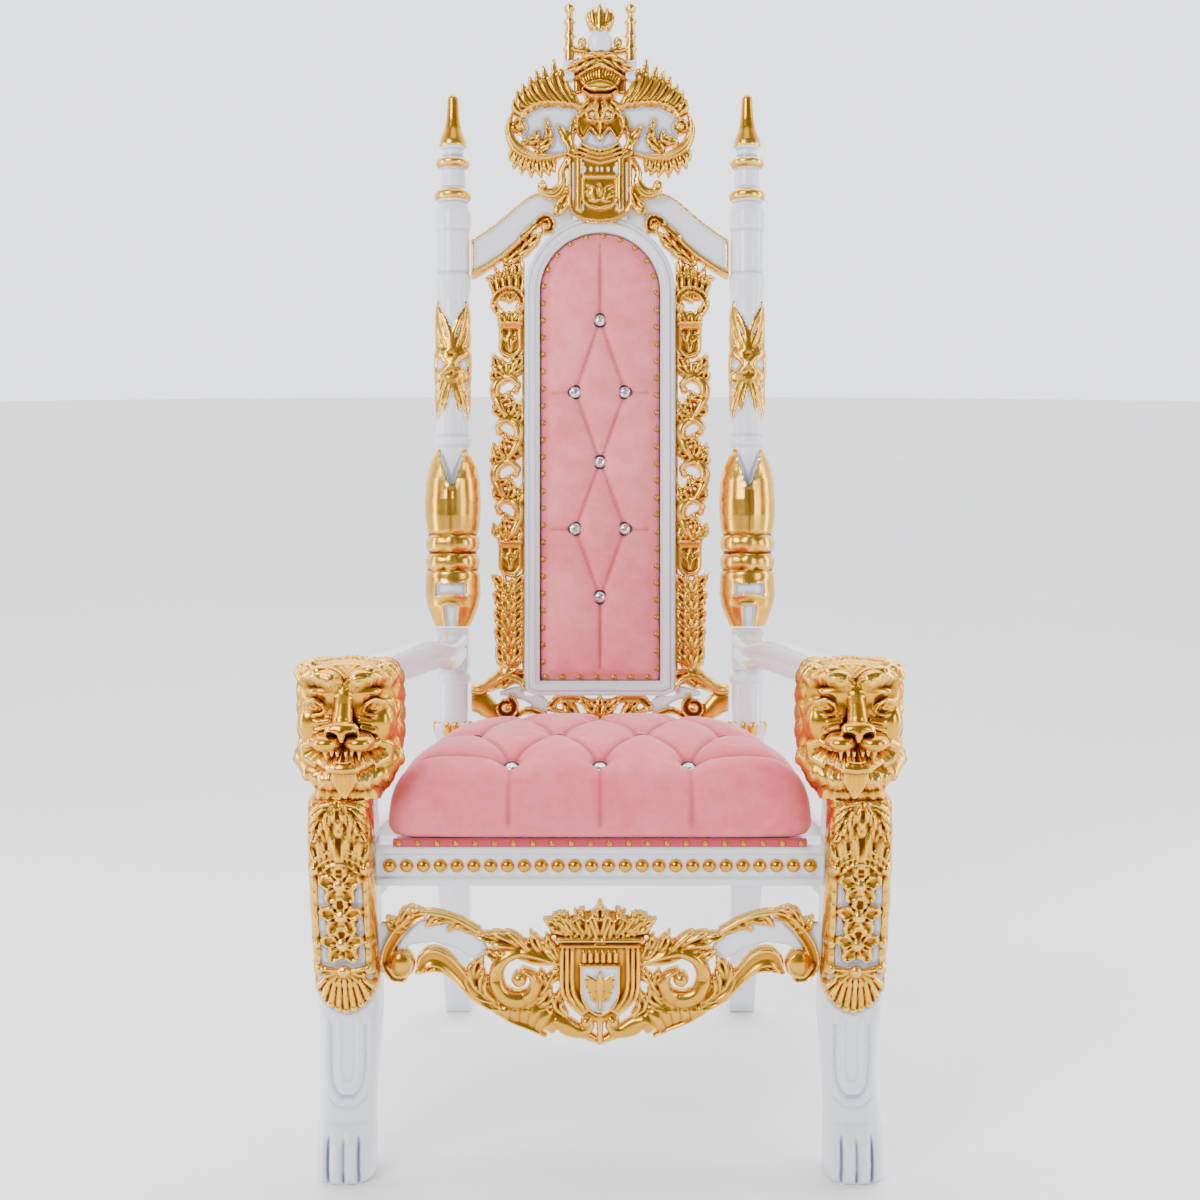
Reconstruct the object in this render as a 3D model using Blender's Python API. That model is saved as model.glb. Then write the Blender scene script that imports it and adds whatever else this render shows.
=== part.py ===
"""A carved lion throne: lacquered and gilded frame, tall raked back, buttoned cushion and back pad.

Sizes are in metres. X runs across, the front faces -Y and Z is up. While it is modelled, y is measured
from the front feet; at the end everything moves so that the origin is the middle of the footprint.
"""
import math

import bpy
import bmesh
import numpy as np
from mathutils import Matrix, Vector

# Whole
GAP = 0.0003                  # between two pieces that touch
RAKE = math.radians(9)        # the back leans this far
TURN_AT = 0.5                 # height where the back starts to lean
BACK_Y = 0.616                # its depth there, to the posts' middle
POST_X = 0.2632               # the posts' middle, out from the centre line
BACK_RISE = 1.3374            # from the turn up to the crest's tip, along the lean
CARVING_DEPTH = 0.00179       # one drawing unit of relief, in the back's boards
CREST_DEPTH = 0.0014          # and in the crest

# The drawing of the back: 147 units from the middle to a post; its tip, arch top and turn, down the sheet
BACK_ACROSS = POST_X / 147.0
DRAWN_TIP = 7.9
DRAWN_ARCH = 217.97
DRAWN_TURN = 754.9

BOARD_CLEARANCE = 1.2         # drawing units that carved boards keep from each other
ARCH_CLEARANCE = 2.0          # and from the arch
FRET_DRAWN_FOOT = 668         # where the drawing's openwork strips end
POST_UNIT = 0.0017906         # one drawing unit of the posts' radius
POST_SIDES = 10

# Back frame and pad
FRAME_OUT = 0.1343            # half width over the frame
FRAME_FACE = 0.0266           # width of its moulding
FRAME_SPRING = 0.827          # where the arch springs, above the turn
FRAME_FOOT = 0.107            # lower edge of the frame
FRAME_BACK = 0.014
FRAME_FRONT = 0.016
PAD_CLEARANCE = 0.0006
PAD_RISE = 0.020              # how far the pad's front stands before the posts' middle plane
COVER_THICKNESS = 0.006
COVER_LAP = 0.008
BOARD_BACK = 0.010            # rear face of the carved boards, behind the same plane
CREST_SEAT = (BOARD_BACK + FRAME_FRONT) / CARVING_DEPTH
ARCH_TOP = FRAME_SPRING + FRAME_OUT

# Seat
RAIL_TOP = 0.512
RAIL_HEIGHT = 0.062
RAIL_FRONT = 0.045
RAIL_THICKNESS = 0.040
RAIL_STEP = 0.006
SIDE_RAIL_HEIGHT = 0.105
SIDE_RAIL_THICKNESS = 0.032
DECK_THICKNESS = 0.010
CUSHION_RISE = 0.123
CUSHION_FRONT = 0.030
CUSHION_REAR = 0.560
CUSHION_HALF_FRONT = 0.316
CUSHION_HALF_REAR = 0.226
BEAD_RADIUS = 0.0105
BEADS = 26

# Front legs, arms and lion heads
LEG_X = 0.3733
LEG_HALF = 0.0463
BEAD_MARGIN = 0.0199          # from a leg's inner face to the first bead's middle
LEG_DEPTH = 0.110
LEG_TOP = 0.590
PAW_HALF = 0.0455
SOLE_ROUNDING = 0.0075        # below this the paw is pressed flat
LEG_ACROSS = 0.00144          # one unit of the leg's drawing across, down and in relief
LEG_DOWN = 0.0015
LEG_RELIEF = 0.0009
LEG_DRAWN_TOP = 805
LEG_DRAWN_AT = 0.583
APRON_REAR = 0.062
APRON_CLEARANCE = 0.0010
APRON_DRAWN_HALF = 222.0      # the apron's drawing: half width, and its top line
APRON_DRAWN_TOP = 904
APRON_TOP = 0.4204
APRON_DOWN = 0.00155
APRON_DEPTH = 0.0012
ARM_WIDTH = 0.056
ARM_HEIGHT = 0.046
ARM_FRONT_X = 0.3300
ARM_FRONT_TOP = 0.772
HEAD_X = 0.3610
HEAD_Y = 0.050
HEAD_Z = 0.705
HEAD_REAR = 0.105
BLOCK_HALF = 0.0286           # half width of the posts' square blocks
REAR_FOOT_HALF = 0.0240
REAR_FOOT_Y = 0.676

# Buttons
BUTTON_RADIUS = 0.013
BUTTON_HEIGHT = 0.009
PIT_CLEARANCE = 0.004
SEAT_PIT = 0.016
PAD_PIT = 0.008

# Grids and the number of triangles that each carved piece keeps
BOARD_CELL = 1.35
FACES_KEPT = {"crest": 940, "apron": 940, "fretwork": 350, "lower_rail": 460, "top_rail": 380,
              "rail_beads": 320, "leg": 520, "head": 580}


for old in list(bpy.data.objects):
    bpy.data.objects.remove(old)


def material(name, colour, roughness, metallic=0.0):
    made = bpy.data.materials.new(name)
    made.use_nodes = True
    shader = made.node_tree.nodes["Principled BSDF"]
    shader.inputs["Base Color"].default_value = (*colour, 1.0)
    shader.inputs["Roughness"].default_value = roughness
    shader.inputs["Metallic"].default_value = metallic
    return made


WHITE = material("white_lacquer", (0.86, 0.88, 0.92), 0.22)
GOLD = material("gold_leaf", (0.95, 0.58, 0.16), 0.28, 1.0)
PINK = material("pink_velvet", (0.86, 0.42, 0.46), 0.85)
CRYSTAL = material("crystal", (0.85, 0.87, 0.9), 0.05)
CLOTH = material("backing_cloth", (0.80, 0.78, 0.78), 0.8)

back_plane = bpy.data.objects.new("back_plane", None)
back_plane.location = (0, BACK_Y, TURN_AT)
back_plane.rotation_euler = (-RAKE, 0, 0)
bpy.context.collection.objects.link(back_plane)
bpy.context.view_layer.update()


def solid(name, points, faces, look, parent=None, smooth=True):
    """An object from points and faces, with its normals made to agree."""
    mesh = bpy.data.meshes.new(name)
    mesh.from_pydata([tuple(p) for p in points], [], [tuple(f) for f in faces])
    mesh.update()
    bm = bmesh.new()
    bm.from_mesh(mesh)
    bmesh.ops.recalc_face_normals(bm, faces=bm.faces)
    bm.to_mesh(mesh)
    bm.free()
    made = bpy.data.objects.new(name, mesh)
    bpy.context.collection.objects.link(made)
    made.parent = parent
    mesh.materials.append(look)
    if smooth:
        mesh.shade_smooth()
        mesh.set_sharp_from_angle(angle=math.radians(40))
    return made


def applied(made):
    """Fixes an object's modifiers in its mesh."""
    bpy.context.view_layer.objects.active = made
    for modifier in list(made.modifiers):
        bpy.ops.object.modifier_apply(modifier=modifier.name)
    return made


def reduced(made, kept):
    """Fewer triangles where the surface is plain."""
    made.data.validate()
    triangles = sum(len(face.vertices) - 2 for face in made.data.polygons)
    modifier = made.modifiers.new("fewer faces", "DECIMATE")
    modifier.ratio = min(1.0, kept / triangles)
    modifier.use_collapse_triangulate = True
    return applied(made)


def lofted(name, rings, look, parent=None):
    """A solid through rings of as many points each, closed by its first and last ring."""
    count = len(rings[0])
    points = [p for ring in rings for p in ring]
    faces = [tuple(range(count))[::-1]]
    for level in range(len(rings) - 1):
        for i in range(count):
            j = (i + 1) % count
            low, high = level * count, (level + 1) * count
            faces.append((low + i, low + j, high + j, high + i))
    faces.append(tuple(range((len(rings) - 1) * count, len(rings) * count)))
    return solid(name, points, faces, look, parent)


def superellipse(half_x, half_y, squareness, count, start=0.0):
    """Points round a section: squareness 2 is an ellipse, larger is squarer."""
    angles = start + np.arange(count) * 2 * np.pi / count
    c, s = np.cos(angles), np.sin(angles)
    return np.column_stack([half_x * np.sign(c) * np.abs(c)**(2 / squareness),
                            half_y * np.sign(s) * np.abs(s)**(2 / squareness)])


def raised(down):
    """How high above the turn, along the lean, a line in the drawing of the back stands."""
    return np.interp(down, (DRAWN_TIP, DRAWN_ARCH, DRAWN_TURN), (BACK_RISE, ARCH_TOP, 0))


def drawn(height):
    """The line in the drawing of the back for a height above the turn."""
    return np.interp(height, (0, ARCH_TOP, BACK_RISE), (DRAWN_TURN, DRAWN_ARCH, DRAWN_TIP))


# Carving: relief drawn as strokes on a grid
def smooth_curve(points, steps=7):
    """A curve through the points, with the widths or other values beside them, as a Catmull-Rom spline."""
    knots = np.asarray(points, float)
    knots = np.vstack([2 * knots[0] - knots[1], knots, 2 * knots[-1] - knots[-2]])
    t = np.linspace(0, 1, steps, endpoint=False)[:, None]
    spans = []
    for a, b, c, d in zip(knots, knots[1:], knots[2:], knots[3:]):
        spans.append(0.5 * (2 * b + (c - a) * t + (2 * a - 5 * b + 4 * c - d) * t**2
                            + (3 * b - a - 3 * c + d) * t**3))
    return np.vstack(spans + [knots[-2:-1]])


class Carving:
    """A carved board in the units of its drawing: x from the middle, y down from the top."""

    def __init__(self, across, down, cell):
        self.cell = cell
        self.x = np.arange(across[0], across[1] + cell, cell)
        self.y = np.arange(down[0], down[1] + cell, cell)
        shape = (len(self.y), len(self.x))
        self.inside = np.full(shape, -9.0)
        self.height = np.zeros(shape)
        self.gilt = np.ones(shape)

    def window(self, low, high):
        """The grid's rows and columns between two corners."""
        cols = slice(*np.searchsorted(self.x, [low[0], high[0]]))
        rows = slice(*np.searchsorted(self.y, [low[1], high[1]]))
        return rows, cols

    def lay(self, window, inside, height, gilt=1.0):
        """Adds a stroke: it widens the outline and shows where it stands highest."""
        self.inside[window] = np.maximum(self.inside[window], inside)
        shows = (inside > 0) & (height > self.height[window])
        self.height[window] = np.where(shows, height, self.height[window])
        self.gilt[window] = np.where(shows, gilt, self.gilt[window])

    def follow(self, points, widths):
        """For each place near a curve: how far off, how far along, the width there and the side."""
        widths = np.broadcast_to(widths, len(points))
        curve = smooth_curve(np.column_stack([points, widths]))
        reach = curve[:, 2].max() + 2 * self.cell
        window = self.window(curve[:, :2].min(0) - reach, curve[:, :2].max(0) + reach)
        x, y = np.meshgrid(self.x[window[1]], self.y[window[0]])
        off = np.full(x.shape, 1e9)
        along = np.zeros(x.shape)
        width = np.full(x.shape, 1e-6)
        side = np.ones(x.shape)
        steps = np.diff(curve[:, :2], axis=0)
        lengths = np.maximum(np.hypot(*steps.T), 1e-9)
        starts = np.concatenate([[0], np.cumsum(lengths)])
        for i, (dx, dy) in enumerate(steps):
            px, py = x - curve[i, 0], y - curve[i, 1]
            t = np.clip((px * dx + py * dy) / lengths[i]**2, 0, 1)
            here = np.hypot(px - t * dx, py - t * dy)
            nearer = here < off
            off = np.where(nearer, here, off)
            along = np.where(nearer, starts[i] + t * lengths[i], along)
            width = np.where(nearer, curve[i, 2] + t * (curve[i + 1, 2] - curve[i, 2]), width)
            side = np.where(nearer, np.sign(dx * py - dy * px), side)
        return window, off, along / starts[-1], np.maximum(width, 1e-3), side, starts[-1]

    def ribbon(self, points, widths, low, high, shape="round", gilt=1.0):
        """A stem, scroll or moulding along a curve, from its edge's height to its crown's."""
        window, off, along, width, side, length = self.follow(points, widths)
        q = np.clip(off / width, 0, 1)
        if shape == "round":
            rise = np.sqrt(1 - q**2)
        elif shape == "flat":
            rise = np.clip((1 - q) * 4, 0, 1)
        elif shape == "rolled":
            rise = np.where(q < 0.66, 0.45 + 0.55 * (q / 0.66)**2,
                            np.sqrt(np.clip(1 - ((q - 0.66) / 0.34)**2, 0, 1)))
        elif shape == "reeded":
            rise = np.sqrt(1 - q**2) * (0.62 + 0.38 * np.abs(np.sin(1.5 * np.pi * (side * q + 1))))
        else:
            rise = np.sqrt(1 - q**2) * (0.66 + 0.34 * np.sqrt(np.abs(np.sin(np.pi * shape * along))))
        self.lay(window, width - off, low + (high - low) * rise, gilt)

    def leaf(self, points, widths, lobes, low, high, cut=0.34, lean=1.7, gilt=1.0):
        """An acanthus leaf along its midrib: lobes lean towards the tip, with a groove between each two."""
        window, off, along, width, side, length = self.follow(points, widths)
        phase = lobes * (along - lean * off / length) + 0.35
        lobe = np.sqrt(np.abs(np.sin(np.pi * phase)))
        edge = width * (1 - cut + cut * lobe)
        q = np.clip(off / edge, 0, 1)
        rib = np.exp(-(off / (0.16 * width + 0.25))**2)
        rise = np.sqrt(1 - q**2) * (0.42 + 0.58 * lobe) * (1 - 0.45 * rib)
        self.lay(window, edge - off, low + (high - low) * rise, gilt)

    def volute(self, centre, radius, start, turns, low, high, width=0.36):
        """A scroll's spiral end, from the angle start inwards to a ball; turns sets the hand."""
        angles = np.radians(start) + np.linspace(0, 2 * np.pi * turns, 14)
        radii = np.linspace(radius * (1 - width), radius * 0.42, 14)
        points = np.column_stack([centre[0] + radii * np.cos(angles), centre[1] + radii * np.sin(angles)])
        self.ribbon(points, np.linspace(radius * width, radius * 0.2, 14), low, high, "rolled")
        self.dome(centre, (radius * 0.42, radius * 0.42), low, high * 1.04)

    def dome(self, centre, radii, low, high, gilt=1.0):
        reach = np.array(radii) + 2 * self.cell
        window = self.window(np.array(centre) - reach, np.array(centre) + reach)
        x, y = np.meshgrid(self.x[window[1]], self.y[window[0]])
        q = np.hypot((x - centre[0]) / radii[0], (y - centre[1]) / radii[1])
        rise = np.sqrt(np.clip(1 - q**2, 0, 1))
        self.lay(window, (1 - q) * min(radii), low + (high - low) * rise, gilt)

    def within(self, corners):
        """How far inside a closed outline each place lies; one drawn from the middle line is doubled."""
        if corners[0][0] == 0 and corners[-1][0] == 0:
            corners = list(corners) + [(-x, y) for x, y in list(corners)[::-1]]
        corners = np.asarray(corners, float)
        x, y = np.meshgrid(self.x, self.y)
        off = np.full(x.shape, 1e9)
        odd = np.zeros(x.shape, bool)
        for (ax, ay), (bx, by) in zip(corners, np.roll(corners, -1, axis=0)):
            dx, dy = bx - ax, by - ay
            t = np.clip(((x - ax) * dx + (y - ay) * dy) / max(dx * dx + dy * dy, 1e-9), 0, 1)
            off = np.minimum(off, np.hypot(x - ax - t * dx, y - ay - t * dy))
            if ay != by:
                odd ^= ((ay > y) != (by > y)) & (x < ax + (y - ay) * dx / dy)
        return np.where(odd, off, -off)

    def panel(self, corners, low, high, bevel=1.0, gilt=1.0):
        """A flat field with a bevelled rim."""
        inside = self.within(corners)
        self.lay((slice(None), slice(None)), inside, low + (high - low) * np.clip(inside / bevel, 0, 1),
                 gilt)

    def groove(self, points, widths, depth):
        """A cut line, which only lowers what is there."""
        window, off, along, width, side, length = self.follow(points, widths)
        cut = depth * np.exp(-(off / width)**2)
        self.height[window] = np.maximum(self.height[window] - cut, np.minimum(self.height[window], 1.5))

    def plumes(self, rib, tips, count, widths, low, high, bend=0.0):
        """Feathers or long leaves side by side, each from a place on the rib to one on the tips' line."""
        rib = smooth_curve(rib)
        tips = smooth_curve(tips)
        for share in (np.arange(count) + 0.5) / count:
            root = rib[int(share * (len(rib) - 1))]
            tip = tips[int(share * (len(tips) - 1))]
            across = np.array([root[1] - tip[1], tip[0] - root[0]]) * bend
            middle = (root + tip) / 2 + across
            self.leaf([root, middle, tip], [widths[0] * 0.7, widths[0], widths[1]], 1, low, high, cut=0.1)

    def mirrored(self):
        """The whole board, when it was drawn from its middle line outwards."""
        whole = Carving.__new__(Carving)
        whole.cell = self.cell
        whole.y = self.y
        whole.x = np.concatenate([-self.x[:0:-1], self.x])
        for field in ("inside", "height", "gilt"):
            half = getattr(self, field)
            setattr(whole, field, np.concatenate([half[:, :0:-1], half], axis=1))
        return whole


def vee(half_width, top, bottom, point):
    """The outline of a shield: straight sides, then a pointed foot."""
    rise = bottom - point
    side = [(half_width, top), (half_width, point)]
    for share in (0.3, 0.6, 0.85):
        side.append((half_width * np.cos(share * np.pi / 2), point + rise * np.sin(share * np.pi / 2)**1.3))
    return side + [(0, bottom)] + [(-x, y) for x, y in side[::-1]]


def carve_crest(c):
    """The crest over the back: small crown, orb, helm, two wings, and a shield on scrolls."""
    spindle = [(9, 1.2), (10, 4), (12.7, 5.6), (15.5, 4.2), (17.5, 2.3), (19.5, 3.4), (21.5, 2.6),
               (24.5, 4.4),
               (26.2, 6), (28, 4.4), (30, 3.9), (38, 4.4), (40.5, 6), (43, 4.3), (50, 4.7), (52.5, 6.6),
               (55.5, 5),
               (65, 5.2)]
    c.ribbon([(30.3, y) for y, w in spindle], [w for y, w in spindle], 7, 13)
    c.panel([(24.4, 64.5), (36.4, 64.5), (36, 88), (24.4, 84)], 8, 13, 1.5, gilt=0)
    c.ribbon([(0, 35), (0, 22), (0, 8.5)], [4.8, 5.6, 1], 9, 17)
    c.ribbon([(5, 34), (7.5, 22), (7, 12.5)], [3, 3.4, 1], 9, 15)
    c.ribbon([(9, 33), (12, 24), (11.2, 15.5)], [2.4, 2.4, 1], 9, 13)
    c.ribbon([(0, 33), (6, 32.2), (10.6, 30)], [2, 1.8, 1.5], 10, 16)
    c.dome((0, 47), (12, 14.5), 8, 17, gilt=0)
    c.volute((16.8, 46.5), 6.2, 100, -0.8, 8, 13)
    c.ribbon([(12, 55), (20, 55), (28, 52.5)], [3.6, 3.2, 3.4], 7, 11)
    c.panel([(0, 60), (26, 66), (26, 98), (0, 98)], 5, 8, 1.5)
    c.leaf([(0, 64), (12, 66.5), (23, 72), (34.5, 76)], [7.5, 7.5, 6, 1.2], 5, 11, 19, cut=0.15)
    c.ribbon([(0, 71.5), (12, 76.5), (22.5, 83)], [2, 1.8, 1.6], 15, 20)
    for share in np.linspace(0.04, 0.96, 8):
        c.ribbon([(21 * share, 74 + 9 * share), (16 * share, 87 + 4.5 * share)], 1.4, 10, 16)
    c.ribbon([(20, 80), (31, 82), (36, 79)], [3.5, 3.2, 2], 7, 12)
    c.ribbon([(0, 87), (9, 88.5), (17, 94)], [1.8, 1.6, 1.2], 14, 20)
    c.dome((0, 96.5), (17.6, 9.6), 10, 24)
    c.ribbon([(0, 104.5), (9, 103), (17.2, 96.5)], [1.6, 1.5, 1.2], 14, 23)
    c.groove([(0, 99.5), (8, 99), (15.5, 95.5)], 1, 8)
    c.leaf([(0, 104), (0, 116), (0, 128)], [8.5, 7, 1], 3, 10, 19, cut=0.2)
    c.leaf([(8, 106), (14, 112), (21.5, 121)], [6, 6.5, 1.5], 3, 9, 16, cut=0.25)
    c.leaf([(2, 124), (9, 124), (14, 118)], [3, 4, 1.5], 2, 9, 17)
    c.panel([(0, 121), (24, 118), (22, 134), (18, 145), (10, 136), (0, 146)], 6, 11, 2)
    c.ribbon([(22, 120), (22.5, 134), (17, 145)], [1.6, 1.6, 1.2], 9, 15)
    c.ribbon([(0, 145), (5, 137), (10, 133), (17, 145)], [1.4, 1.4, 1.4, 1], 10, 15)
    c.ribbon([(0, 129), (0, 145)], [1.2, 1], 10, 15)
    c.panel([(0, 136), (12, 134), (20, 147), (31, 158), (34, 172), (0, 172)], 5, 7.5, 1.5, gilt=0)
    for step in range(4):
        drop = 4 * step
        c.ribbon([(0, 154.5 + drop), (10, 152 + drop), (19 + 3.6 * step, 147.5 + drop * 0.95)],
                 [1.9, 1.9, 1.7], 10, 15 - step * 0.6)
    # The wings: feathers along a rib, a white field, and the leaf scroll that closes them
    c.panel([(20, 111), (50, 107), (72, 113), (80, 125), (78, 140), (66, 152), (46, 160), (28, 160)],
            5, 6.5, 1.5, gilt=0)
    c.plumes([(22, 110), (34, 109), (52, 108.5), (68, 112), (79, 122)],
             [(36, 78), (46, 64.5), (58, 72), (67, 79), (76.5, 89), (83, 97), (87.5, 110)], 8, (5.6, 1.4), 8,
             15, 0.10)
    c.leaf([(22, 111), (27, 102), (31, 91)], [4, 4.6, 1.5], 2, 8, 14, cut=0.2)
    c.ribbon([(19, 112), (34, 109), (52, 108), (66, 110.5), (75, 116), (79, 123)],
             [1.4, 1.6, 1.8, 1.8, 1.6, 1.4], 9, 16)
    c.volute((79, 131), 9, -80, 1.1, 9, 18)
    c.ribbon([(87, 118), (90.5, 130), (88, 143), (80, 153), (66, 160), (48, 161), (31, 157)],
             [1.5, 3.4, 5, 5.6, 4.6, 3.2, 1.4], 8, 16, "reeded")
    c.leaf([(74, 146), (64, 143), (62, 134)], [4.5, 5, 1.6], 3, 8, 15)
    c.leaf([(60, 153), (51, 144), (53, 124)], [5, 5.6, 1.8], 4, 8, 15)
    c.plumes([(84, 151), (72, 158), (58, 161), (44, 160)],
             [(91, 158), (84, 172), (68, 179), (52, 178), (43, 172)], 7, (4.6, 1.6), 6, 13, -0.06)
    c.leaf([(26, 156), (34, 140), (42, 130)], [4.5, 5.5, 1.4], 3, 8, 14)
    c.leaf([(31, 158), (29, 138), (25, 121)], [2, 3.6, 1.2], 2, 8, 13)
    # The shield on its scrolls
    c.panel(vee(31.5, 160, 225, 210), 7, 11, 1.5, gilt=1)
    for x in (24.6, 15):
        c.panel([(x, 165), (x + 3.4, 165), (x + 3.2, 217 - x * 0.2), (x, 219)], 8, 11.6, 1, gilt=0)
    for x in (0.6, 6.8, 13):
        c.panel([(x, 170), (x + 3.4, 170), (x + 3.4, 177), (x, 177)], 8, 11.6, 1, gilt=0)
    for x in (30.4, 22, 19.5):
        c.ribbon([(x, 163), (x, 208 + (31 - x) * 0.6)], 1.5, 10, 15)
    c.ribbon([(0, 225), (16, 222.5), (27, 215), (31, 206)], 1.4, 8, 13)
    c.panel(vee(18.5, 179, 215, 204), 10, 15, 1)
    c.panel(vee(16, 181.5, 211.5, 202), 0, 12.6, 1, gilt=0)
    c.height[(c.within(vee(15.6, 182, 211, 202)) > 0)] = 12.6
    c.dome((0, 195), (3, 8), 11, 17)
    c.plumes([(1, 203), (2, 193)], [(9, 206), (13.5, 197), (12, 187)], 4, (2, 0.8), 12, 16, 0.05)
    c.ribbon([(35, 163), (40, 176), (39, 187), (47, 196), (57, 195)], [2, 2.6, 3.6, 5, 4], 8, 14, "rolled")
    c.volute((56.5, 189), 6.5, 90, -0.9, 8, 15)
    c.leaf([(34, 196), (37, 206), (42, 214)], [3.5, 5.4, 5], 2, 7, 13, cut=0.2)
    c.volute((41.5, 213.5), 6, 180, -0.8, 7, 13)


def carve_apron(c):
    """The apron below the seat: a crowned shield between acanthus scrolls that end in ball volutes."""
    c.panel([(207, 951), (200, 938), (184, 922), (160, 921), (140, 926), (120, 940), (112, 952), (120, 962),
             (130, 960), (146, 950), (169, 944), (191, 947), (204, 956)], 5, 9, 2, gilt=0)
    c.ribbon([(176, 915), (190, 921), (203, 933), (213, 948), (217, 964), (210, 976), (199, 979)],
             [3, 4.5, 5.5, 5.5, 5, 4.5, 3.5], 8, 15, "rolled")
    c.dome((201, 963.5), (13.5, 13.5), 8, 21)
    c.ribbon([(214, 966), (206, 975), (194, 973), (190, 962), (197, 954)], [3, 3.4, 3, 2.4, 1.4], 9, 18)
    c.leaf([(198, 930), (208, 926), (215, 919)], [4, 6.5, 1.6], 3, 8, 14)
    c.leaf([(202, 924), (192, 914), (179, 912)], [5, 6, 1.6], 3, 9, 15)
    c.ribbon([(186, 913.5), (165, 914.5), (145, 920), (123, 932)], [2.8, 2.6, 2.6, 3], 9, 14)
    c.leaf([(150, 921), (164, 920), (174, 926)], [2.6, 5.6, 2], 4, 8, 13)
    c.leaf([(126, 934), (142, 925), (153, 930)], [2.6, 5.4, 2], 4, 8, 13)
    c.ribbon([(184, 972), (178, 962), (169, 958), (157, 962), (145, 973), (132, 988), (118, 1001),
              (103, 1010)],
             [2, 7, 9, 8, 7, 6, 5, 3], 8, 15, "rolled")
    c.ribbon([(186, 974), (170, 971), (158, 973), (145, 983), (130, 998), (112, 1009), (98, 1014)],
             [1.6, 2, 2, 2.2, 2.2, 2, 1.6], 8, 14)
    c.leaf([(106, 1004), (122, 992), (126, 974), (119, 957)], [4, 10, 9, 1.6], 5, 8, 16, cut=0.25)
    c.leaf([(42, 964), (66, 957), (92, 944), (125, 936)], [3, 7, 9.5, 2], 6, 8, 16)
    c.leaf([(46, 962), (60, 951), (70, 933)], [4, 8, 1.6], 3, 9, 17)
    c.leaf([(42, 960), (50, 948), (54, 936)], [4, 5.6, 1.6], 3, 9, 16)
    c.leaf([(88, 957), (104, 958), (117, 951)], [3, 5.6, 1.6], 3, 8, 15)
    c.ribbon([(42, 964), (62, 957), (80, 954), (94, 958), (103, 968), (105, 982), (99, 995), (86, 1001),
              (73, 998), (66, 988), (68, 977), (78, 971)],
             [1.6, 2.6, 3.2, 3.6, 4, 4.4, 4.8, 5, 4.6, 4, 3.4, 2.2], 9, 18, "rolled")
    c.dome((81, 981), (9.5, 9.5), 9, 19)
    c.leaf([(96, 1000), (76, 1009), (56, 1002), (50, 990)], [4, 6.5, 6.5, 2], 5, 7, 14)
    c.leaf([(62, 996), (57, 984), (60, 972)], [4, 6, 2], 3, 8, 15)
    c.leaf([(52, 984), (47, 978), (41, 970)], [3, 5, 3], 2, 7, 13)
    c.ribbon([(110, 1009), (92, 1013), (70, 1016), (52, 1025), (49, 1031)], [3, 7, 10.5, 11, 4], 7, 15, 7)
    c.ribbon([(106, 1014), (90, 1023), (72, 1030), (56, 1037)], [1.6, 2, 2, 2], 7, 13)
    c.leaf([(36, 1016), (43, 1006), (38, 988)], [3.6, 6, 1.6], 2, 7, 14)
    c.ribbon([(44, 1022), (34, 1028), (20, 1033), (10, 1028), (11, 1020)], [5, 8, 6, 4, 3], 8, 15)
    c.dome((14, 1023), (6, 6), 8, 17)
    c.ribbon([(26, 1033), (12, 1038), (0, 1044)], [3, 4, 2.4], 7, 13)
    c.ribbon([(0, 1012), (0, 1044)], [4, 2.4], 9, 14)
    # The foliate crown
    c.panel([(0, 912), (16, 914), (34, 920), (52, 924), (50, 938), (0, 938)], 4, 7, 1.5)
    c.leaf([(0, 936), (0, 922), (0, 906)], [8, 12, 1.4], 3, 9, 18, cut=0.2)
    c.leaf([(14, 936), (18, 924), (20, 911)], [6, 8, 1.4], 3, 8, 16)
    c.leaf([(26, 934), (34, 924), (36, 914)], [6, 7, 1.4], 3, 8, 15)
    c.leaf([(34, 933), (46, 926), (56, 921)], [5, 6.5, 1.4], 4, 8, 14)
    c.leaf([(30, 928), (40, 919), (46, 917)], [4, 5, 2], 2, 8, 14)
    c.ribbon([(0, 920), (7, 916), (14, 921), (20, 917), (28, 922)], 1.4, 12, 18)
    c.dome((0, 904.5), (2.6, 2.6), 9, 15)
    for x in (9, 17, 25, 33, 41):
        c.dome((x, 909 + x * x * 0.006), (2, 2), 8, 13)
    # The shield
    c.panel([(0, 937), (42, 937), (40.5, 948), (39.5, 990), (32, 1004), (20, 1016), (0, 1026)], 8, 12, 2)
    c.ribbon([(0, 940), (42.5, 940)], 2.2, 12, 18)
    c.ribbon([(0, 946), (40.5, 946)], 1.6, 11, 16)
    for x, foot in ((38.4, 989), (33.2, 988), (28, 986)):
        c.ribbon([(x, 950), (x, foot), (x * 0.82, foot + 14), (x * 0.5, foot + 25)], 2.2, 11, 16.5)
    for x in (3.2, 9.6, 16):
        c.ribbon([(x, 953.5), (x, 961)], 2.4, 11, 16)
    c.panel(vee(21.5, 964, 1017, 992), 11, 16.5, 1.2)
    c.height[c.within(vee(18.5, 967, 1012, 991)) > 0] = 13.4
    c.gilt[c.within(vee(18.5, 967, 1012, 991)) > 0] = 0
    c.ribbon([(0, 971), (0, 984), (0, 1008)], [1.4, 3.4, 1.6], 14, 18)
    c.plumes([(1, 992), (2, 980)], [(12, 994), (15.5, 982), (13.5, 972)], 5, (1.8, 0.8), 13.6, 17, 0.06)
    c.leaf([(0, 994), (6, 998), (9, 992)], [2, 3, 1.2], 2, 14, 17)


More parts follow.
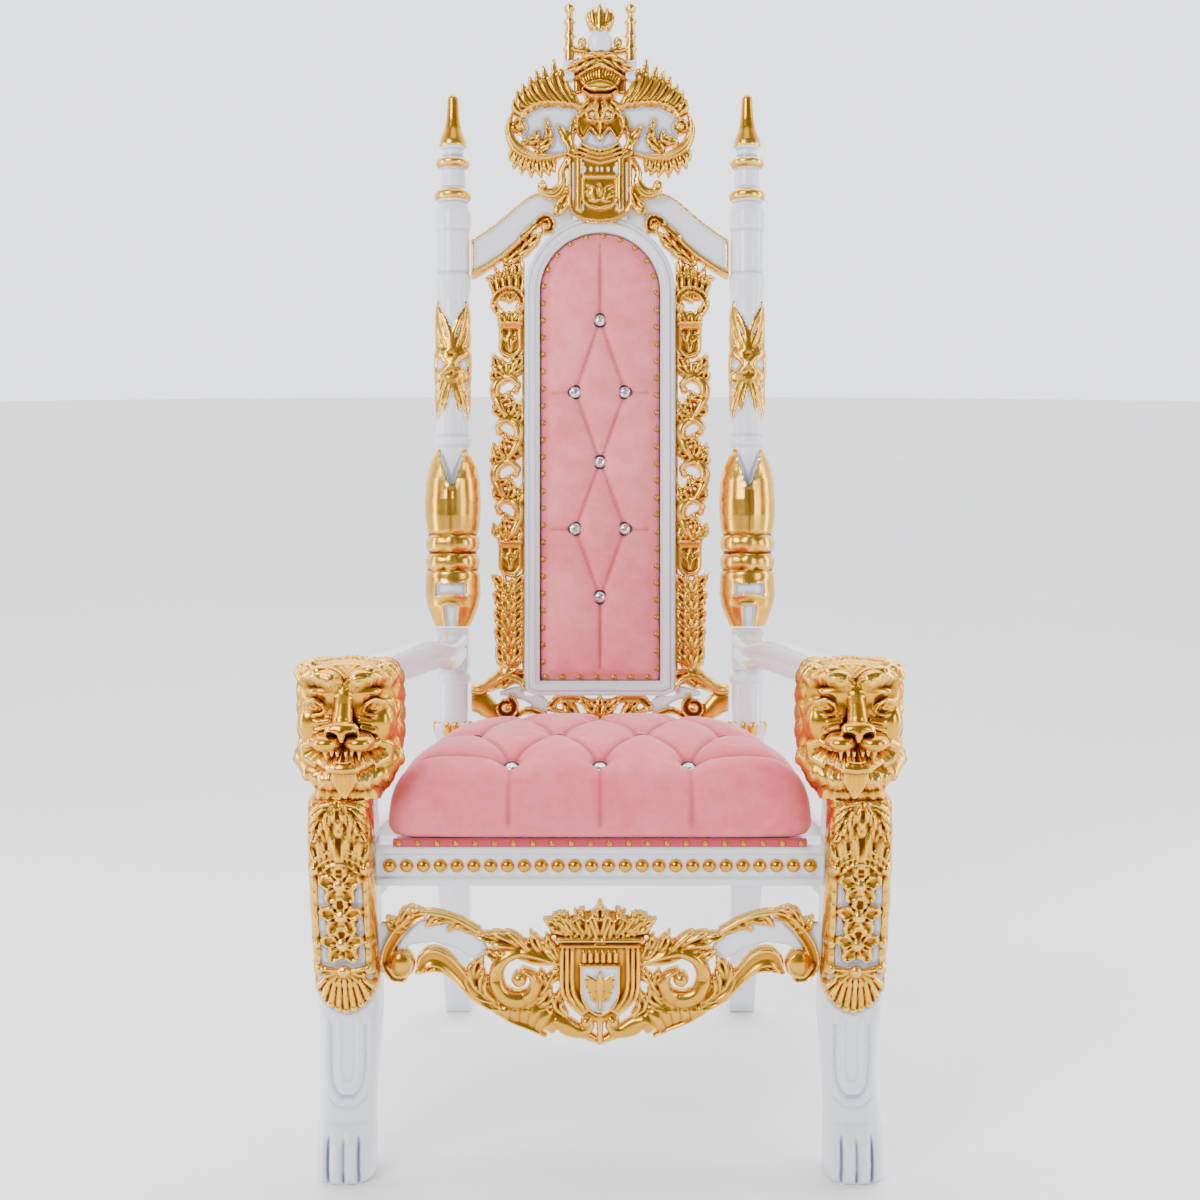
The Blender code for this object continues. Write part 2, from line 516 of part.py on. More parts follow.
def carve_fretwork(c):
    """The openwork strip beside the back's frame, with x out from the frame."""
    c.ribbon([(1.2, 262), (1.2, 690)], 1.2, 3, 6)
    # Flames and the arched scroll
    for x, tip, lean in ((4, 256, 0), (11, 258, 1), (18, 262, 2), (25, 268, 4), (32, 278, 6)):
        c.leaf([(x * 0.8 + 2, 297), (x, 280), (x + lean, tip)], [3, 4.4, 1.2], 2, 5, 11, cut=0.2)
    c.ribbon([(4, 309), (3, 299), (10, 291), (20, 291), (28, 297), (32, 307)], [3, 3, 3, 3, 3, 2], 6, 13,
             "rolled")
    c.dome((5, 306), (4.6, 4.6), 6, 13)
    c.dome((15.5, 300), (4, 3.4), 5, 10)
    c.leaf([(32, 300), (27, 310), (18, 316)], [2, 4, 2], 3, 5, 11)
    c.ribbon([(6, 310), (10, 313), (18, 317)], 2, 5, 9)
    for top in (316, 534):
        carve_small_shield(c, 14.5, top)
    # Leaves and C-scrolls between the shields
    c.leaf([(15, 372), (8, 366), (3, 358)], [3, 5.5, 2], 3, 5, 11)
    c.leaf([(18, 374), (26, 366), (31, 356)], [3, 5.5, 1.6], 3, 5, 11)
    c.leaf([(16, 376), (17, 368), (15, 360)], [3, 4, 1.6], 2, 5, 12)
    side = 1
    for top in (376, 418, 460, 498):
        x_in, x_out = (7, 29) if side > 0 else (27, 6)
        mid = (x_in + x_out) / 2
        c.ribbon([(x_in, top + 13), (x_in + side, top + 5), (mid, top + 1), (x_out, top + 7),
                  (x_out + side, top + 20),
                  (mid + side * 5, top + 33), (mid - side, top + 41)],
                 [2, 2.6, 3, 3.2, 3, 2.6, 2], 6, 12, "rolled")
        c.dome((x_in, top + 13), (4.2, 4.2), 6, 13)
        c.leaf([(mid - side, top + 38), (mid - side * 4, top + 29), (mid - side * 2, top + 18)],
               [2.6, 5, 1.4], 3, 5, 11)
        c.leaf([(mid - side * 2, top + 40), (x_in - side * 1, top + 33), (x_in - side * 3, top + 23)],
               [2.4, 4.2, 1.4], 3, 5, 11)
        side = -side
    # The chain of leaves below
    for step, top in enumerate((577, 596, 615, 634, 652)):
        width = 15 - step
        c.leaf([(16, top + 20), (12, top + 10), (16 - width, top)], [3, 5, 2.4], 3, 5, 11, cut=0.3)
        c.leaf([(16, top + 20), (20, top + 10), (16 + width, top)], [3, 5, 2.4], 3, 5, 11, cut=0.3)
        c.ribbon([(16, top + 19), (16, top + 8)], [2.4, 1.4], 6, 12)
    c.ribbon([(2, 672), (16, 672), (30, 674)], [3, 4, 3], 5, 9)


def carve_small_shield(c, x, top):
    """A small crowned shield in the openwork."""
    c.ribbon([(x - 11, top + 8), (x + 11, top + 8)], 1.7, 8, 12)
    for shift in (-7.5, 0, 7.5):
        c.leaf([(x + shift * 0.8, top + 8), (x + shift * 1.1, top)], [3.8, 4.4], 2, 6, 11)
    shield = np.array(vee(12, top + 8, top + 43, top + 33)) + [x, 0]
    c.panel(shield, 6, 10, 1.4)
    inner = np.array(vee(8.2, top + 13.5, top + 38, top + 31)) + [x, 0]
    c.height[c.within(inner) > 0] = 7.6
    c.leaf([(x, top + 35), (x, top + 25), (x, top + 15)], [1.4, 2.6, 1], 2, 7.6, 10.5)
    for side in (-1, 1):
        c.leaf([(x, top + 28), (x + side * 4, top + 22), (x + side * 6.6, top + 17)], [1.4, 2.4, 1], 2, 7.6,
               10)


def carve_lower_rail(c):
    """The openwork rail between the posts below the back's frame."""
    c.ribbon([(132, 688), (118, 688), (103, 681), (90, 672), (76, 668)], [4, 4.5, 7, 8, 5], 5, 12, 5)
    c.ribbon([(132, 700), (120, 702), (108, 712), (94, 722), (84, 720)], [9.5, 10, 8, 6, 3], 5, 11)
    c.ribbon([(132, 690), (118, 691), (107, 684), (94, 676), (80, 680), (75, 690)], [3, 3, 3, 3, 3.4, 2], 8,
             14)
    c.volute((93.5, 707), 13, -120, -1.0, 7, 16)
    c.leaf([(96, 684), (86, 675), (74, 678), (72, 690)], [4, 8, 8, 2], 5, 6, 13)
    c.ribbon([(98, 693), (84, 692), (70, 695), (58, 704), (46, 708)], [2, 5, 6.5, 6, 3], 5, 8, "flat",
             gilt=0)
    c.ribbon([(84, 716), (72, 710), (58, 714), (48, 720), (36, 722)], [2.4, 3.4, 3.4, 3.4, 3], 6, 12,
             "rolled")
    c.ribbon([(50, 706), (40, 698), (24, 698), (12, 702), (0, 702)], [3, 4.4, 4, 3.6, 3.6], 6, 12, "rolled")
    c.ribbon([(50, 708), (36, 713), (18, 716), (0, 715)], [2.4, 3, 3, 3], 6, 12)
    c.leaf([(0, 716), (8, 708), (19, 700)], [4, 6, 2], 3, 6, 13)
    c.leaf([(0, 718), (0, 708), (0, 697)], [5, 6, 2], 3, 7, 14)
    c.leaf([(22, 716), (30, 708), (38, 700)], [3, 5.6, 2], 3, 6, 12)
    c.ribbon([(0, 722), (20, 723), (44, 722)], [4, 3.6, 3], 4, 8)


def carve_top_rail(c, half_span):
    """The S-shaped shoulders from the posts up to the crest, and the field behind the crest's foot."""
    upper = [(half_span, 241.5), (120, 236.5), (100, 222), (85, 209), (73, 199.5), (63, 195), (50, 192),
             (0, 190)]
    lower = [(half_span, 275), (120, 271), (100, 258), (85, 245.5), (74, 234), (65, 226), (55, 219)]
    field = list(smooth_curve(upper, 5)) + [(0, 250), (40, 250)] + list(smooth_curve(lower, 5)[::-1])
    c.panel(field, 7, 10, 2, gilt=0)
    c.ribbon(upper[:7], 1.4, 7, 13)
    c.ribbon(lower[:6], [3.4, 3.2, 3, 3, 3, 3], 6, 13)
    c.ribbon([(half_span - 1.6, 244), (half_span - 1.6, 273)], 1.6, 7, 12.5)
    c.ribbon([(78, 238), (66, 227), (56, 218.5), (49, 221), (49, 230), (56, 232)],
             [3, 3, 3, 3, 2.8, 2], 7, 15, "rolled")
    c.dome((55, 227), (4.4, 4.4), 7, 15)
    c.leaf([(92, 262), (78, 252), (66, 240), (60, 234)], [4.5, 5, 5, 2], 5, 6, 12)

# Meshes from carved boards
CELL_FACES = {1: "aps", 2: "bqp", 3: "abqs", 4: "crq", 5: "aps crq", 6: "bcrp", 7: "abcrs", 8: "dsr",
              9: "aprd", 10: "bqp dsr", 11: "abqrd", 12: "cdsq", 13: "apqcd", 14: "bcdsp", 15: "abcd"}


def largest_body(count, faces):
    """The faces of the biggest connected body."""
    owner = np.arange(count)
    ends = np.array([(f[0], v) for f in faces for v in f[1:]])
    while True:
        lowest = np.minimum(owner[ends[:, 0]], owner[ends[:, 1]])
        before = owner.copy()
        np.minimum.at(owner, ends[:, 0], lowest)
        np.minimum.at(owner, ends[:, 1], lowest)
        owner = owner[owner]
        if (owner == before).all():
            break
    firsts = owner[np.array([f[0] for f in faces])]
    names, sizes = np.unique(firsts, return_counts=True)
    main = names[np.argmax(sizes)]
    return [f for f, own in zip(faces, firsts) if own == main]


def board_mesh(c, edge=0.8):
    """Marching squares over the outline: front at the carved height, flat back, walls along the outline."""
    c.inside[0], c.inside[-1], c.inside[:, 0], c.inside[:, -1] = -1, -1, -1, -1
    level = np.where(np.abs(c.inside) < 0.02, 0.02, c.inside)
    solid_here = level > 0
    points, index = [], {}
    corners = (("a", 1, 0), ("b", 1, 1), ("c", 0, 1), ("d", 0, 0))

    def corner(row, col):
        key = (row, col, 0)
        if key not in index:
            index[key] = len(points)
            points.append((c.x[col], c.y[row], max(c.height[row, col], edge)))
        return index[key]

    def crossing(row, col, row2, col2):
        key = (row, col, 1) if row == row2 else (row, col, 2)
        if key not in index:
            t = level[row, col] / (level[row, col] - level[row2, col2])
            t = min(max(t, 0.04), 0.96)
            high = c.height[row, col] if level[row, col] > 0 else c.height[row2, col2]
            index[key] = len(points)
            points.append((c.x[col] + t * (c.x[col2] - c.x[col]), c.y[row] + t * (c.y[row2] - c.y[row]),
                           max(high, edge)))
        return index[key]

    lower, upper = solid_here[1:], solid_here[:-1]
    code = lower[:, :-1] * 1 + lower[:, 1:] * 2 + upper[:, 1:] * 4 + upper[:, :-1] * 8
    front, walls = [], []
    for row, col in zip(*np.nonzero(code)):
        for shape in CELL_FACES[code[row, col]].split():
            face = []
            for letter in shape:
                if letter in "abcd":
                    _, down, right = corners["abcd".index(letter)]
                    face.append(corner(row + down, col + right))
                elif letter == "p":
                    face.append(crossing(row + 1, col, row + 1, col + 1))
                elif letter == "q":
                    face.append(crossing(row, col + 1, row + 1, col + 1))
                elif letter == "r":
                    face.append(crossing(row, col, row, col + 1))
                else:
                    face.append(crossing(row, col, row + 1, col))
            front.append(tuple(face))
            for i, letter in enumerate(shape):
                if letter in "pqrs" and shape[(i + 1) % len(shape)] in "pqrs":
                    walls.append((face[i], face[(i + 1) % len(face)]))
    kept = largest_body(len(points), front)
    used = sorted({v for f in kept for v in f})
    number = {v: i for i, v in enumerate(used)}
    total = len(used)
    top = np.array([points[v] for v in used])
    bottom = top.copy()
    bottom[:, 2] = 0
    faces = [tuple(number[v] for v in f) for f in kept]
    faces += [tuple(number[v] + total for v in f[::-1]) for f in kept]
    faces += [(number[b], number[a], number[a] + total, number[b] + total) for a, b in walls if a in number]
    return np.vstack([top, bottom]), faces


def back_board(name, c, look, kept, rear=BOARD_BACK, unit=CARVING_DEPTH):
    """A board carved from the drawing of the back, standing in the back's plane."""
    places, faces = board_mesh(c)
    points = np.column_stack([places[:, 0] * BACK_ACROSS, rear - places[:, 2] * unit,
                              raised(places[:, 1])])
    return reduced(solid(name, points, faces, look, back_plane), kept)


def frame_outline(inset, steps=12):
    """The back frame's outline, set in by a distance: foot corners, then over the arch."""
    half = FRAME_OUT - inset
    points = [(-half, FRAME_FOOT + inset), (half, FRAME_FOOT + inset)]
    for angle in np.linspace(0, math.pi, steps + 1):
        points.append((half * math.cos(angle), FRAME_SPRING + half * math.sin(angle)))
    return points


def outline_ring(inset, depth):
    return [(x, depth, z) for x, z in frame_outline(inset)]


def in_drawing(inset):
    """The frame's outline in the units of the drawing of the back."""
    return [(x / BACK_ACROSS, drawn(z)) for x, z in frame_outline(inset)]


def clear_of(c, outline, clearance=BOARD_CLEARANCE):
    """Trims a board where another piece stands."""
    c.inside = np.minimum(c.inside, -c.within(outline) - clearance)


# The back
def make_back_frame():
    """The lacquered frame round the pad: a stepped moulding along the arch."""
    profile = [(0, FRAME_BACK), (0, -0.009), (0.003, -0.0125), (0.0065, -0.0125), (0.0085, -0.010),
               (0.0105, -FRAME_FRONT), (0.0185, -FRAME_FRONT), (0.021, -0.012), (FRAME_FACE, -0.010),
               (FRAME_FACE, FRAME_BACK)]
    rings = [outline_ring(inset, depth) for inset, depth in profile]
    count = len(rings[0])
    points = [p for ring in rings for p in ring]
    faces = []
    for level in range(len(rings)):
        below = (level + 1) % len(rings)
        for i in range(count):
            j = (i + 1) % count
            faces.append((level * count + i, level * count + j, below * count + j, below * count + i))
    return solid("back_frame", points, faces, WHITE, back_plane)


def make_back_cover():
    """The board that closes the back behind the pad."""
    inset = FRAME_FACE - COVER_LAP
    near = FRAME_BACK + GAP
    rings = [outline_ring(inset, near + COVER_THICKNESS), outline_ring(inset, near)]
    return lofted("back_cover", rings, CLOTH, back_plane)


def pad_button_places():
    """Middle of each button on the pad, across and up from the turn."""
    rows = ((321.5, (0,)), (393, (-24.8, 24.8)), (462.5, (0,)), (529, (-24.8, 24.8)), (597, (0,)))
    return [(x * BACK_ACROSS, raised(y)) for y, xs in rows for x in xs]


def drilled(made, pits, parent=None):
    """Cuts a round pit at each place along the given direction."""
    bm = bmesh.new()
    for place, direction, radius, depth in pits:
        turn = Vector(direction).to_track_quat("Z", "Y").to_matrix().to_4x4()
        middle = Vector(place)
        bmesh.ops.create_cone(bm, cap_ends=True, segments=7, radius1=radius, radius2=radius * 1.25,
                              depth=depth, matrix=Matrix.Translation(middle) @ turn)
    mesh = bpy.data.meshes.new(made.name + "_pits")
    bm.to_mesh(mesh)
    bm.free()
    cutter = bpy.data.objects.new(made.name + "_pits", mesh)
    bpy.context.collection.objects.link(cutter)
    cutter.parent = parent
    cutter.hide_render = True
    cutter.display_type = "WIRE"
    modifier = made.modifiers.new("pits", "BOOLEAN")
    modifier.object = cutter
    modifier.solver = "EXACT"
    return made


def button(name, place, turn, parent=None):
    """A crystal button: a low faceted stone."""
    bm = bmesh.new()
    bmesh.ops.create_cone(bm, cap_ends=True, segments=7, radius1=BUTTON_RADIUS, radius2=BUTTON_RADIUS * 0.62,
                          depth=BUTTON_HEIGHT, matrix=turn)
    mesh = bpy.data.meshes.new(name)
    bm.to_mesh(mesh)
    bm.free()
    made = bpy.data.objects.new(name, mesh)
    bpy.context.collection.objects.link(made)
    made.parent = parent
    made.location = place
    mesh.materials.append(CRYSTAL)
    return made


def make_back_pad():
    """The buttoned pad in the frame, and its seven buttons in their pits."""
    edge = FRAME_FACE + PAD_CLEARANCE
    levels = [(edge, FRAME_BACK - GAP), (edge, -PAD_RISE * 0.4), (edge + 0.020, -PAD_RISE)]
    pad = lofted("back_pad", [outline_ring(inset, depth) for inset, depth in levels], PINK, back_plane)
    facing = Matrix.Rotation(math.pi / 2, 4, "X")
    pits = []
    for number, (x, z) in enumerate(pad_button_places(), 1):
        floor = -PAD_RISE + PAD_PIT
        pits.append(((x, floor - 0.02, z), (0, -1, 0), BUTTON_RADIUS + PIT_CLEARANCE, 0.04))
        button(f"back_button_{number}", (x, floor - GAP - BUTTON_HEIGHT / 2, z), facing, back_plane)
    return drilled(pad, pits, back_plane)


def make_crest():
    c = Carving((0, 96), (2, 230), BOARD_CELL)
    carve_crest(c)
    back_board("crest", c.mirrored(), GOLD, FACES_KEPT["crest"], -FRAME_FRONT - GAP, CREST_DEPTH)


def post_side():
    """The posts' inner side, in units of the drawing."""
    return (POST_X - POST_UNIT * 18.5 - GAP) / BACK_ACROSS


def make_top_rail():
    c = Carving((0, post_side() + 3), (150, 282), BOARD_CELL)
    carve_top_rail(c, post_side())
    c.panel([(0, 160), (27, 160), (27, 222), (0, 222)], 0, CREST_SEAT, 0.1, gilt=0)
    c.inside = np.minimum(c.inside, post_side() - c.x[None, :])
    clear_of(c, in_drawing(0), ARCH_CLEARANCE)
    back_board("top_rail", c.mirrored(), WHITE, FACES_KEPT["top_rail"])


def make_fretwork():
    first = (FRAME_OUT + 2 * GAP) / BACK_ACROSS
    c = Carving((-1.5, 44), (244, FRET_DRAWN_FOOT), BOARD_CELL)
    carve_fretwork(c)
    c.x = c.x + first
    top = Carving((first - 1.5, first + 44), (244, FRET_DRAWN_FOOT), BOARD_CELL)
    carve_top_rail(top, post_side())
    c.inside = np.minimum(c.inside, c.x[None, :] - first)
    c.inside = np.minimum(c.inside, -top.inside - BOARD_CLEARANCE)
    for side, way in (("left", -1), ("right", 1)):
        places, faces = board_mesh(c)
        points = np.column_stack([way * places[:, 0] * BACK_ACROSS,
                                  BOARD_BACK - places[:, 2] * CARVING_DEPTH,
                                  raised(places[:, 1])])
        if way < 0:
            faces = [f[::-1] for f in faces]
        strip = solid(f"fretwork_{side}", points, faces, GOLD, back_plane)
        reduced(strip, FACES_KEPT["fretwork"])


def make_lower_rail():
    c = Carving((0, post_side() + 3), (655, 730), BOARD_CELL)
    carve_lower_rail(c)
    c.inside = np.minimum(c.inside, post_side() - c.x[None, :])
    clear_of(c, in_drawing(0))
    first = FRAME_OUT / BACK_ACROSS
    strip = [(first - 2, 0), (first + 42, 0), (first + 42, FRET_DRAWN_FOOT), (first - 2, FRET_DRAWN_FOOT)]
    clear_of(c, strip)
    back_board("lower_rail", c.mirrored(), GOLD, FACES_KEPT["lower_rail"])


def in_world(points):
    """From the leaning back's own axes to upright ones."""
    cos, sin = math.cos(RAKE), math.sin(RAKE)
    return [(x, BACK_Y + y * cos + z * sin, TURN_AT - y * sin + z * cos) for x, y, z in points]


# Down the drawing: radius in drawing units, and squareness where it isn't round
POST_PROFILE = [(93, 1.0), (98, 5.6), (120, 6.4), (129, 8), (139, 12.6), (148, 13.8), (149, 10.6),
                (158, 10.6),
                (160, 15.4), (163.7, 17.1), (167.5, 15.4), (170, 12), (189.5, 13.4), (192, 16.8),
                (196.4, 18.3), (201, 16.6), (203.5, 14.2), (213, 17.6), (229, 17.6), (230.5, 16.5),
                (275, 16.5), (276.5, 18.2), (291, 16.8), (303, 16.1), (345, 18),
                (352, 19.6), (379, 19.6), (388, 18), (437, 16.4), (438.5, 18.1), (444, 18.1),
                (446, 16.1), (453, 16.1), (464, 22), (480, 26.6), (500, 28), (534, 25.3),
                (538, 27), (550, 27), (552.5, 25), (556, 26.6), (594, 28), (606, 25.5), (627, 16.6)]


def make_rear_post(side, way):
    """A turned column over a sawn leg that sweeps back to the floor."""
    rings = []
    for down, radius in POST_PROFILE:
        section = superellipse(radius * POST_UNIT, radius * POST_UNIT, 2, POST_SIDES)
        rings.append(in_world([(way * POST_X + x, y, raised(down)) for x, y in section]))
    for down, half, squareness in ((628.5, BLOCK_HALF, 9), (669, BLOCK_HALF, 9), (670.5, 0.0272, 2.4),
                                   (674, 0.0316, 2), (681, 0.0316, 2), (683, 0.027, 2), (716, 0.027, 2),
                                   (722, 0.0300, 3), (730, BLOCK_HALF, 9)):
        section = superellipse(half, half, squareness, POST_SIDES)
        rings.append(in_world([(way * POST_X + x, y, raised(down)) for x, y in section]))
    for height, depth, half in ((0.46, 0.6105, BLOCK_HALF), (0.38, 0.6065, BLOCK_HALF),
                                (0.28, 0.612, 0.0275), (0.16, 0.634, 0.0262), (0.06, 0.663, 0.0246),
                                (0.004, REAR_FOOT_Y, REAR_FOOT_HALF),
                                (0.0, REAR_FOOT_Y, REAR_FOOT_HALF - 0.002)):
        section = superellipse(half, half, 9, POST_SIDES)
        rings.append([(way * POST_X + x, depth + y, height) for x, y in section])
    return lofted(f"rear_post_{side}", [ring[::-1] for ring in rings], WHITE)


# The front


def carve_leg(c):
    """The front of a leg, x inwards from its middle: leaf collar, rosettes, balls, shell, grooved shin."""
    c.inside[:] = 5
    c.height[:] = 3
    c.gilt[:] = 0
    c.ribbon([(33, 806), (34, 900), (34, 1000)], [4.5, 4.5, 3], 3, 8, 22)
    c.ribbon([(-27, 850), (-27, 905), (-26, 975)], [4.5, 4.5, 4], 3, 9, 11)
    c.ribbon([(24, 850), (25, 905), (24, 975)], [3, 3, 3], 3, 9, 11)
    for x, top in ((-26, 818), (26, 818), (-13, 811), (13, 811), (0, 806)):
        c.leaf([(x * 0.85, 856), (x, 836), (x * 1.04, top)], [9, 10.5, 6], 4, 4, 12 if x else 14)
    c.ribbon([(-25, 868), (-18, 857), (0, 852), (18, 857), (25, 868)], [3, 3.4, 3.4, 3.4, 3], 5, 12,
             "rolled")
    for y in (868, 943, 969):
        for x in (-24, 24):
            c.dome((x, y), (5.4, 5.4), 5, 15)
    for y in (884, 915.6, 946, 971.5):
        c.dome((0, y), (17.5, 17), 4, 8)
        for step in range(8):
            angle = math.radians(45 * step)
            c.dome((11.4 * math.cos(angle), y + 11 * math.sin(angle)), (5.2, 5.2), 6, 11.5)
        c.dome((0, y), (6.4, 6.4), 8, 15)
    c.plumes([(-10, 980), (0, 984), (10, 980)], [(-31, 980), (-24, 1003), (0, 1015), (24, 1003), (31, 980)],
             9, (6, 3.4), 4, 12)
    c.dome((0, 982), (6, 5), 8, 14)
    c.groove([(-17, 1030), (-16.5, 1080), (-11, 1101), (0, 1106), (11, 1101), (16.5, 1080), (17, 1030)], 1.6,
             2.6)
    c.ribbon([(-23, 1030), (-22, 1084), (-14, 1110), (0, 1115), (14, 1110), (22, 1084), (23, 1030)],
             3, 3, 5.4, "round", 0)
    c.ribbon([(-10, 1030), (-9.5, 1078), (-6, 1092), (0, 1095), (6, 1092), (9.5, 1078), (10, 1030)],
             2.6, 3, 4.6, "round", 0)


def spread(stations, height):
    """The values at a height, eased between the stations of a table."""
    levels = np.array([s[0] for s in stations])
    return [float(np.interp(height, levels, [s[k] for s in stations])) for k in range(1, len(stations[0]))]


# Up the leg: height, middle across, half width, front and rear face, squareness
LEG_STATIONS = [(0.000, 0.3803, PAW_HALF - 0.004, 0.006, 0.098, 2.6),
                (0.006, 0.3805, PAW_HALF, 0.001, 0.100, 2.6),
                (0.030, 0.3805, PAW_HALF, 0.000, 0.100, 2.6), (0.060, 0.3800, 0.0450, 0.006, 0.098, 2.7),
                (0.090, 0.3785, 0.0425, 0.018, 0.094, 2.8), (0.125, 0.3745, 0.0402, 0.024, 0.092, 3.2),
                (0.180, 0.3710, 0.0420, 0.021, 0.094, 3.6), (0.250, 0.3688, 0.0450, 0.014, 0.100, 4.5),
                (0.340, 0.3710, 0.0460, 0.006, 0.107, 5.5), (0.440, LEG_X, LEG_HALF, 0.002, LEG_DEPTH, 6.5),
                (0.530, LEG_X, LEG_HALF, 0.000, LEG_DEPTH, 6.5), (0.572, LEG_X, 0.0455, 0.000, LEG_DEPTH, 5),
                (LEG_TOP - GAP, LEG_X, 0.0440, 0.004, LEG_DEPTH, 5)]


def leg_point(c, height, angle, way):
    """A point on the leg, with its front carving and the toes of its paw."""
    middle, half, front, rear, squareness = spread(LEG_STATIONS, height)
    cos, sin = math.cos(angle), math.sin(angle)
    x = half * math.copysign(abs(cos)**(2 / squareness), cos)
    depth = (rear - front) / 2
    y = (front + rear) / 2 + depth * math.copysign(abs(sin)**(2 / squareness), sin)
    facing = max(0.0, -sin)**0.7
    drawn = LEG_DRAWN_TOP + (LEG_DRAWN_AT - height) / LEG_DOWN
    row = min(max(int(round((drawn - c.y[0]) / c.cell)), 0), len(c.y) - 1)
    col = min(max(int(round((-x / LEG_ACROSS - c.x[0]) / c.cell)), 0), len(c.x) - 1)
    relief = (c.height[row, col] - 3) * LEG_RELIEF * min(1.0, facing * 1.6)
    if height < 0.085:
        fade = math.sin(math.pi * min(1.0, (height + 0.012) / 0.085))
        relief -= 0.010 * fade * facing * abs(math.cos(2 * math.pi * (x + half) / half))**6
    return (way * (middle + x), y - relief, height)


def make_front_leg(side, way):
    """A lion's leg and paw, carved down its front."""
    c = Carving((-34, 38), (800, 1120), 1.5)
    carve_leg(c)
    rings = []
    heights = np.concatenate([[0, 0.006], np.linspace(0.014, LEG_TOP - GAP, 120)])
    angles = np.linspace(0, 2 * math.pi, 56, endpoint=False)
    for height in heights:
        ring = [leg_point(c, float(height), float(angle), way) for angle in angles]
        rings.append(ring if way > 0 else ring[::-1])
    leg = reduced(lofted(f"front_leg_{side}", rings, WHITE), FACES_KEPT["leg"])
    for vertex in leg.data.vertices:
        if vertex.co.z < SOLE_ROUNDING:
            vertex.co.z = 0
    return leg


def blend(a, b, soft):
    """The union of two distance fields with a rounded joint."""
    h = np.clip(0.5 + 0.5 * (b - a) / soft, 0, 1)
    return b + (a - b) * h - soft * h * (1 - h)


def ball(p, centre, radii):
    """Roughly the distance to an ellipsoid."""
    q = (p - np.array(centre, float)) / np.array(radii, float)
    length = np.linalg.norm(q, axis=-1)
    return (length - 1) * min(radii) * (0.5 + 0.5 * np.clip(length, 0, 1))


def bar(p, a, b, ra, rb):
    """The distance to a round bar that tapers from one end to the other."""
    a, b = np.array(a, float), np.array(b, float)
    along = np.clip(((p - a) @ (b - a)) / ((b - a) @ (b - a)), 0, 1)
    return np.linalg.norm(p - a - along[..., None] * (b - a), axis=-1) - (ra + (rb - ra) * along)


def lion(p):
    """A lion's head as a distance field, in millimetres: x across, y to the rear, z up from its middle."""
    m = p.copy()
    m[..., 0] = np.abs(m[..., 0])
    q = np.abs(p - np.array([0, 14, 4.0])) - np.array([44, 28, 60.0])
    mane = np.linalg.norm(np.maximum(q, 0), axis=-1) + np.minimum(q.max(-1), 0) - 27
    neck = ball(p, (0, 18, -84), (60, 44, 52))
    head = blend(mane, neck, 18)
    head = blend(head, bar(m, (4, -34, 52), (62, -16, 62), 19, 13), 8)
    head = blend(head, bar(m, (6, -42, 36), (44, -36, 36), 10, 8), 7)
    head = blend(head, bar(p, (0, -44, 34), (0, -72, -4), 12, 13), 8)
    head = blend(head, bar(p, (0, -84, -8), (0, -80, -16), 10, 5), 4)
    head = blend(head, ball(m, (18, -68, -28), (23, 23, 15)), 4)
    head = blend(head, ball(m, (50, -34, -8), (20, 22, 24)), 9)
    head = blend(head, bar(m, (0, -62, -62), (34, -38, -50), 10, 9), 7)
    head = blend(head, bar(m, (44, -38, -30), (54, -30, -52), 10, 9), 5)
    head = np.maximum(head, -ball(p, (0, -72, -46), (30, 30, 9)))
    head = blend(head, bar(p, (0, -62, -64), (0, -60, -104), 14, 4), 3)
    head = blend(head, ball(p, (0, -56, -52), (18, 24, 7)), 3)
    eye = ball(m, (38, -40, 20), (14, 12, 9.5))
    head = np.maximum(head, -ball(m, (38, -56, 20), (17, 12, 11)))
    head = np.minimum(head, eye)
    head = blend(head, bar(m, (22, -50, 28), (54, -38, 24), 3.6, 3), 3)
    head = np.maximum(head, -ball(m, (9, -94, -14), (6, 8, 4.4)))
    return head


def make_lion_head(side, way, across=44, up=34):
    """The head, found along rays from its middle; its foot and its back are cut flat."""
    middle = np.array([0, 8, -12.0])
    polar = np.linspace(0.0, math.pi, up + 1)[1:-1]
    turn = np.linspace(0, 2 * math.pi, across, endpoint=False)
    polar, turn = np.meshgrid(polar, turn, indexing="ij")
    rays = np.stack([np.sin(polar) * np.cos(turn), np.sin(polar) * np.sin(turn), np.cos(polar)], -1)
    rays = np.concatenate([rays.reshape(-1, 3), [(0, 0, 1), (0, 0, -1)]])
    reach = np.full(len(rays), 10.0)
    for distance in np.linspace(160, 20, 71):
        inside = lion(middle + rays * distance) < 0
        reach = np.where((reach == 10.0) & inside, distance, reach)
    foot = (LEG_TOP + GAP - HEAD_Z) * 1000 - middle[2]
    rear = (HEAD_REAR - HEAD_Y) * 1000 - middle[1]
    with np.errstate(divide="ignore"):
        reach = np.minimum(reach, np.where(rays[:, 2] < -1e-6, foot / rays[:, 2], 1e9))
        reach = np.minimum(reach, np.where(rays[:, 1] > 1e-6, rear / rays[:, 1], 1e9))
    points = (middle + rays * reach[:, None]) / 1000
    points = [(way * (HEAD_X + x), HEAD_Y + y, HEAD_Z + z) for x, y, z in points]
    levels = up - 1
    faces = []
    for level in range(levels - 1):
        for i in range(across):
            j = (i + 1) % across
            faces.append((level * across + i, (level + 1) * across + i, (level + 1) * across + j,
                          level * across + j))
    top, bottom = levels * across, levels * across + 1
    for i in range(across):
        j = (i + 1) % across
        faces.append((top, i, j))
        faces.append((bottom, (levels - 1) * across + j, (levels - 1) * across + i))
    if way < 0:
        faces = [f[::-1] for f in faces]
    head = solid(f"lion_head_{side}", points, faces, GOLD)
    return reduced(head, FACES_KEPT["head"])


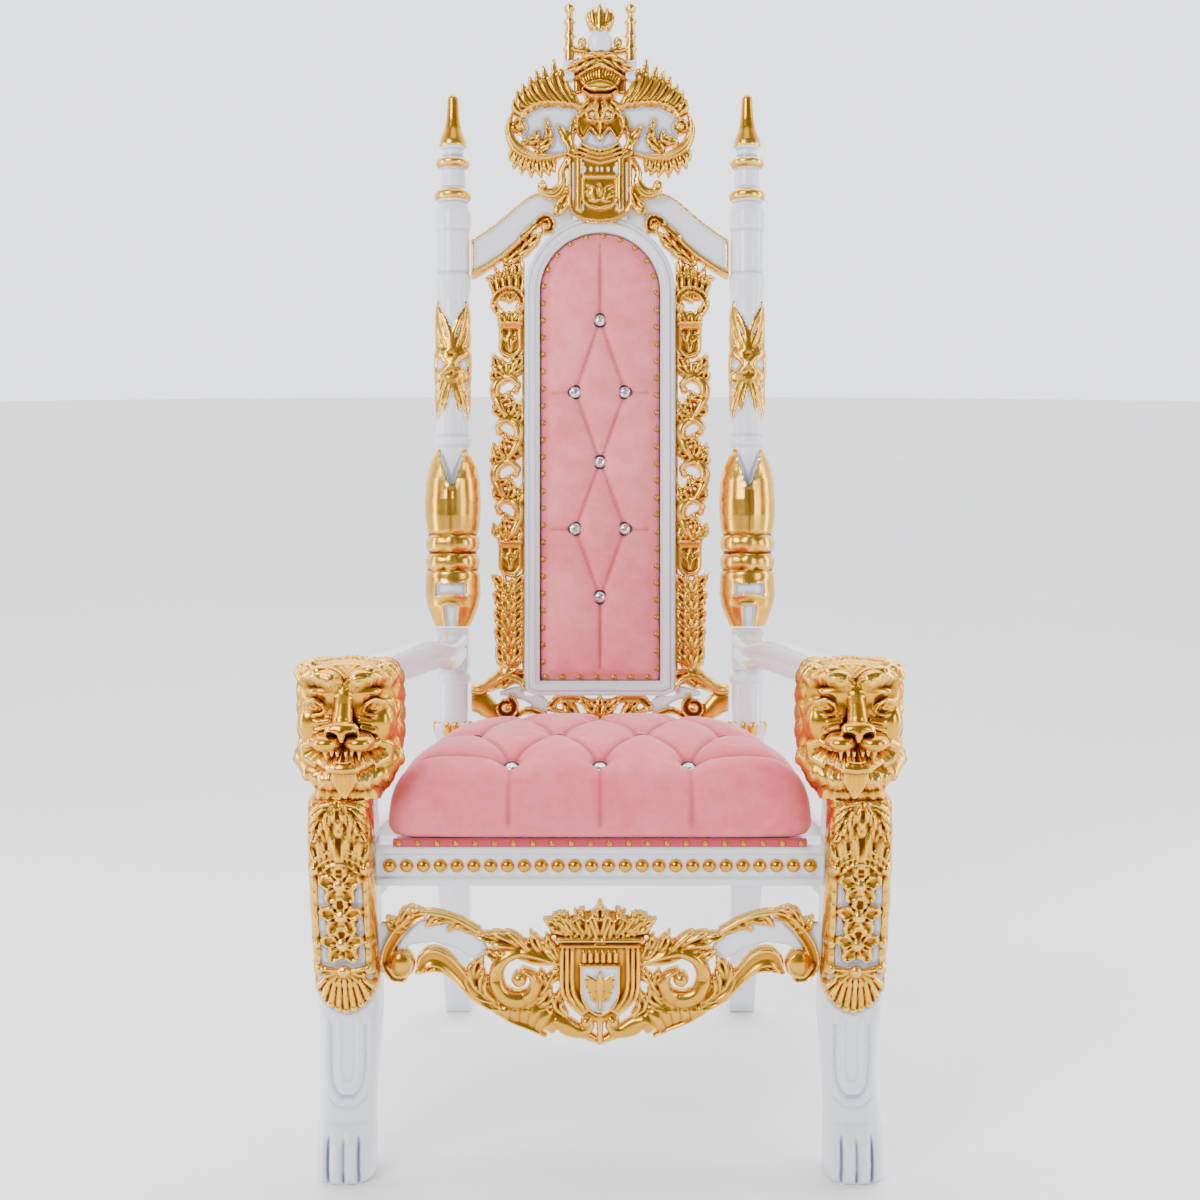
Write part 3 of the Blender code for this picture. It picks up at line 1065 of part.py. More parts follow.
def make_arm(side, way):
    """The arm, from the back of the lion's head to the post's square block."""
    clearance = -BLOCK_HALF - GAP
    block_top = raised(630)
    rear_top = TURN_AT + BLOCK_HALF * math.sin(RAKE) + block_top * math.cos(RAKE)
    stations = [(HEAD_REAR + GAP, ARM_FRONT_X, ARM_FRONT_TOP), (0.16, 0.325, ARM_FRONT_TOP - 0.001),
                (0.26, 0.310, ARM_FRONT_TOP - 0.010), (0.38, 0.288, ARM_FRONT_TOP - 0.022),
                (0.49, 0.270, rear_top + 0.002), (0.6, POST_X, rear_top - 0.002)]
    half, tall = ARM_WIDTH / 2, ARM_HEIGHT
    section = [(-half + 0.008, 0), (half - 0.008, 0), (half, -0.009), (half, -tall * 0.4),
               (half - 0.005, -tall * 0.53),
               (half, -tall * 0.66), (half - 0.004, -tall), (-half + 0.004, -tall), (-half, -tall * 0.66),
               (-half + 0.005, -tall * 0.53), (-half, -tall * 0.4), (-half, -0.009)]
    rings = []
    for number, (y, x, top) in enumerate(stations):
        ring = []
        for across, up in section:
            z = top + up
            depth = y
            if number == len(stations) - 1:
                depth = BACK_Y + (clearance + (z - TURN_AT) * math.sin(RAKE)) / math.cos(RAKE)
            ring.append((way * (x + across), depth, z))
        rings.append(ring if way < 0 else ring[::-1])
    return lofted(f"arm_{side}", rings, WHITE)


def make_front_rail():
    """The moulded rail under the cushion, between the legs."""
    half = LEG_X - LEG_HALF - GAP
    top, bottom = RAIL_TOP, RAIL_TOP - RAIL_HEIGHT
    face, lip = RAIL_FRONT, RAIL_FRONT - RAIL_STEP
    profile = [(face + RAIL_THICKNESS, bottom), (face + RAIL_THICKNESS, top), (lip, top),
               (lip, top - 0.0145),
               (face, top - 0.0175), (face, bottom + 0.0135), (lip + 0.001, bottom + 0.0115),
               (lip + 0.001, bottom)]
    rings = [[(x, y, z) for y, z in profile] for x in (-half, half)]
    return lofted("front_rail", rings, WHITE)


def make_rail_beads():
    """The strip of gilded beads along the front rail."""
    unit = 0.001
    half_span = LEG_X - LEG_HALF - BEAD_MARGIN
    c = Carving((-half_span / unit - 14, half_span / unit + 14), (-14, 14), 1.5)
    c.panel([(c.x[0] + 2, -4), (c.x[-1] - 2, -4), (c.x[-1] - 2, 4), (c.x[0] + 2, 4)], 1.2, 2.4, 1)
    for x in np.linspace(-half_span, half_span, BEADS) / unit:
        c.dome((x, 0), (BEAD_RADIUS / unit, BEAD_RADIUS / unit), 1.2, 9)
    places, faces = board_mesh(c)
    middle = RAIL_TOP - RAIL_HEIGHT / 2 - 0.002
    points = np.column_stack([places[:, 0] * unit, RAIL_FRONT - GAP - places[:, 2] * unit,
                              middle - places[:, 1] * unit])
    return reduced(solid("rail_beads", points, faces, GOLD), FACES_KEPT["rail_beads"])


def make_side_rail(side, way):
    """The rail from the front leg's back to the rear post."""
    top, bottom = RAIL_TOP, RAIL_TOP - SIDE_RAIL_HEIGHT
    front_x, rear_x = LEG_X - LEG_HALF + 0.006, POST_X - SIDE_RAIL_THICKNESS / 2
    rings = []
    for y, x in ((LEG_DEPTH + GAP, front_x), (BACK_Y - BLOCK_HALF - 0.0085, rear_x)):
        near, far = way * x, way * (x + SIDE_RAIL_THICKNESS)
        ring = [(near, y, bottom), (far, y, bottom), (far, y, top), (near, y, top)]
        rings.append(ring if way < 0 else ring[::-1])
    return lofted(f"side_rail_{side}", rings, WHITE)


def make_back_rail():
    half = POST_X - BLOCK_HALF - GAP
    rings = []
    for x in (-half, half):
        rings.append([(x, BACK_Y - 0.022, RAIL_TOP - RAIL_HEIGHT),
                      (x, BACK_Y + 0.014, RAIL_TOP - RAIL_HEIGHT),
                      (x, BACK_Y + 0.014, RAIL_TOP), (x, BACK_Y - 0.022, RAIL_TOP)])
    return lofted("back_rail", rings, WHITE)


def seat_outline(inset, count=24):
    """The cushion's outline, narrower to the rear, with rounded corners."""
    points = []
    for x, y in superellipse(1, 1, 7, count, math.pi / count):
        share = (y + 1) / 2
        half = CUSHION_HALF_FRONT + (CUSHION_HALF_REAR - CUSHION_HALF_FRONT) * share**1.5 - inset
        depth = (CUSHION_REAR - CUSHION_FRONT) / 2 - inset
        points.append((half * x, (CUSHION_FRONT + CUSHION_REAR) / 2 + depth * y))
    return points


def make_seat_deck():
    low = RAIL_TOP + GAP
    rings = [[(x, y, z) for x, y in seat_outline(0.016, 16)] for z in (low, low + DECK_THICKNESS)]
    return lofted("seat_deck", rings, CLOTH)


def crown(x, y, edge):
    """The cushion's height over the deck: full towards the front, falling to the rear."""
    rear = min(max((y - 0.24) / 0.30, 0), 1)
    return CUSHION_RISE * edge * (1 - 0.36 * rear**1.5)


def make_seat_cushion():
    """The buttoned seat cushion with its ten buttons."""
    base = RAIL_TOP + DECK_THICKNESS + 2 * GAP
    rings = []
    for inset, edge in ((0.004, 0), (0, 0.2), (0.001, 0.5), (0.010, 0.75), (0.032, 0.92), (0.070, 0.985),
                        (0.12, 1)):
        rings.append([(x, y, base + crown(x, y, edge)) for x, y in seat_outline(inset)])
    cushion = lofted("seat_cushion", rings, PINK)
    pits = []
    for number, (x, y) in enumerate(seat_button_places(), 1):
        lean = -0.45 if y < 0.12 else 0.0
        floor = base + crown(x, y, 1) - SEAT_PIT
        direction = Vector((0, lean, 1)).normalized()
        place = Vector((x, y, floor))
        pits.append((place + direction * 0.03, direction, BUTTON_RADIUS + PIT_CLEARANCE, 0.06))
        turn = direction.to_track_quat("Z", "Y").to_matrix().to_4x4()
        button(f"seat_button_{number}", place + direction * (GAP + BUTTON_HEIGHT / 2), turn)
    return drilled(cushion, pits)


def seat_button_places():
    rows = ((0.098, (-0.131, 0.0, 0.131)), (0.240, (-0.196, -0.0655, 0.0655, 0.196)),
            (0.382, (-0.131, 0.0, 0.131)))
    return [(x, y) for y, xs in rows for x in xs]


def make_apron():
    """The openwork apron between the front legs, below the rail."""
    inner = min(middle - half for middle, half, *rest in
                (spread(LEG_STATIONS, z) for z in np.linspace(APRON_TOP - 0.12, APRON_TOP, 9)))
    half = inner - APRON_CLEARANCE
    across = half / APRON_DRAWN_HALF
    c = Carving((0, APRON_DRAWN_HALF + 3), (898, 1050), BOARD_CELL)
    carve_apron(c)
    c.panel([(209, 925), (230, 925), (230, 975), (211, 975)], 5, 9, 2, gilt=0)
    c.inside = np.minimum(c.inside, APRON_DRAWN_HALF - c.x[None, :])
    places, faces = board_mesh(c.mirrored())
    points = np.column_stack([places[:, 0] * across, APRON_REAR - places[:, 2] * APRON_DEPTH,
                              APRON_TOP - (places[:, 1] - APRON_DRAWN_TOP) * APRON_DOWN])
    return reduced(solid("apron", points, faces, GOLD), FACES_KEPT["apron"])


def set_on_origin():
    """Moves everything so that the origin is the middle of the footprint."""
    bpy.context.view_layer.update()
    corners = []
    for made in bpy.data.objects:
        if made.type == "MESH" and not made.hide_render:
            shape = made.evaluated_get(bpy.context.evaluated_depsgraph_get())
            corners += [shape.matrix_world @ vertex.co for vertex in shape.data.vertices]
    corners = np.array(corners)
    shift = (corners.min(0) + corners.max(0)) / 2
    shift[2] = corners[:, 2].min()
    for made in bpy.data.objects:
        if made.parent is None:
            made.location = made.location - Vector(shift)


make_back_frame()
make_back_cover()
make_back_pad()
make_top_rail()
make_crest()
make_fretwork()
make_lower_rail()
for side_name, side_way in (("left", -1), ("right", 1)):
    make_rear_post(side_name, side_way)
    make_front_leg(side_name, side_way)
    make_lion_head(side_name, side_way)
    make_arm(side_name, side_way)
    make_side_rail(side_name, side_way)
make_front_rail()
make_rail_beads()
make_back_rail()
make_seat_deck()
make_seat_cushion()
make_apron()
set_on_origin()
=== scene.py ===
# %% [markdown]
# # A carved lion throne
# The chair is a moulding-carved hardwood frame, sprayed with white lacquer and picked out in gold leaf. A
# tall raked back holds a narrow buttoned pad, lion heads close the arms, and the legs end in paws. The
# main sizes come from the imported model, which is loaded first; what is made here gives it carving, cloth
# and finish.
# %% Load the frame
import math

import bmesh
import bpy
import numpy as np
from mathutils import Matrix, Vector


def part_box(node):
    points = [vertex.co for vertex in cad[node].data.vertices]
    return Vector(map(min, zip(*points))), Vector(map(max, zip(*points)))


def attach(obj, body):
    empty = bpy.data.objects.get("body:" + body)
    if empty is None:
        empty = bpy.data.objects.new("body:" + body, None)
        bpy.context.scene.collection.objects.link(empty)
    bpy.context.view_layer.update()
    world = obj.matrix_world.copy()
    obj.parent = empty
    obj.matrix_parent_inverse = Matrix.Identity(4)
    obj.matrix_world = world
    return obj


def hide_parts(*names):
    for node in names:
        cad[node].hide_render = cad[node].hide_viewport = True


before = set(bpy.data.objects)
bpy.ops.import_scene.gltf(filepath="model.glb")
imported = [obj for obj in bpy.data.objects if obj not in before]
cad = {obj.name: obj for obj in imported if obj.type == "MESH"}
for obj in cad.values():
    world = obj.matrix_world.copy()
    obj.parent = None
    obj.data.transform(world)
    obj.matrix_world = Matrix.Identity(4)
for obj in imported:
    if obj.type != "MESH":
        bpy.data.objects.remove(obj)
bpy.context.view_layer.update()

print(len(cad), "solids in the frame")

# %% [markdown]
# ## Where the back leans
# The back leans nine degrees about a line just above the seat. Every part of it is drawn upright, on a
# sheet with its own units, and then put on the lean, so a carver's drawing can be used as it is.
# %% The lean and the drawings' units
GAP = 0.0003
DEPTH_SHIFT = -0.3842                 # from the front feet to the middle of the footprint
RAKE = math.radians(9)
TURN_AT = 0.5
BACK_Y = 0.616 + DEPTH_SHIFT
POST_X = 0.2632
BACK_ACROSS = POST_X / 147.0
BACK_DOWN = 1.3374 / 747.0
DRAWN_TURN = 754.9
BACK_RELIEF = 0.00179
CREST_RELIEF = 0.0014
ON_THE_LEAN = Matrix.Translation((0, BACK_Y, TURN_AT)) @ Matrix.Rotation(-RAKE, 4, "X")
SIDES = (("left", -1), ("right", 1))

# %% Choosing and finishing objects
def deselected():
    """Leaves edit mode and selects nothing."""
    if bpy.context.object and bpy.context.object.mode != "OBJECT":
        bpy.ops.object.mode_set(mode="OBJECT")
    bpy.ops.object.select_all(action="DESELECT")


def active(made):
    deselected()
    made.select_set(True)
    bpy.context.view_layer.objects.active = made
    return made


def applied(made):
    """Fixes each modifier in the mesh."""
    active(made)
    for modifier in list(made.modifiers):
        bpy.ops.object.modifier_apply(modifier=modifier.name)
    return made


def smooth(made, angle=40):
    active(made)
    bpy.ops.object.shade_smooth_by_angle(angle=math.radians(angle))
    return made


def settled(made, matrix=None):
    """Puts the object's place into its mesh, leaning first if a matrix is given."""
    if matrix is not None:
        made.matrix_world = matrix @ made.matrix_world
    bpy.context.view_layer.update()
    made.data.transform(made.matrix_world)
    made.matrix_world = Matrix.Identity(4)
    return made


def outward(made, merge=True):
    """Turns every face outwards, and first merges doubles."""
    active(made)
    bpy.ops.object.mode_set(mode="EDIT")
    bpy.ops.mesh.select_all(action="SELECT")
    if merge:
        bpy.ops.mesh.remove_doubles(threshold=0.00002)
    bpy.ops.mesh.normals_make_consistent(inside=False)
    bpy.ops.object.mode_set(mode="OBJECT")
    return made

# %% Meshes from arrays
def from_arrays(name, points, faces):
    """A mesh whose shape was worked out with arrays."""
    mesh = bpy.data.meshes.new(name)
    mesh.from_pydata(np.asarray(points, float).tolist(), [], faces)
    mesh.update()
    made = bpy.data.objects.new(name, mesh)
    bpy.context.scene.collection.objects.link(made)
    return made


def skin(levels, count, flipped=False):
    """Quads between rings of as many points each."""
    first = np.arange(levels - 1)[:, None] * count + np.arange(count)[None, :]
    second = np.arange(levels - 1)[:, None] * count + np.roll(np.arange(count), -1)[None, :]
    corners = [first, second, second + count, first + count]
    if flipped:
        corners = [first, first + count, second + count, second]
    return np.stack(corners, -1).reshape(-1, 4).tolist()


def leaned(points):
    """Points drawn upright, put on the lean."""
    return points @ np.array(ON_THE_LEAN)[:3, :3].T + np.array(ON_THE_LEAN)[:3, 3]


def in_world(x, y, z):
    return tuple(ON_THE_LEAN @ Vector((x, y, z)))


def facing_matrix(place, direction):
    """Turns a part that was made facing up, and puts it in its place."""
    return Matrix.Translation(place) @ Vector(direction).to_track_quat("Z", "Y").to_matrix().to_4x4()

# %% Copies, joints and eased edges
def joined(name, copies):
    """One object from several."""
    deselected()
    for copy in copies:
        copy.select_set(True)
    bpy.context.view_layer.objects.active = copies[0]
    bpy.ops.object.join()
    made = bpy.context.object
    made.name = name
    return settled(made)


def duplicate(made, matrix):
    copy = made.copy()
    copy.data = made.data.copy()
    bpy.context.scene.collection.objects.link(copy)
    copy.matrix_world = matrix
    return copy


def eased_edges(made, width, segments, angle):
    edge = made.modifiers.new("eased edges", "BEVEL")
    edge.width = width
    edge.segments = segments
    edge.limit_method = "ANGLE"
    edge.angle_limit = math.radians(angle)
    return applied(made)

# %% Marks that the materials read
def read(made, field):
    values = np.empty(len(made.data.vertices) * 3)
    made.data.vertices.foreach_get(field, values)
    return values.reshape(-1, 3)


def places_of(made):
    return read(made, "co")


def normals_of(made):
    return read(made, "normal")


def moved(made, points):
    made.data.vertices.foreach_set("co", np.asarray(points, float).ravel())
    made.data.update()
    return made


def note(made, name, values):
    """Keeps one number for each point of a mesh, for its material to read."""
    attribute = made.data.attributes.get(name) or made.data.attributes.new(name, "FLOAT", "POINT")
    attribute.data.foreach_set("value", np.asarray(values, np.float32))


# The materials paint shade where this mark is low and, on gold, highlight where it is high.
def note_hollows(made, passes=14, scale=0.0016):
    """Marks how deep each point lies below its surroundings: 0.5 is level, 1 a ridge, 0 a hollow."""
    points = places_of(made)
    edges = np.empty(len(made.data.edges) * 2, int)
    made.data.edges.foreach_get("vertices", edges)
    a, b = edges.reshape(-1, 2).T
    count = np.bincount(a, minlength=len(points)) + np.bincount(b, minlength=len(points))
    around = points.copy()
    for step in range(passes):
        total = np.zeros_like(around)
        for axis in range(3):
            total[:, axis] = (np.bincount(a, around[b, axis], len(points))
                              + np.bincount(b, around[a, axis], len(points)))
        around = 0.5 * around + 0.5 * total / np.maximum(count, 1)[:, None]
    rise = ((points - around) * normals_of(made)).sum(1)
    note(made, "hollow", np.clip(0.5 + 0.5 * rise / scale, 0, 1))

# %% [markdown]
# ## Shared effects
# Gold leaf, lacquer and velvet all share two things: the surface is never quite even, and shade is painted
# into the hollows, so they come out darker than the ridges, where the gold also gets a painted highlight.
# Each of these effects is one node group, placed in the materials that use it with its own values.
# %% Nodes in few words
def new_group(name, inputs, outputs):
    group = bpy.data.node_groups.new(name, "ShaderNodeTree")
    for label, kind, value in inputs:
        socket = group.interface.new_socket(label, in_out="INPUT", socket_type=kind)
        socket.default_value = value
    for label, kind in outputs:
        group.interface.new_socket(label, in_out="OUTPUT", socket_type=kind)
    ends = group.nodes.new("NodeGroupInput"), group.nodes.new("NodeGroupOutput")
    return group, ends[0], ends[1]


def add(tree, kind, values=None, **settings):
    """A node with its settings, the values of its sockets, and links where a value is a socket."""
    node = tree.nodes.new(kind)
    for label, value in settings.items():
        setattr(node, label, value)
    for label, value in (values or {}).items():
        if isinstance(value, bpy.types.NodeSocket):
            tree.links.new(value, node.inputs[label])
        else:
            node.inputs[label].default_value = value
    return node


def ramp(tree, factor, stops):
    """A colour ramp through the given stops."""
    node = add(tree, "ShaderNodeValToRGB", {"Fac": factor})
    while len(node.color_ramp.elements) < len(stops):
        node.color_ramp.elements.new(1.0)
    for element, (place, colour) in zip(node.color_ramp.elements, stops):
        element.position = place
        element.color = (*colour, 1.0)
    return node.outputs["Color"]


def spread(tree, value, low, high, to_low=0.0, to_high=1.0):
    """Maps one range of values onto another."""
    return add(tree, "ShaderNodeMapRange", {"Value": value, "From Min": low, "From Max": high,
                                            "To Min": to_low, "To Max": to_high}).outputs["Result"]

# %% The two groups
def mottle_group():
    """Soft clouds and fine grain on the object's own coordinates."""
    group, start, end = new_group(
        "mottle", [("Cloud Size", "NodeSocketFloat", 12.0), ("Grain Size", "NodeSocketFloat", 400.0)],
        [("Cloud", "NodeSocketFloat"), ("Grain", "NodeSocketFloat")])
    where = add(group, "ShaderNodeTexCoord").outputs["Object"]
    cloud = add(group, "ShaderNodeTexNoise", {"Vector": where, "Scale": start.outputs["Cloud Size"],
                                              "Detail": 3.0, "Roughness": 0.55})
    grain = add(group, "ShaderNodeTexNoise", {"Vector": where, "Scale": start.outputs["Grain Size"],
                                              "Detail": 2.0, "Roughness": 0.6})
    group.links.new(cloud.outputs["Fac"], end.inputs["Cloud"])
    group.links.new(grain.outputs["Fac"], end.inputs["Grain"])
    return group


def shade_and_highlight_group():
    """Reads the mark for hollows and ridges, and shapes it into two masks: where shade is painted, and where
    highlight is painted.
    """
    group, start, end = new_group(
        "painted_shade_and_highlight", [("Depth", "NodeSocketFloat", 1.0)],
        [("Hollow", "NodeSocketFloat"), ("Ridge", "NodeSocketFloat")])
    mark = add(group, "ShaderNodeAttribute", attribute_name="hollow").outputs["Fac"]
    # Hollow is the mask for painted shade, Ridge the mask for painted highlight.
    hollow = spread(group, mark, 0.5, 0.05)
    deeper = add(group, "ShaderNodeMath", {0: hollow, 1: start.outputs["Depth"]},
                 operation="MULTIPLY", use_clamp=True)
    group.links.new(deeper.outputs[0], end.inputs["Hollow"])
    group.links.new(spread(group, mark, 0.55, 0.95), end.inputs["Ridge"])
    return group


MOTTLE = mottle_group()
SHADE_AND_HIGHLIGHT = shade_and_highlight_group()
print("node groups:", [group.name for group in bpy.data.node_groups])

# %% Parts that several materials share
def new_material(name):
    made = bpy.data.materials.new(name)
    made.use_nodes = True
    tree = made.node_tree
    return made, tree, tree.nodes["Principled BSDF"]


def mixed(tree, factor, first, second):
    """A mix of two colours, which may be sockets or plain colours."""
    node = add(tree, "ShaderNodeMix", data_type="RGBA")
    for socket, value in ((node.inputs[0], factor), (node.inputs[6], first), (node.inputs[7], second)):
        if isinstance(value, bpy.types.NodeSocket):
            tree.links.new(value, socket)
        else:
            socket.default_value = value
    return node.outputs[2]


def mottled(tree, cloud=12.0, grain=400.0):
    """The outputs of the mottle group, with its two sizes."""
    node = add(tree, "ShaderNodeGroup", node_tree=MOTTLE)
    node.inputs["Cloud Size"].default_value = cloud
    node.inputs["Grain Size"].default_value = grain
    return node.outputs


def finished(tree, shader, colour, roughness, **others):
    """Links the base colour and sets plain values; an underscore stands for a space in a socket's name."""
    tree.links.new(colour, shader.inputs["Base Color"])
    shader.inputs["Roughness"].default_value = roughness
    for label, value in others.items():
        shader.inputs[label.replace("_", " ")].default_value = value


def bumped(tree, shader, height, strength, distance):
    bump = add(tree, "ShaderNodeBump", {"Height": height, "Strength": strength, "Distance": distance})
    tree.links.new(bump.outputs["Normal"], shader.inputs["Normal"])

# %% [markdown]
# ## Gold leaf and white lacquer
# The carving is gilded and burnished, with shade painted warm brown into its hollows and highlight painted
# pale onto its ridges, and its white grounds are glossy lacquer with painted blue-grey shade in their
# hollows.
# A carved board carries both, so one material reads the mark that says where the gold lies.
# %% Colours of gold and lacquer
# Ridges get a painted highlight and hollows a painted shade; the lacquer's hollows get painted shade too.
GOLD_PAINTED_HIGHLIGHT = (0.95, 0.60, 0.13)
GOLD_LEVEL = (0.72, 0.355, 0.028)
GOLD_PAINTED_SHADE = (0.13, 0.032, 0.002)
GOLD_CLOUD = (0.55, 0.21, 0.010)
LACQUER = (0.80, 0.825, 0.88)
LACQUER_CLOUD = (0.77, 0.795, 0.86)
LACQUER_PAINTED_SHADE = (0.40, 0.44, 0.55)

# %% The gold leaf
def gold_colour(tree):
    """The leaf's colour, with painted shade in hollows and painted highlight on ridges, faint clouds, and
    its roughness.
    """
    hollows = add(tree, "ShaderNodeGroup", node_tree=SHADE_AND_HIGHLIGHT)
    hollows.inputs["Depth"].default_value = 1.15
    mottle = mottled(tree, 26.0, 900.0)
    level = mixed(tree, hollows.outputs["Ridge"], (*GOLD_LEVEL, 1), (*GOLD_PAINTED_HIGHLIGHT, 1))
    clouded = mixed(tree, ramp(tree, mottle["Cloud"], [(0.35, (0, 0, 0)), (0.75, (0.35,) * 3)]),
                    level, (*GOLD_CLOUD, 1))
    colour = mixed(tree, hollows.outputs["Hollow"], clouded, (*GOLD_PAINTED_SHADE, 1))
    rough = spread(tree, mottle["Cloud"], 0.3, 0.7, 0.20, 0.30)
    rougher = add(tree, "ShaderNodeMath", {0: hollows.outputs["Hollow"], 1: 0.22, 2: rough},
                  operation="MULTIPLY_ADD")
    return colour, rougher.outputs[0], mottle["Grain"], hollows.outputs["Hollow"]


def gold_material():
    made, tree, shader = new_material("gold_leaf")
    colour, rough, grain, hollow = gold_colour(tree)
    finished(tree, shader, colour, 0.25, Metallic=1.0)
    tree.links.new(rough, shader.inputs["Roughness"])
    bumped(tree, shader, grain, 0.12, 0.0004)
    return made

# %% The lacquer, and the two together
def lacquer_material():
    made, tree, shader = new_material("white_lacquer")
    mottle = mottled(tree, 6.0, 160.0)
    colour = ramp(tree, mottle["Cloud"], [(0.3, LACQUER_CLOUD), (0.7, LACQUER)])
    finished(tree, shader, colour, 0.2, Coat_Weight=0.4, Coat_Roughness=0.08)
    tree.links.new(spread(tree, mottle["Cloud"], 0.3, 0.7, 0.16, 0.24), shader.inputs["Roughness"])
    bumped(tree, shader, mottle["Grain"], 0.05, 0.0006)
    return made


def carved_material():
    """Gold leaf where the mark gilt is 1, and lacquer where it is 0."""
    made, tree, shader = new_material("gilt_and_lacquer")
    colour, rough, grain, hollow = gold_colour(tree)
    mark = add(tree, "ShaderNodeAttribute", attribute_name="gilt").outputs["Fac"]
    gilt = spread(tree, mark, 0.42, 0.58)
    # Painted blue-grey shade in the lacquer's hollows.
    white = mixed(tree, hollow, (*LACQUER, 1), (*LACQUER_PAINTED_SHADE, 1))
    tree.links.new(mixed(tree, gilt, white, colour), shader.inputs["Base Color"])
    tree.links.new(gilt, shader.inputs["Metallic"])
    both = add(tree, "ShaderNodeMix", {0: gilt, 2: 0.2, 3: rough}, data_type="FLOAT")
    tree.links.new(both.outputs[0], shader.inputs["Roughness"])
    bumped(tree, shader, grain, 0.12, 0.0004)
    return made


GOLD = gold_material()
WHITE = lacquer_material()
CARVED = carved_material()

# %% Finishing a piece
def dressed(made, look, slot, *nodes):
    """Gives a finished piece its material, hangs it on the root body and hides the solids it stands for; the
    slot is not used.
    """
    made.data.materials.clear()
    made.data.materials.append(look)
    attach(made, "root")
    if nodes:
        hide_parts(*nodes)
    print(made.name, len(made.data.polygons), "faces")
    return made

# %% [markdown]
# ## Carving
# A carver cuts a board by strokes: a scroll, a leaf, a bead, each with an edge, a crown and a depth. The
# same strokes are laid here on a fine grid, which keeps for each place how far inside the outline it is,
# how high it stands and whether it is gilded. Operators for cutting and extruding can't give relief that
# runs and overlaps like this, so the carved boards are made from arrays and only their edges are finished
# with modifiers.
# %% The carver's strokes
def smooth_curve(points, steps=7):
    """A curve through the points, with the widths or other values beside them, as a Catmull-Rom spline."""
    knots = np.asarray(points, float)
    knots = np.vstack([2 * knots[0] - knots[1], knots, 2 * knots[-1] - knots[-2]])
    t = np.linspace(0, 1, steps, endpoint=False)[:, None]
    spans = []
    for a, b, c, d in zip(knots, knots[1:], knots[2:], knots[3:]):
        spans.append(0.5 * (2 * b + (c - a) * t + (2 * a - 5 * b + 4 * c - d) * t**2
                            + (3 * b - a - 3 * c + d) * t**3))
    return np.vstack(spans + [knots[-2:-1]])


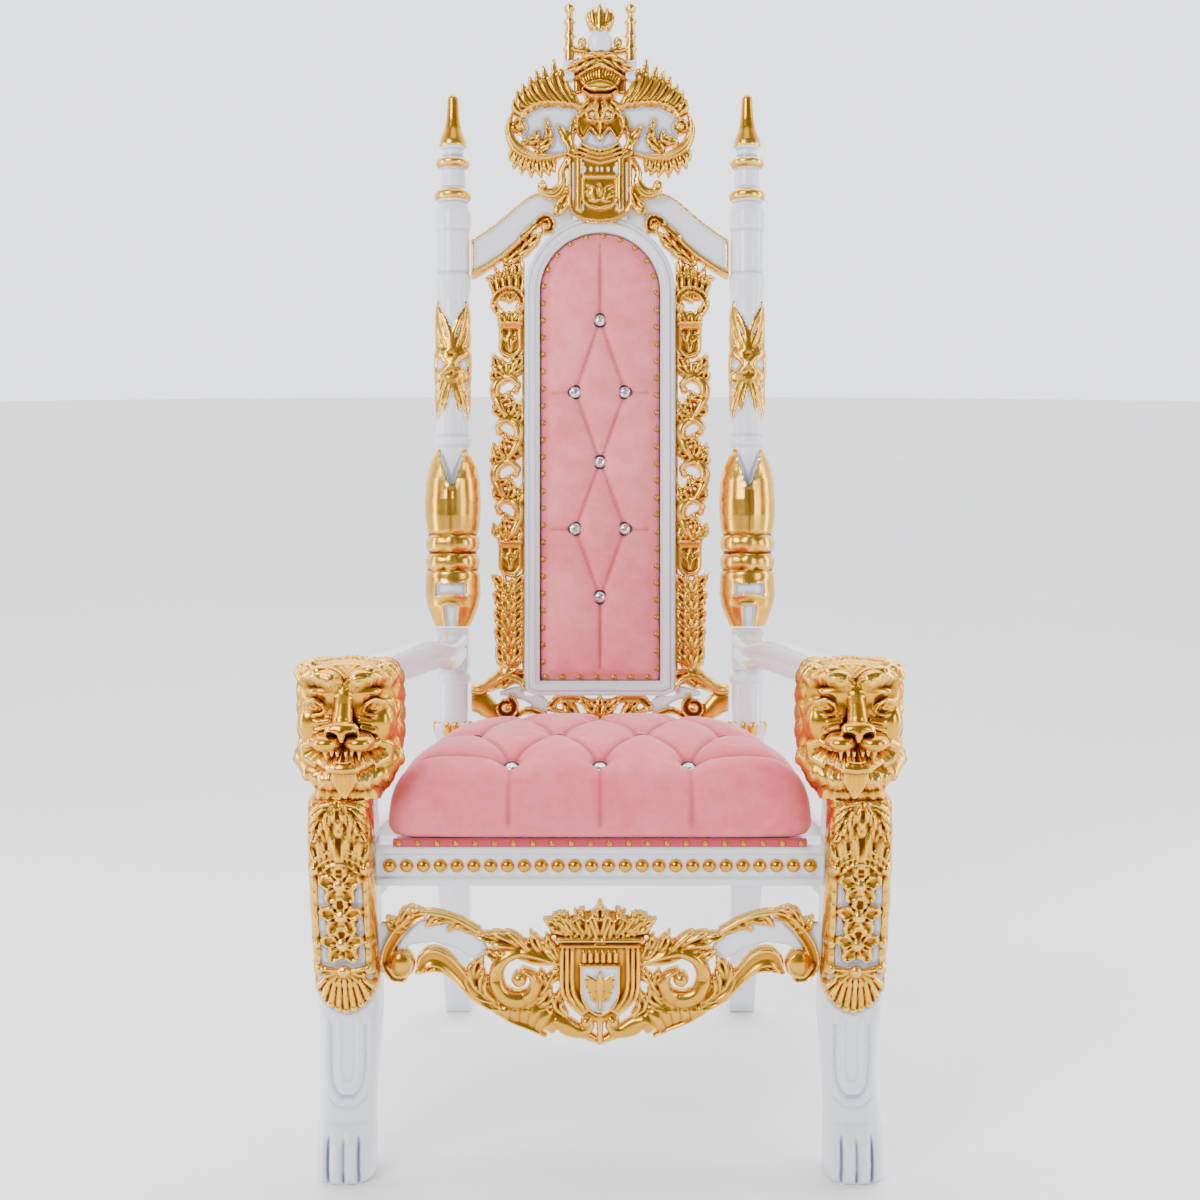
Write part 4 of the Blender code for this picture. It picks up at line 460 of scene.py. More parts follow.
class Carving:
    """A carved board in the units of its drawing: x from the middle, y down from the top."""

    def __init__(self, across, down, cell, fullness=1.0):
        self.cell = cell
        self.fullness = fullness
        self.x = np.arange(across[0], across[1] + cell, cell)
        self.y = np.arange(down[0], down[1] + cell, cell)
        shape = (len(self.y), len(self.x))
        self.inside = np.full(shape, -9.0)
        self.height = np.zeros(shape)
        self.gilt = np.ones(shape)

    def window(self, low, high):
        """The grid's rows and columns between two corners."""
        cols = slice(*np.searchsorted(self.x, [low[0], high[0]]))
        rows = slice(*np.searchsorted(self.y, [low[1], high[1]]))
        return rows, cols

    def lay(self, window, inside, height, gilt=1.0):
        """Adds a stroke: it widens the outline and shows where it stands highest."""
        self.inside[window] = np.maximum(self.inside[window], inside)
        shows = (inside > 0) & (height > self.height[window])
        self.height[window] = np.where(shows, height, self.height[window])
        self.gilt[window] = np.where(shows, gilt, self.gilt[window])

    def follow(self, points, widths):
        """For each place near a curve: how far off, how far along, the width there and the side."""
        widths = np.broadcast_to(widths, len(points)) * self.fullness
        curve = smooth_curve(np.column_stack([points, widths]))
        reach = curve[:, 2].max() + 2 * self.cell
        window = self.window(curve[:, :2].min(0) - reach, curve[:, :2].max(0) + reach)
        x, y = np.meshgrid(self.x[window[1]], self.y[window[0]])
        off = np.full(x.shape, 1e9)
        along = np.zeros(x.shape)
        width = np.full(x.shape, 1e-6)
        side = np.ones(x.shape)
        steps = np.diff(curve[:, :2], axis=0)
        lengths = np.maximum(np.hypot(*steps.T), 1e-9)
        starts = np.concatenate([[0], np.cumsum(lengths)])
        for i, (dx, dy) in enumerate(steps):
            px, py = x - curve[i, 0], y - curve[i, 1]
            t = np.clip((px * dx + py * dy) / lengths[i]**2, 0, 1)
            here = np.hypot(px - t * dx, py - t * dy)
            nearer = here < off
            off = np.where(nearer, here, off)
            along = np.where(nearer, starts[i] + t * lengths[i], along)
            width = np.where(nearer, curve[i, 2] + t * (curve[i + 1, 2] - curve[i, 2]), width)
            side = np.where(nearer, np.sign(dx * py - dy * px), side)
        return window, off, along / starts[-1], np.maximum(width, 1e-3), side, starts[-1]

    def ribbon(self, points, widths, low, high, shape="round", gilt=1.0):
        """A stem, scroll or moulding along a curve, from its edge's height to its crown's."""
        window, off, along, width, side, length = self.follow(points, widths)
        q = np.clip(off / width, 0, 1)
        if shape == "round":
            rise = np.sqrt(1 - q**2)
        elif shape == "flat":
            rise = np.clip((1 - q) * 4, 0, 1)
        elif shape == "rolled":
            rise = np.where(q < 0.66, 0.45 + 0.55 * (q / 0.66)**2,
                            np.sqrt(np.clip(1 - ((q - 0.66) / 0.34)**2, 0, 1)))
        elif shape == "reeded":
            rise = np.sqrt(1 - q**2) * (0.62 + 0.38 * np.abs(np.sin(1.5 * np.pi * (side * q + 1))))
        else:
            rise = np.sqrt(1 - q**2) * (0.66 + 0.34 * np.sqrt(np.abs(np.sin(np.pi * shape * along))))
        self.lay(window, width - off, low + (high - low) * rise, gilt)

    def leaf(self, points, widths, lobes, low, high, cut=0.26, lean=2.6, gilt=1.0):
        """An acanthus leaf along its midrib: flutes run out from the rib and lean towards the tip."""
        window, off, along, width, side, length = self.follow(points, widths)
        phase = (0.55 * lobes + 0.6) * (along - lean * off / length) + 0.3
        lobe = np.abs(np.sin(np.pi * phase))**0.6
        edge = width * (1.12 - cut + cut * lobe)
        q = np.clip(off / edge, 0, 1)
        rib = np.exp(-(off / (0.14 * width + 0.2))**2)
        rise = np.sqrt(1 - q**2.6) * (0.46 + 0.54 * lobe) * (1 - 0.5 * rib)
        self.lay(window, edge - off, low + (high - low) * rise, gilt)

    def volute(self, centre, radius, start, turns, low, high, width=0.36):
        """A scroll's spiral end, from the angle start (in degrees) inwards to a ball."""
        angles = np.radians(start) + np.linspace(0, 2 * np.pi * turns, 14)
        radii = np.linspace(radius * (1 - width), radius * 0.42, 14)
        points = np.column_stack([centre[0] + radii * np.cos(angles), centre[1] + radii * np.sin(angles)])
        self.ribbon(points, np.linspace(radius * width, radius * 0.2, 14), low, high, "rolled")
        self.dome(centre, (radius * 0.42, radius * 0.42), low, high * 1.04)

    def dome(self, centre, radii, low, high, gilt=1.0):
        reach = np.array(radii) + 2 * self.cell
        window = self.window(np.array(centre) - reach, np.array(centre) + reach)
        x, y = np.meshgrid(self.x[window[1]], self.y[window[0]])
        q = np.hypot((x - centre[0]) / radii[0], (y - centre[1]) / radii[1])
        rise = np.sqrt(np.clip(1 - q**2, 0, 1))
        self.lay(window, (1 - q) * min(radii), low + (high - low) * rise, gilt)

    def within(self, corners):
        """How far inside a closed outline each place lies; one drawn from the middle line is doubled."""
        if corners[0][0] == 0 and corners[-1][0] == 0:
            corners = list(corners) + [(-x, y) for x, y in list(corners)[::-1]]
        corners = np.asarray(corners, float)
        x, y = np.meshgrid(self.x, self.y)
        off = np.full(x.shape, 1e9)
        odd = np.zeros(x.shape, bool)
        for (ax, ay), (bx, by) in zip(corners, np.roll(corners, -1, axis=0)):
            dx, dy = bx - ax, by - ay
            t = np.clip(((x - ax) * dx + (y - ay) * dy) / max(dx * dx + dy * dy, 1e-9), 0, 1)
            off = np.minimum(off, np.hypot(x - ax - t * dx, y - ay - t * dy))
            if ay != by:
                odd ^= ((ay > y) != (by > y)) & (x < ax + (y - ay) * dx / dy)
        return np.where(odd, off, -off)

    def panel(self, corners, low, high, bevel=1.0, gilt=1.0):
        """A flat field with a bevelled rim."""
        inside = self.within(corners)
        self.lay((slice(None), slice(None)), inside, low + (high - low) * np.clip(inside / bevel, 0, 1),
                 gilt)

    def groove(self, points, widths, depth):
        """A cut line, which only lowers what is there."""
        window, off, along, width, side, length = self.follow(points, widths)
        cut = depth * np.exp(-(off / width)**2)
        self.height[window] = np.maximum(self.height[window] - cut, np.minimum(self.height[window], 1.5))

    def plumes(self, rib, tips, count, widths, low, high, bend=0.0):
        """Feathers or long leaves side by side, each from the rib to the line of the tips."""
        rib = smooth_curve(rib)
        tips = smooth_curve(tips)
        for share in (np.arange(count) + 0.5) / count:
            root = rib[int(share * (len(rib) - 1))]
            tip = tips[int(share * (len(tips) - 1))]
            across = np.array([root[1] - tip[1], tip[0] - root[0]]) * bend
            middle = (root + tip) / 2 + across
            self.leaf([root, middle, tip], [widths[0] * 0.7, widths[0], widths[1]], 1, low, high, cut=0.1)

    def mirrored(self):
        """The whole board, when it was drawn from its middle line outwards."""
        whole = Carving.__new__(Carving)
        whole.cell = self.cell
        whole.y = self.y
        whole.x = np.concatenate([-self.x[:0:-1], self.x])
        for field in ("inside", "height", "gilt"):
            half = getattr(self, field)
            setattr(whole, field, np.concatenate([half[:, :0:-1], half], axis=1))
        return whole

# %% Shields, and a rubbing with fine paper
def vee(half_width, top, bottom, point):
    """The outline of a shield: straight sides, then a pointed foot."""
    rise = bottom - point
    side = [(half_width, top), (half_width, point)]
    for share in (0.3, 0.6, 0.85):
        side.append((half_width * np.cos(share * np.pi / 2), point + rise * np.sin(share * np.pi / 2)**1.3))
    return side + [(0, bottom)] + [(-x, y) for x, y in side[::-1]]


def softened(field):
    """The field after a small blur, as a rubbing with fine paper leaves it."""
    padded = np.pad(field, 1, mode="edge")
    rows = 0.25 * padded[:-2] + 0.5 * padded[1:-1] + 0.25 * padded[2:]
    return 0.25 * rows[:, :-2] + 0.5 * rows[:, 1:-1] + 0.25 * rows[:, 2:]

# %% [markdown]
# ## From a carving to a board
# Where the outline passes between two grid points, the board's edge goes through the exact crossing, so
# curves stay smooth. The front takes the carved height, the back is flat, and walls close the edge.
# %% From the grid to a closed board
CELL_FACES = {1: "aps", 2: "bqp", 3: "abqs", 4: "crq", 5: "aps crq", 6: "bcrp", 7: "abcrs", 8: "dsr",
              9: "aprd", 10: "bqp dsr", 11: "abqrd", 12: "cdsq", 13: "apqcd", 14: "bcdsp", 15: "abcd"}
KEPT_BEHIND = 0.56                    # the share of faces that a flat back keeps


def largest_body(count, faces):
    """Keeps the faces of the biggest connected body: carving that touches nothing would fall off."""
    owner = np.arange(count)
    pairs = np.vstack([np.column_stack([f[:, 0], f[:, k]]) for f in faces for k in range(1, f.shape[1])])
    while True:
        before = owner.copy()
        lowest = np.minimum(owner[pairs[:, 0]], owner[pairs[:, 1]])
        np.minimum.at(owner, pairs[:, 0], lowest)
        np.minimum.at(owner, pairs[:, 1], lowest)
        owner = owner[owner]
        if (owner == before).all():
            break
    names, sizes = np.unique(np.concatenate([owner[f[:, 0]] for f in faces]), return_counts=True)
    return owner == names[np.argmax(sizes)]


def board_arrays(c, edge=0.8):
    """Points (x, y, height, gilt) and faces of a closed board."""
    c.inside[0], c.inside[-1], c.inside[:, 0], c.inside[:, -1] = -1, -1, -1, -1
    level = np.where(np.abs(c.inside) < 0.02, 0.02, c.inside)
    high = np.maximum(softened(c.height), edge)
    gilt = softened(c.gilt)
    rows, cols = level.shape
    x, y = np.meshgrid(c.x, c.y)
    inside = level > 0

    def crossings(shift_row, shift_col):
        first = (slice(0, rows - shift_row), slice(0, cols - shift_col))
        second = (slice(shift_row, rows), slice(shift_col, cols))
        t = np.clip(level[first] / (level[first] - level[second] + 1e-12), 0.04, 0.96)
        own = inside[first]
        place = [x[first] + t * (x[second] - x[first]), y[first] + t * (y[second] - y[first]),
                 np.where(own, high[first], high[second]), np.where(own, gilt[first], gilt[second])]
        return np.stack(place, -1).reshape(-1, 4)

    grid = np.stack([x, y, high, gilt], -1).reshape(-1, 4)
    across, down = crossings(0, 1), crossings(1, 0)
    points = np.vstack([grid, across, down])
    row, col = np.meshgrid(np.arange(rows - 1), np.arange(cols - 1), indexing="ij")
    base_across, base_down = len(grid), len(grid) + len(across)
    corner = {"a": (row + 1) * cols + col, "b": (row + 1) * cols + col + 1, "c": row * cols + col + 1,
              "d": row * cols + col, "p": base_across + (row + 1) * (cols - 1) + col,
              "r": base_across + row * (cols - 1) + col, "q": base_down + row * cols + col + 1,
              "s": base_down + row * cols + col}
    code = (inside[1:, :-1] * 1 + inside[1:, 1:] * 2 + inside[:-1, 1:] * 4 + inside[:-1, :-1] * 8)
    front, walls = [], []
    for number, shapes in CELL_FACES.items():
        here = code == number
        if not here.any():
            continue
        for shape in shapes.split():
            face = np.stack([corner[letter][here] for letter in shape], -1)
            front.append(face)
            for i, letter in enumerate(shape):
                after = (i + 1) % len(shape)
                if letter in "pqrs" and shape[after] in "pqrs":
                    walls.append(face[:, [i, after]])
    walls = np.vstack(walls)
    kept = largest_body(len(points), front)
    front = [face[kept[face[:, 0]]] for face in front]
    walls = walls[kept[walls[:, 0]]]
    used = np.unique(np.concatenate([face.ravel() for face in front]))
    number = np.zeros(len(points), int)
    number[used] = np.arange(len(used))
    total = len(used)
    top = points[used]
    bottom = top.copy()
    bottom[:, 2] = 0
    faces = []
    for face in front:
        faces += number[face].tolist()
        faces += (number[face][:, ::-1] + total).tolist()
    a, b = number[walls[:, 0]], number[walls[:, 1]]
    faces += np.column_stack([b, a, a + total, b + total]).tolist()
    return np.vstack([top, bottom]), faces

# %% Finishing a board
def board(name, c, to_place, look, slot, *nodes, flip=False):
    """A finished carved board: placed, its flat back made of few faces, hollows marked."""
    points, faces = board_arrays(c)
    if flip:
        faces = [face[::-1] for face in faces]
    made = from_arrays(name, to_place(points[:, 0], points[:, 1], points[:, 2]), faces)
    note(made, "gilt", points[:, 3])
    note_hollows(made)
    back = made.vertex_groups.new(name="flat back")
    back.add(list(range(len(points) // 2, len(points))), 1.0, "REPLACE")
    fewer = made.modifiers.new("fewer faces behind", "DECIMATE")
    fewer.ratio = KEPT_BEHIND
    fewer.vertex_group = "flat back"
    applied(made)
    made.vertex_groups.clear()
    smooth(made, 50)
    return dressed(made, look, slot, *nodes)


def on_the_back(rear, unit=BACK_RELIEF, way=1):
    """Places a board drawn on the sheet of the back."""
    def place(x, y, high):
        flat = np.column_stack([way * x * BACK_ACROSS, rear - high * unit, (DRAWN_TURN - y) * BACK_DOWN])
        return leaned(flat)
    return place

# %% [markdown]
# ## What is carved
# Each board has its own drawing. Units are those of the sheet, with x measured out from the middle.
# %% The drawing of the crest
def carve_crest(c):
    """The crest over the back: small crown, orb, helm, two wings, and a shield on scrolls."""
    spindle = [(9, 1.2), (10, 4), (12.7, 5.6), (15.5, 4.2), (17.5, 2.3), (19.5, 3.4), (21.5, 2.6),
               (24.5, 4.4),
               (26.2, 6), (28, 4.4), (30, 3.9), (38, 4.4), (40.5, 6), (43, 4.3), (50, 4.7), (52.5, 6.6),
               (55.5, 5),
               (65, 5.2)]
    c.ribbon([(30.3, y) for y, w in spindle], [w for y, w in spindle], 7, 13)
    c.panel([(24.4, 64.5), (36.4, 64.5), (36, 88), (24.4, 84)], 8, 13, 1.5, gilt=0)
    c.ribbon([(0, 35), (0, 22), (0, 8.5)], [4.8, 5.6, 1], 9, 17)
    c.ribbon([(5, 34), (7.5, 22), (7, 12.5)], [3, 3.4, 1], 9, 15)
    c.ribbon([(9, 33), (12, 24), (11.2, 15.5)], [2.4, 2.4, 1], 9, 13)
    c.ribbon([(0, 33), (6, 32.2), (10.6, 30)], [2, 1.8, 1.5], 10, 16)
    c.dome((0, 47), (12, 14.5), 8, 17, gilt=0)
    c.volute((16.8, 46.5), 6.2, 100, -0.8, 8, 13)
    c.ribbon([(12, 55), (20, 55), (28, 52.5)], [3.6, 3.2, 3.4], 7, 11)
    c.panel([(0, 60), (26, 66), (26, 98), (0, 98)], 5, 8, 1.5)
    c.leaf([(0, 64), (12, 66.5), (23, 72), (34.5, 76)], [7.5, 7.5, 6, 1.2], 5, 11, 19, cut=0.15)
    c.ribbon([(0, 71.5), (12, 76.5), (22.5, 83)], [2, 1.8, 1.6], 15, 20)
    for share in np.linspace(0.04, 0.96, 8):
        c.ribbon([(21 * share, 74 + 9 * share), (16 * share, 87 + 4.5 * share)], 1.4, 10, 16)
    c.ribbon([(20, 80), (31, 82), (36, 79)], [3.5, 3.2, 2], 7, 12)
    c.ribbon([(0, 87), (9, 88.5), (17, 94)], [1.8, 1.6, 1.2], 14, 20)
    c.dome((0, 96.5), (17.6, 9.6), 10, 24)
    c.ribbon([(0, 104.5), (9, 103), (17.2, 96.5)], [1.6, 1.5, 1.2], 14, 23)
    c.groove([(0, 99.5), (8, 99), (15.5, 95.5)], 1, 8)
    c.leaf([(0, 104), (0, 116), (0, 128)], [8.5, 7, 1], 3, 10, 19, cut=0.2)
    c.leaf([(8, 106), (14, 112), (21.5, 121)], [6, 6.5, 1.5], 3, 9, 16, cut=0.25)
    c.leaf([(2, 124), (9, 124), (14, 118)], [3, 4, 1.5], 2, 9, 17)
    c.panel([(0, 121), (24, 118), (22, 134), (18, 145), (10, 136), (0, 146)], 6, 11, 2)
    c.ribbon([(22, 120), (22.5, 134), (17, 145)], [1.6, 1.6, 1.2], 9, 15)
    c.ribbon([(0, 145), (5, 137), (10, 133), (17, 145)], [1.4, 1.4, 1.4, 1], 10, 15)
    c.ribbon([(0, 129), (0, 145)], [1.2, 1], 10, 15)
    c.panel([(0, 136), (12, 134), (20, 147), (31, 158), (34, 172), (0, 172)], 5, 7.5, 1.5, gilt=0)
    for step in range(4):
        drop = 4 * step
        c.ribbon([(0, 154.5 + drop), (10, 152 + drop), (19 + 3.6 * step, 147.5 + drop * 0.95)],
                 [1.9, 1.9, 1.7], 10, 15 - step * 0.6)
    # The wings: feathers along a rib, a white field, and the leaf scroll that closes them
    c.panel([(20, 111), (50, 107), (72, 113), (80, 125), (78, 140), (66, 152), (46, 160), (28, 160)],
            5, 6.5, 1.5, gilt=0)
    c.plumes([(22, 110), (34, 109), (52, 108.5), (68, 112), (79, 122)],
             [(36, 78), (46, 64.5), (58, 72), (67, 79), (76.5, 89), (83, 97), (87.5, 110)], 8, (5.6, 1.4), 8,
             15, 0.10)
    c.leaf([(22, 111), (27, 102), (31, 91)], [4, 4.6, 1.5], 2, 8, 14, cut=0.2)
    c.ribbon([(19, 112), (34, 109), (52, 108), (66, 110.5), (75, 116), (79, 123)],
             [1.4, 1.6, 1.8, 1.8, 1.6, 1.4], 9, 16)
    c.volute((79, 131), 9, -80, 1.1, 9, 18)
    c.ribbon([(87, 118), (90.5, 130), (88, 143), (80, 153), (66, 160), (48, 161), (31, 157)],
             [1.5, 3.4, 5, 5.6, 4.6, 3.2, 1.4], 8, 16, "reeded")
    c.leaf([(74, 146), (64, 143), (62, 134)], [4.5, 5, 1.6], 3, 8, 15)
    c.leaf([(60, 153), (51, 144), (53, 124)], [5, 5.6, 1.8], 4, 8, 15)
    c.plumes([(84, 151), (72, 158), (58, 161), (44, 160)],
             [(91, 158), (84, 172), (68, 179), (52, 178), (43, 172)], 7, (4.6, 1.6), 6, 13, -0.06)
    c.leaf([(26, 156), (34, 140), (42, 130)], [4.5, 5.5, 1.4], 3, 8, 14)
    c.leaf([(31, 158), (29, 138), (25, 121)], [2, 3.6, 1.2], 2, 8, 13)
    # The shield on its scrolls
    c.panel(vee(31.5, 160, 225, 210), 7, 11, 1.5, gilt=1)
    for x in (24.6, 15):
        c.panel([(x, 165), (x + 3.4, 165), (x + 3.2, 217 - x * 0.2), (x, 219)], 8, 11.6, 1, gilt=0)
    for x in (0.6, 6.8, 13):
        c.panel([(x, 170), (x + 3.4, 170), (x + 3.4, 177), (x, 177)], 8, 11.6, 1, gilt=0)
    for x in (30.4, 22, 19.5):
        c.ribbon([(x, 163), (x, 208 + (31 - x) * 0.6)], 1.5, 10, 15)
    c.ribbon([(0, 225), (16, 222.5), (27, 215), (31, 206)], 1.4, 8, 13)
    c.panel(vee(18.5, 179, 215, 204), 10, 15, 1)
    c.panel(vee(16, 181.5, 211.5, 202), 0, 12.6, 1, gilt=0)
    c.height[(c.within(vee(15.6, 182, 211, 202)) > 0)] = 12.6
    c.dome((0, 195), (3, 8), 11, 17)
    c.plumes([(1, 203), (2, 193)], [(9, 206), (13.5, 197), (12, 187)], 4, (2, 0.8), 12, 16, 0.05)
    c.ribbon([(32.5, 163), (38, 175), (38, 187), (46, 196), (57, 195)], [3, 3.6, 4.6, 6, 4.6], 8, 14,
             "reeded")
    c.volute((56.5, 189), 6.5, 90, -0.9, 8, 15)
    c.leaf([(31, 194), (36, 205), (42, 214)], [4.5, 6.4, 5], 2, 7, 13, cut=0.2)
    c.volute((41.5, 213.5), 6, 180, -0.8, 7, 13)

# %% The drawing of the apron
def carve_apron(c):
    """The apron below the seat: a crowned shield between acanthus scrolls that end in ball volutes."""
    c.panel([(207, 951), (200, 938), (184, 922), (160, 921), (140, 926), (120, 940), (112, 952), (120, 962),
             (130, 960), (146, 950), (169, 944), (191, 947), (204, 956)], 5, 9, 2, gilt=0)
    c.ribbon([(176, 915), (190, 921), (203, 933), (213, 948), (217, 964), (210, 976), (199, 979)],
             [3, 4.5, 5.5, 5.5, 5, 4.5, 3.5], 8, 15, "rolled")
    c.dome((201, 963.5), (13.5, 13.5), 8, 21)
    c.ribbon([(214, 966), (206, 975), (194, 973), (190, 962), (197, 954)], [3, 3.4, 3, 2.4, 1.4], 9, 18)
    c.leaf([(198, 930), (208, 926), (215, 919)], [4, 6.5, 1.6], 3, 8, 14)
    c.leaf([(202, 924), (192, 914), (179, 912)], [5, 6, 1.6], 3, 9, 15)
    c.ribbon([(186, 913.5), (165, 914.5), (145, 920), (123, 932)], [2.8, 2.6, 2.6, 3], 9, 14)
    c.leaf([(150, 921), (164, 920), (174, 926)], [2.6, 5.6, 2], 4, 8, 13)
    c.leaf([(126, 934), (142, 925), (153, 930)], [2.6, 5.4, 2], 4, 8, 13)
    c.ribbon([(184, 972), (178, 962), (169, 958), (157, 962), (145, 973), (132, 988), (118, 1001),
              (103, 1010)],
             [2, 7, 9, 8, 7, 6, 5, 3], 8, 15, "rolled")
    c.ribbon([(186, 974), (170, 971), (158, 973), (145, 983), (130, 998), (112, 1009), (98, 1014)],
             [1.6, 2, 2, 2.2, 2.2, 2, 1.6], 8, 14)
    c.leaf([(106, 1004), (122, 992), (126, 974), (119, 957)], [4, 10, 9, 1.6], 5, 8, 16, cut=0.25)
    c.leaf([(42, 964), (66, 957), (92, 944), (125, 936)], [3, 7, 9.5, 2], 6, 8, 16)
    c.leaf([(46, 962), (60, 951), (70, 933)], [4, 8, 1.6], 3, 9, 17)
    c.leaf([(42, 960), (50, 948), (54, 936)], [4, 5.6, 1.6], 3, 9, 16)
    c.leaf([(88, 957), (104, 958), (117, 951)], [3, 5.6, 1.6], 3, 8, 15)
    c.ribbon([(42, 964), (62, 957), (80, 954), (94, 958), (103, 968), (105, 982), (99, 995), (86, 1001),
              (73, 998), (66, 988), (68, 977), (78, 971)],
             [1.6, 3.4, 4.6, 5.6, 6.4, 7, 7.4, 7.6, 7, 5.6, 4.2, 2.4], 8, 18, 4)
    c.dome((82, 980), (8, 8), 9, 20)
    c.leaf([(96, 1000), (76, 1009), (56, 1002), (50, 990)], [4, 6.5, 6.5, 2], 5, 7, 14)
    c.leaf([(62, 996), (57, 984), (60, 972)], [4, 6, 2], 3, 8, 15)
    c.leaf([(52, 984), (47, 978), (41, 970)], [3, 5, 3], 2, 7, 13)
    c.ribbon([(110, 1009), (92, 1013), (70, 1016), (52, 1025), (49, 1031)], [3, 7, 10.5, 11, 4], 7, 15, 7)
    c.ribbon([(106, 1014), (90, 1023), (72, 1030), (56, 1037)], [1.6, 2, 2, 2], 7, 13)
    c.leaf([(36, 1016), (43, 1006), (38, 988)], [3.6, 6, 1.6], 2, 7, 14)
    c.ribbon([(44, 1022), (34, 1028), (20, 1033), (10, 1028), (11, 1020)], [5, 8, 6, 4, 3], 8, 15)
    c.dome((14, 1023), (6, 6), 8, 17)
    c.ribbon([(26, 1033), (12, 1038), (0, 1044)], [3, 4, 2.4], 7, 13)
    c.ribbon([(0, 1012), (0, 1044)], [4, 2.4], 9, 14)
    # The foliate crown
    c.panel([(0, 912), (16, 914), (34, 920), (52, 924), (50, 938), (0, 938)], 4, 7, 1.5)
    c.leaf([(0, 936), (0, 922), (0, 906)], [8, 12, 1.4], 3, 9, 18, cut=0.2)
    c.leaf([(14, 936), (18, 924), (20, 911)], [6, 8, 1.4], 3, 8, 16)
    c.leaf([(26, 934), (34, 924), (36, 914)], [6, 7, 1.4], 3, 8, 15)
    c.leaf([(34, 933), (46, 926), (56, 921)], [5, 6.5, 1.4], 4, 8, 14)
    c.leaf([(30, 928), (40, 919), (46, 917)], [4, 5, 2], 2, 8, 14)
    c.ribbon([(0, 920), (7, 916), (14, 921), (20, 917), (28, 922)], 1.4, 12, 18)
    c.dome((0, 904.5), (2.6, 2.6), 9, 15)
    for x in (9, 17, 25, 33, 41):
        c.dome((x, 909 + x * x * 0.006), (2, 2), 8, 13)
    # The shield
    c.panel([(0, 937), (42, 937), (40.5, 948), (39.5, 990), (32, 1004), (20, 1016), (0, 1026)], 8, 12, 2)
    c.ribbon([(0, 940), (42.5, 940)], 2.2, 12, 18)
    c.ribbon([(0, 946), (40.5, 946)], 1.6, 11, 16)
    for x, foot in ((38.4, 989), (33.2, 988), (28, 986)):
        c.ribbon([(x, 950), (x, foot), (x * 0.82, foot + 14), (x * 0.5, foot + 25)], 2.2, 11, 16.5)
    for x in (3.2, 9.6, 16):
        c.ribbon([(x, 953.5), (x, 961)], 2.4, 11, 16)
    c.panel(vee(21.5, 964, 1017, 992), 11, 16.5, 1.2)
    c.height[c.within(vee(18.5, 967, 1012, 991)) > 0] = 13.4
    c.gilt[c.within(vee(18.5, 967, 1012, 991)) > 0] = 0
    c.ribbon([(0, 971), (0, 984), (0, 1008)], [1.4, 3.4, 1.6], 14, 18)
    c.plumes([(1, 992), (2, 980)], [(12, 994), (15.5, 982), (13.5, 972)], 5, (1.8, 0.8), 13.6, 17, 0.06)
    c.leaf([(0, 994), (6, 998), (9, 992)], [2, 3, 1.2], 2, 14, 17)

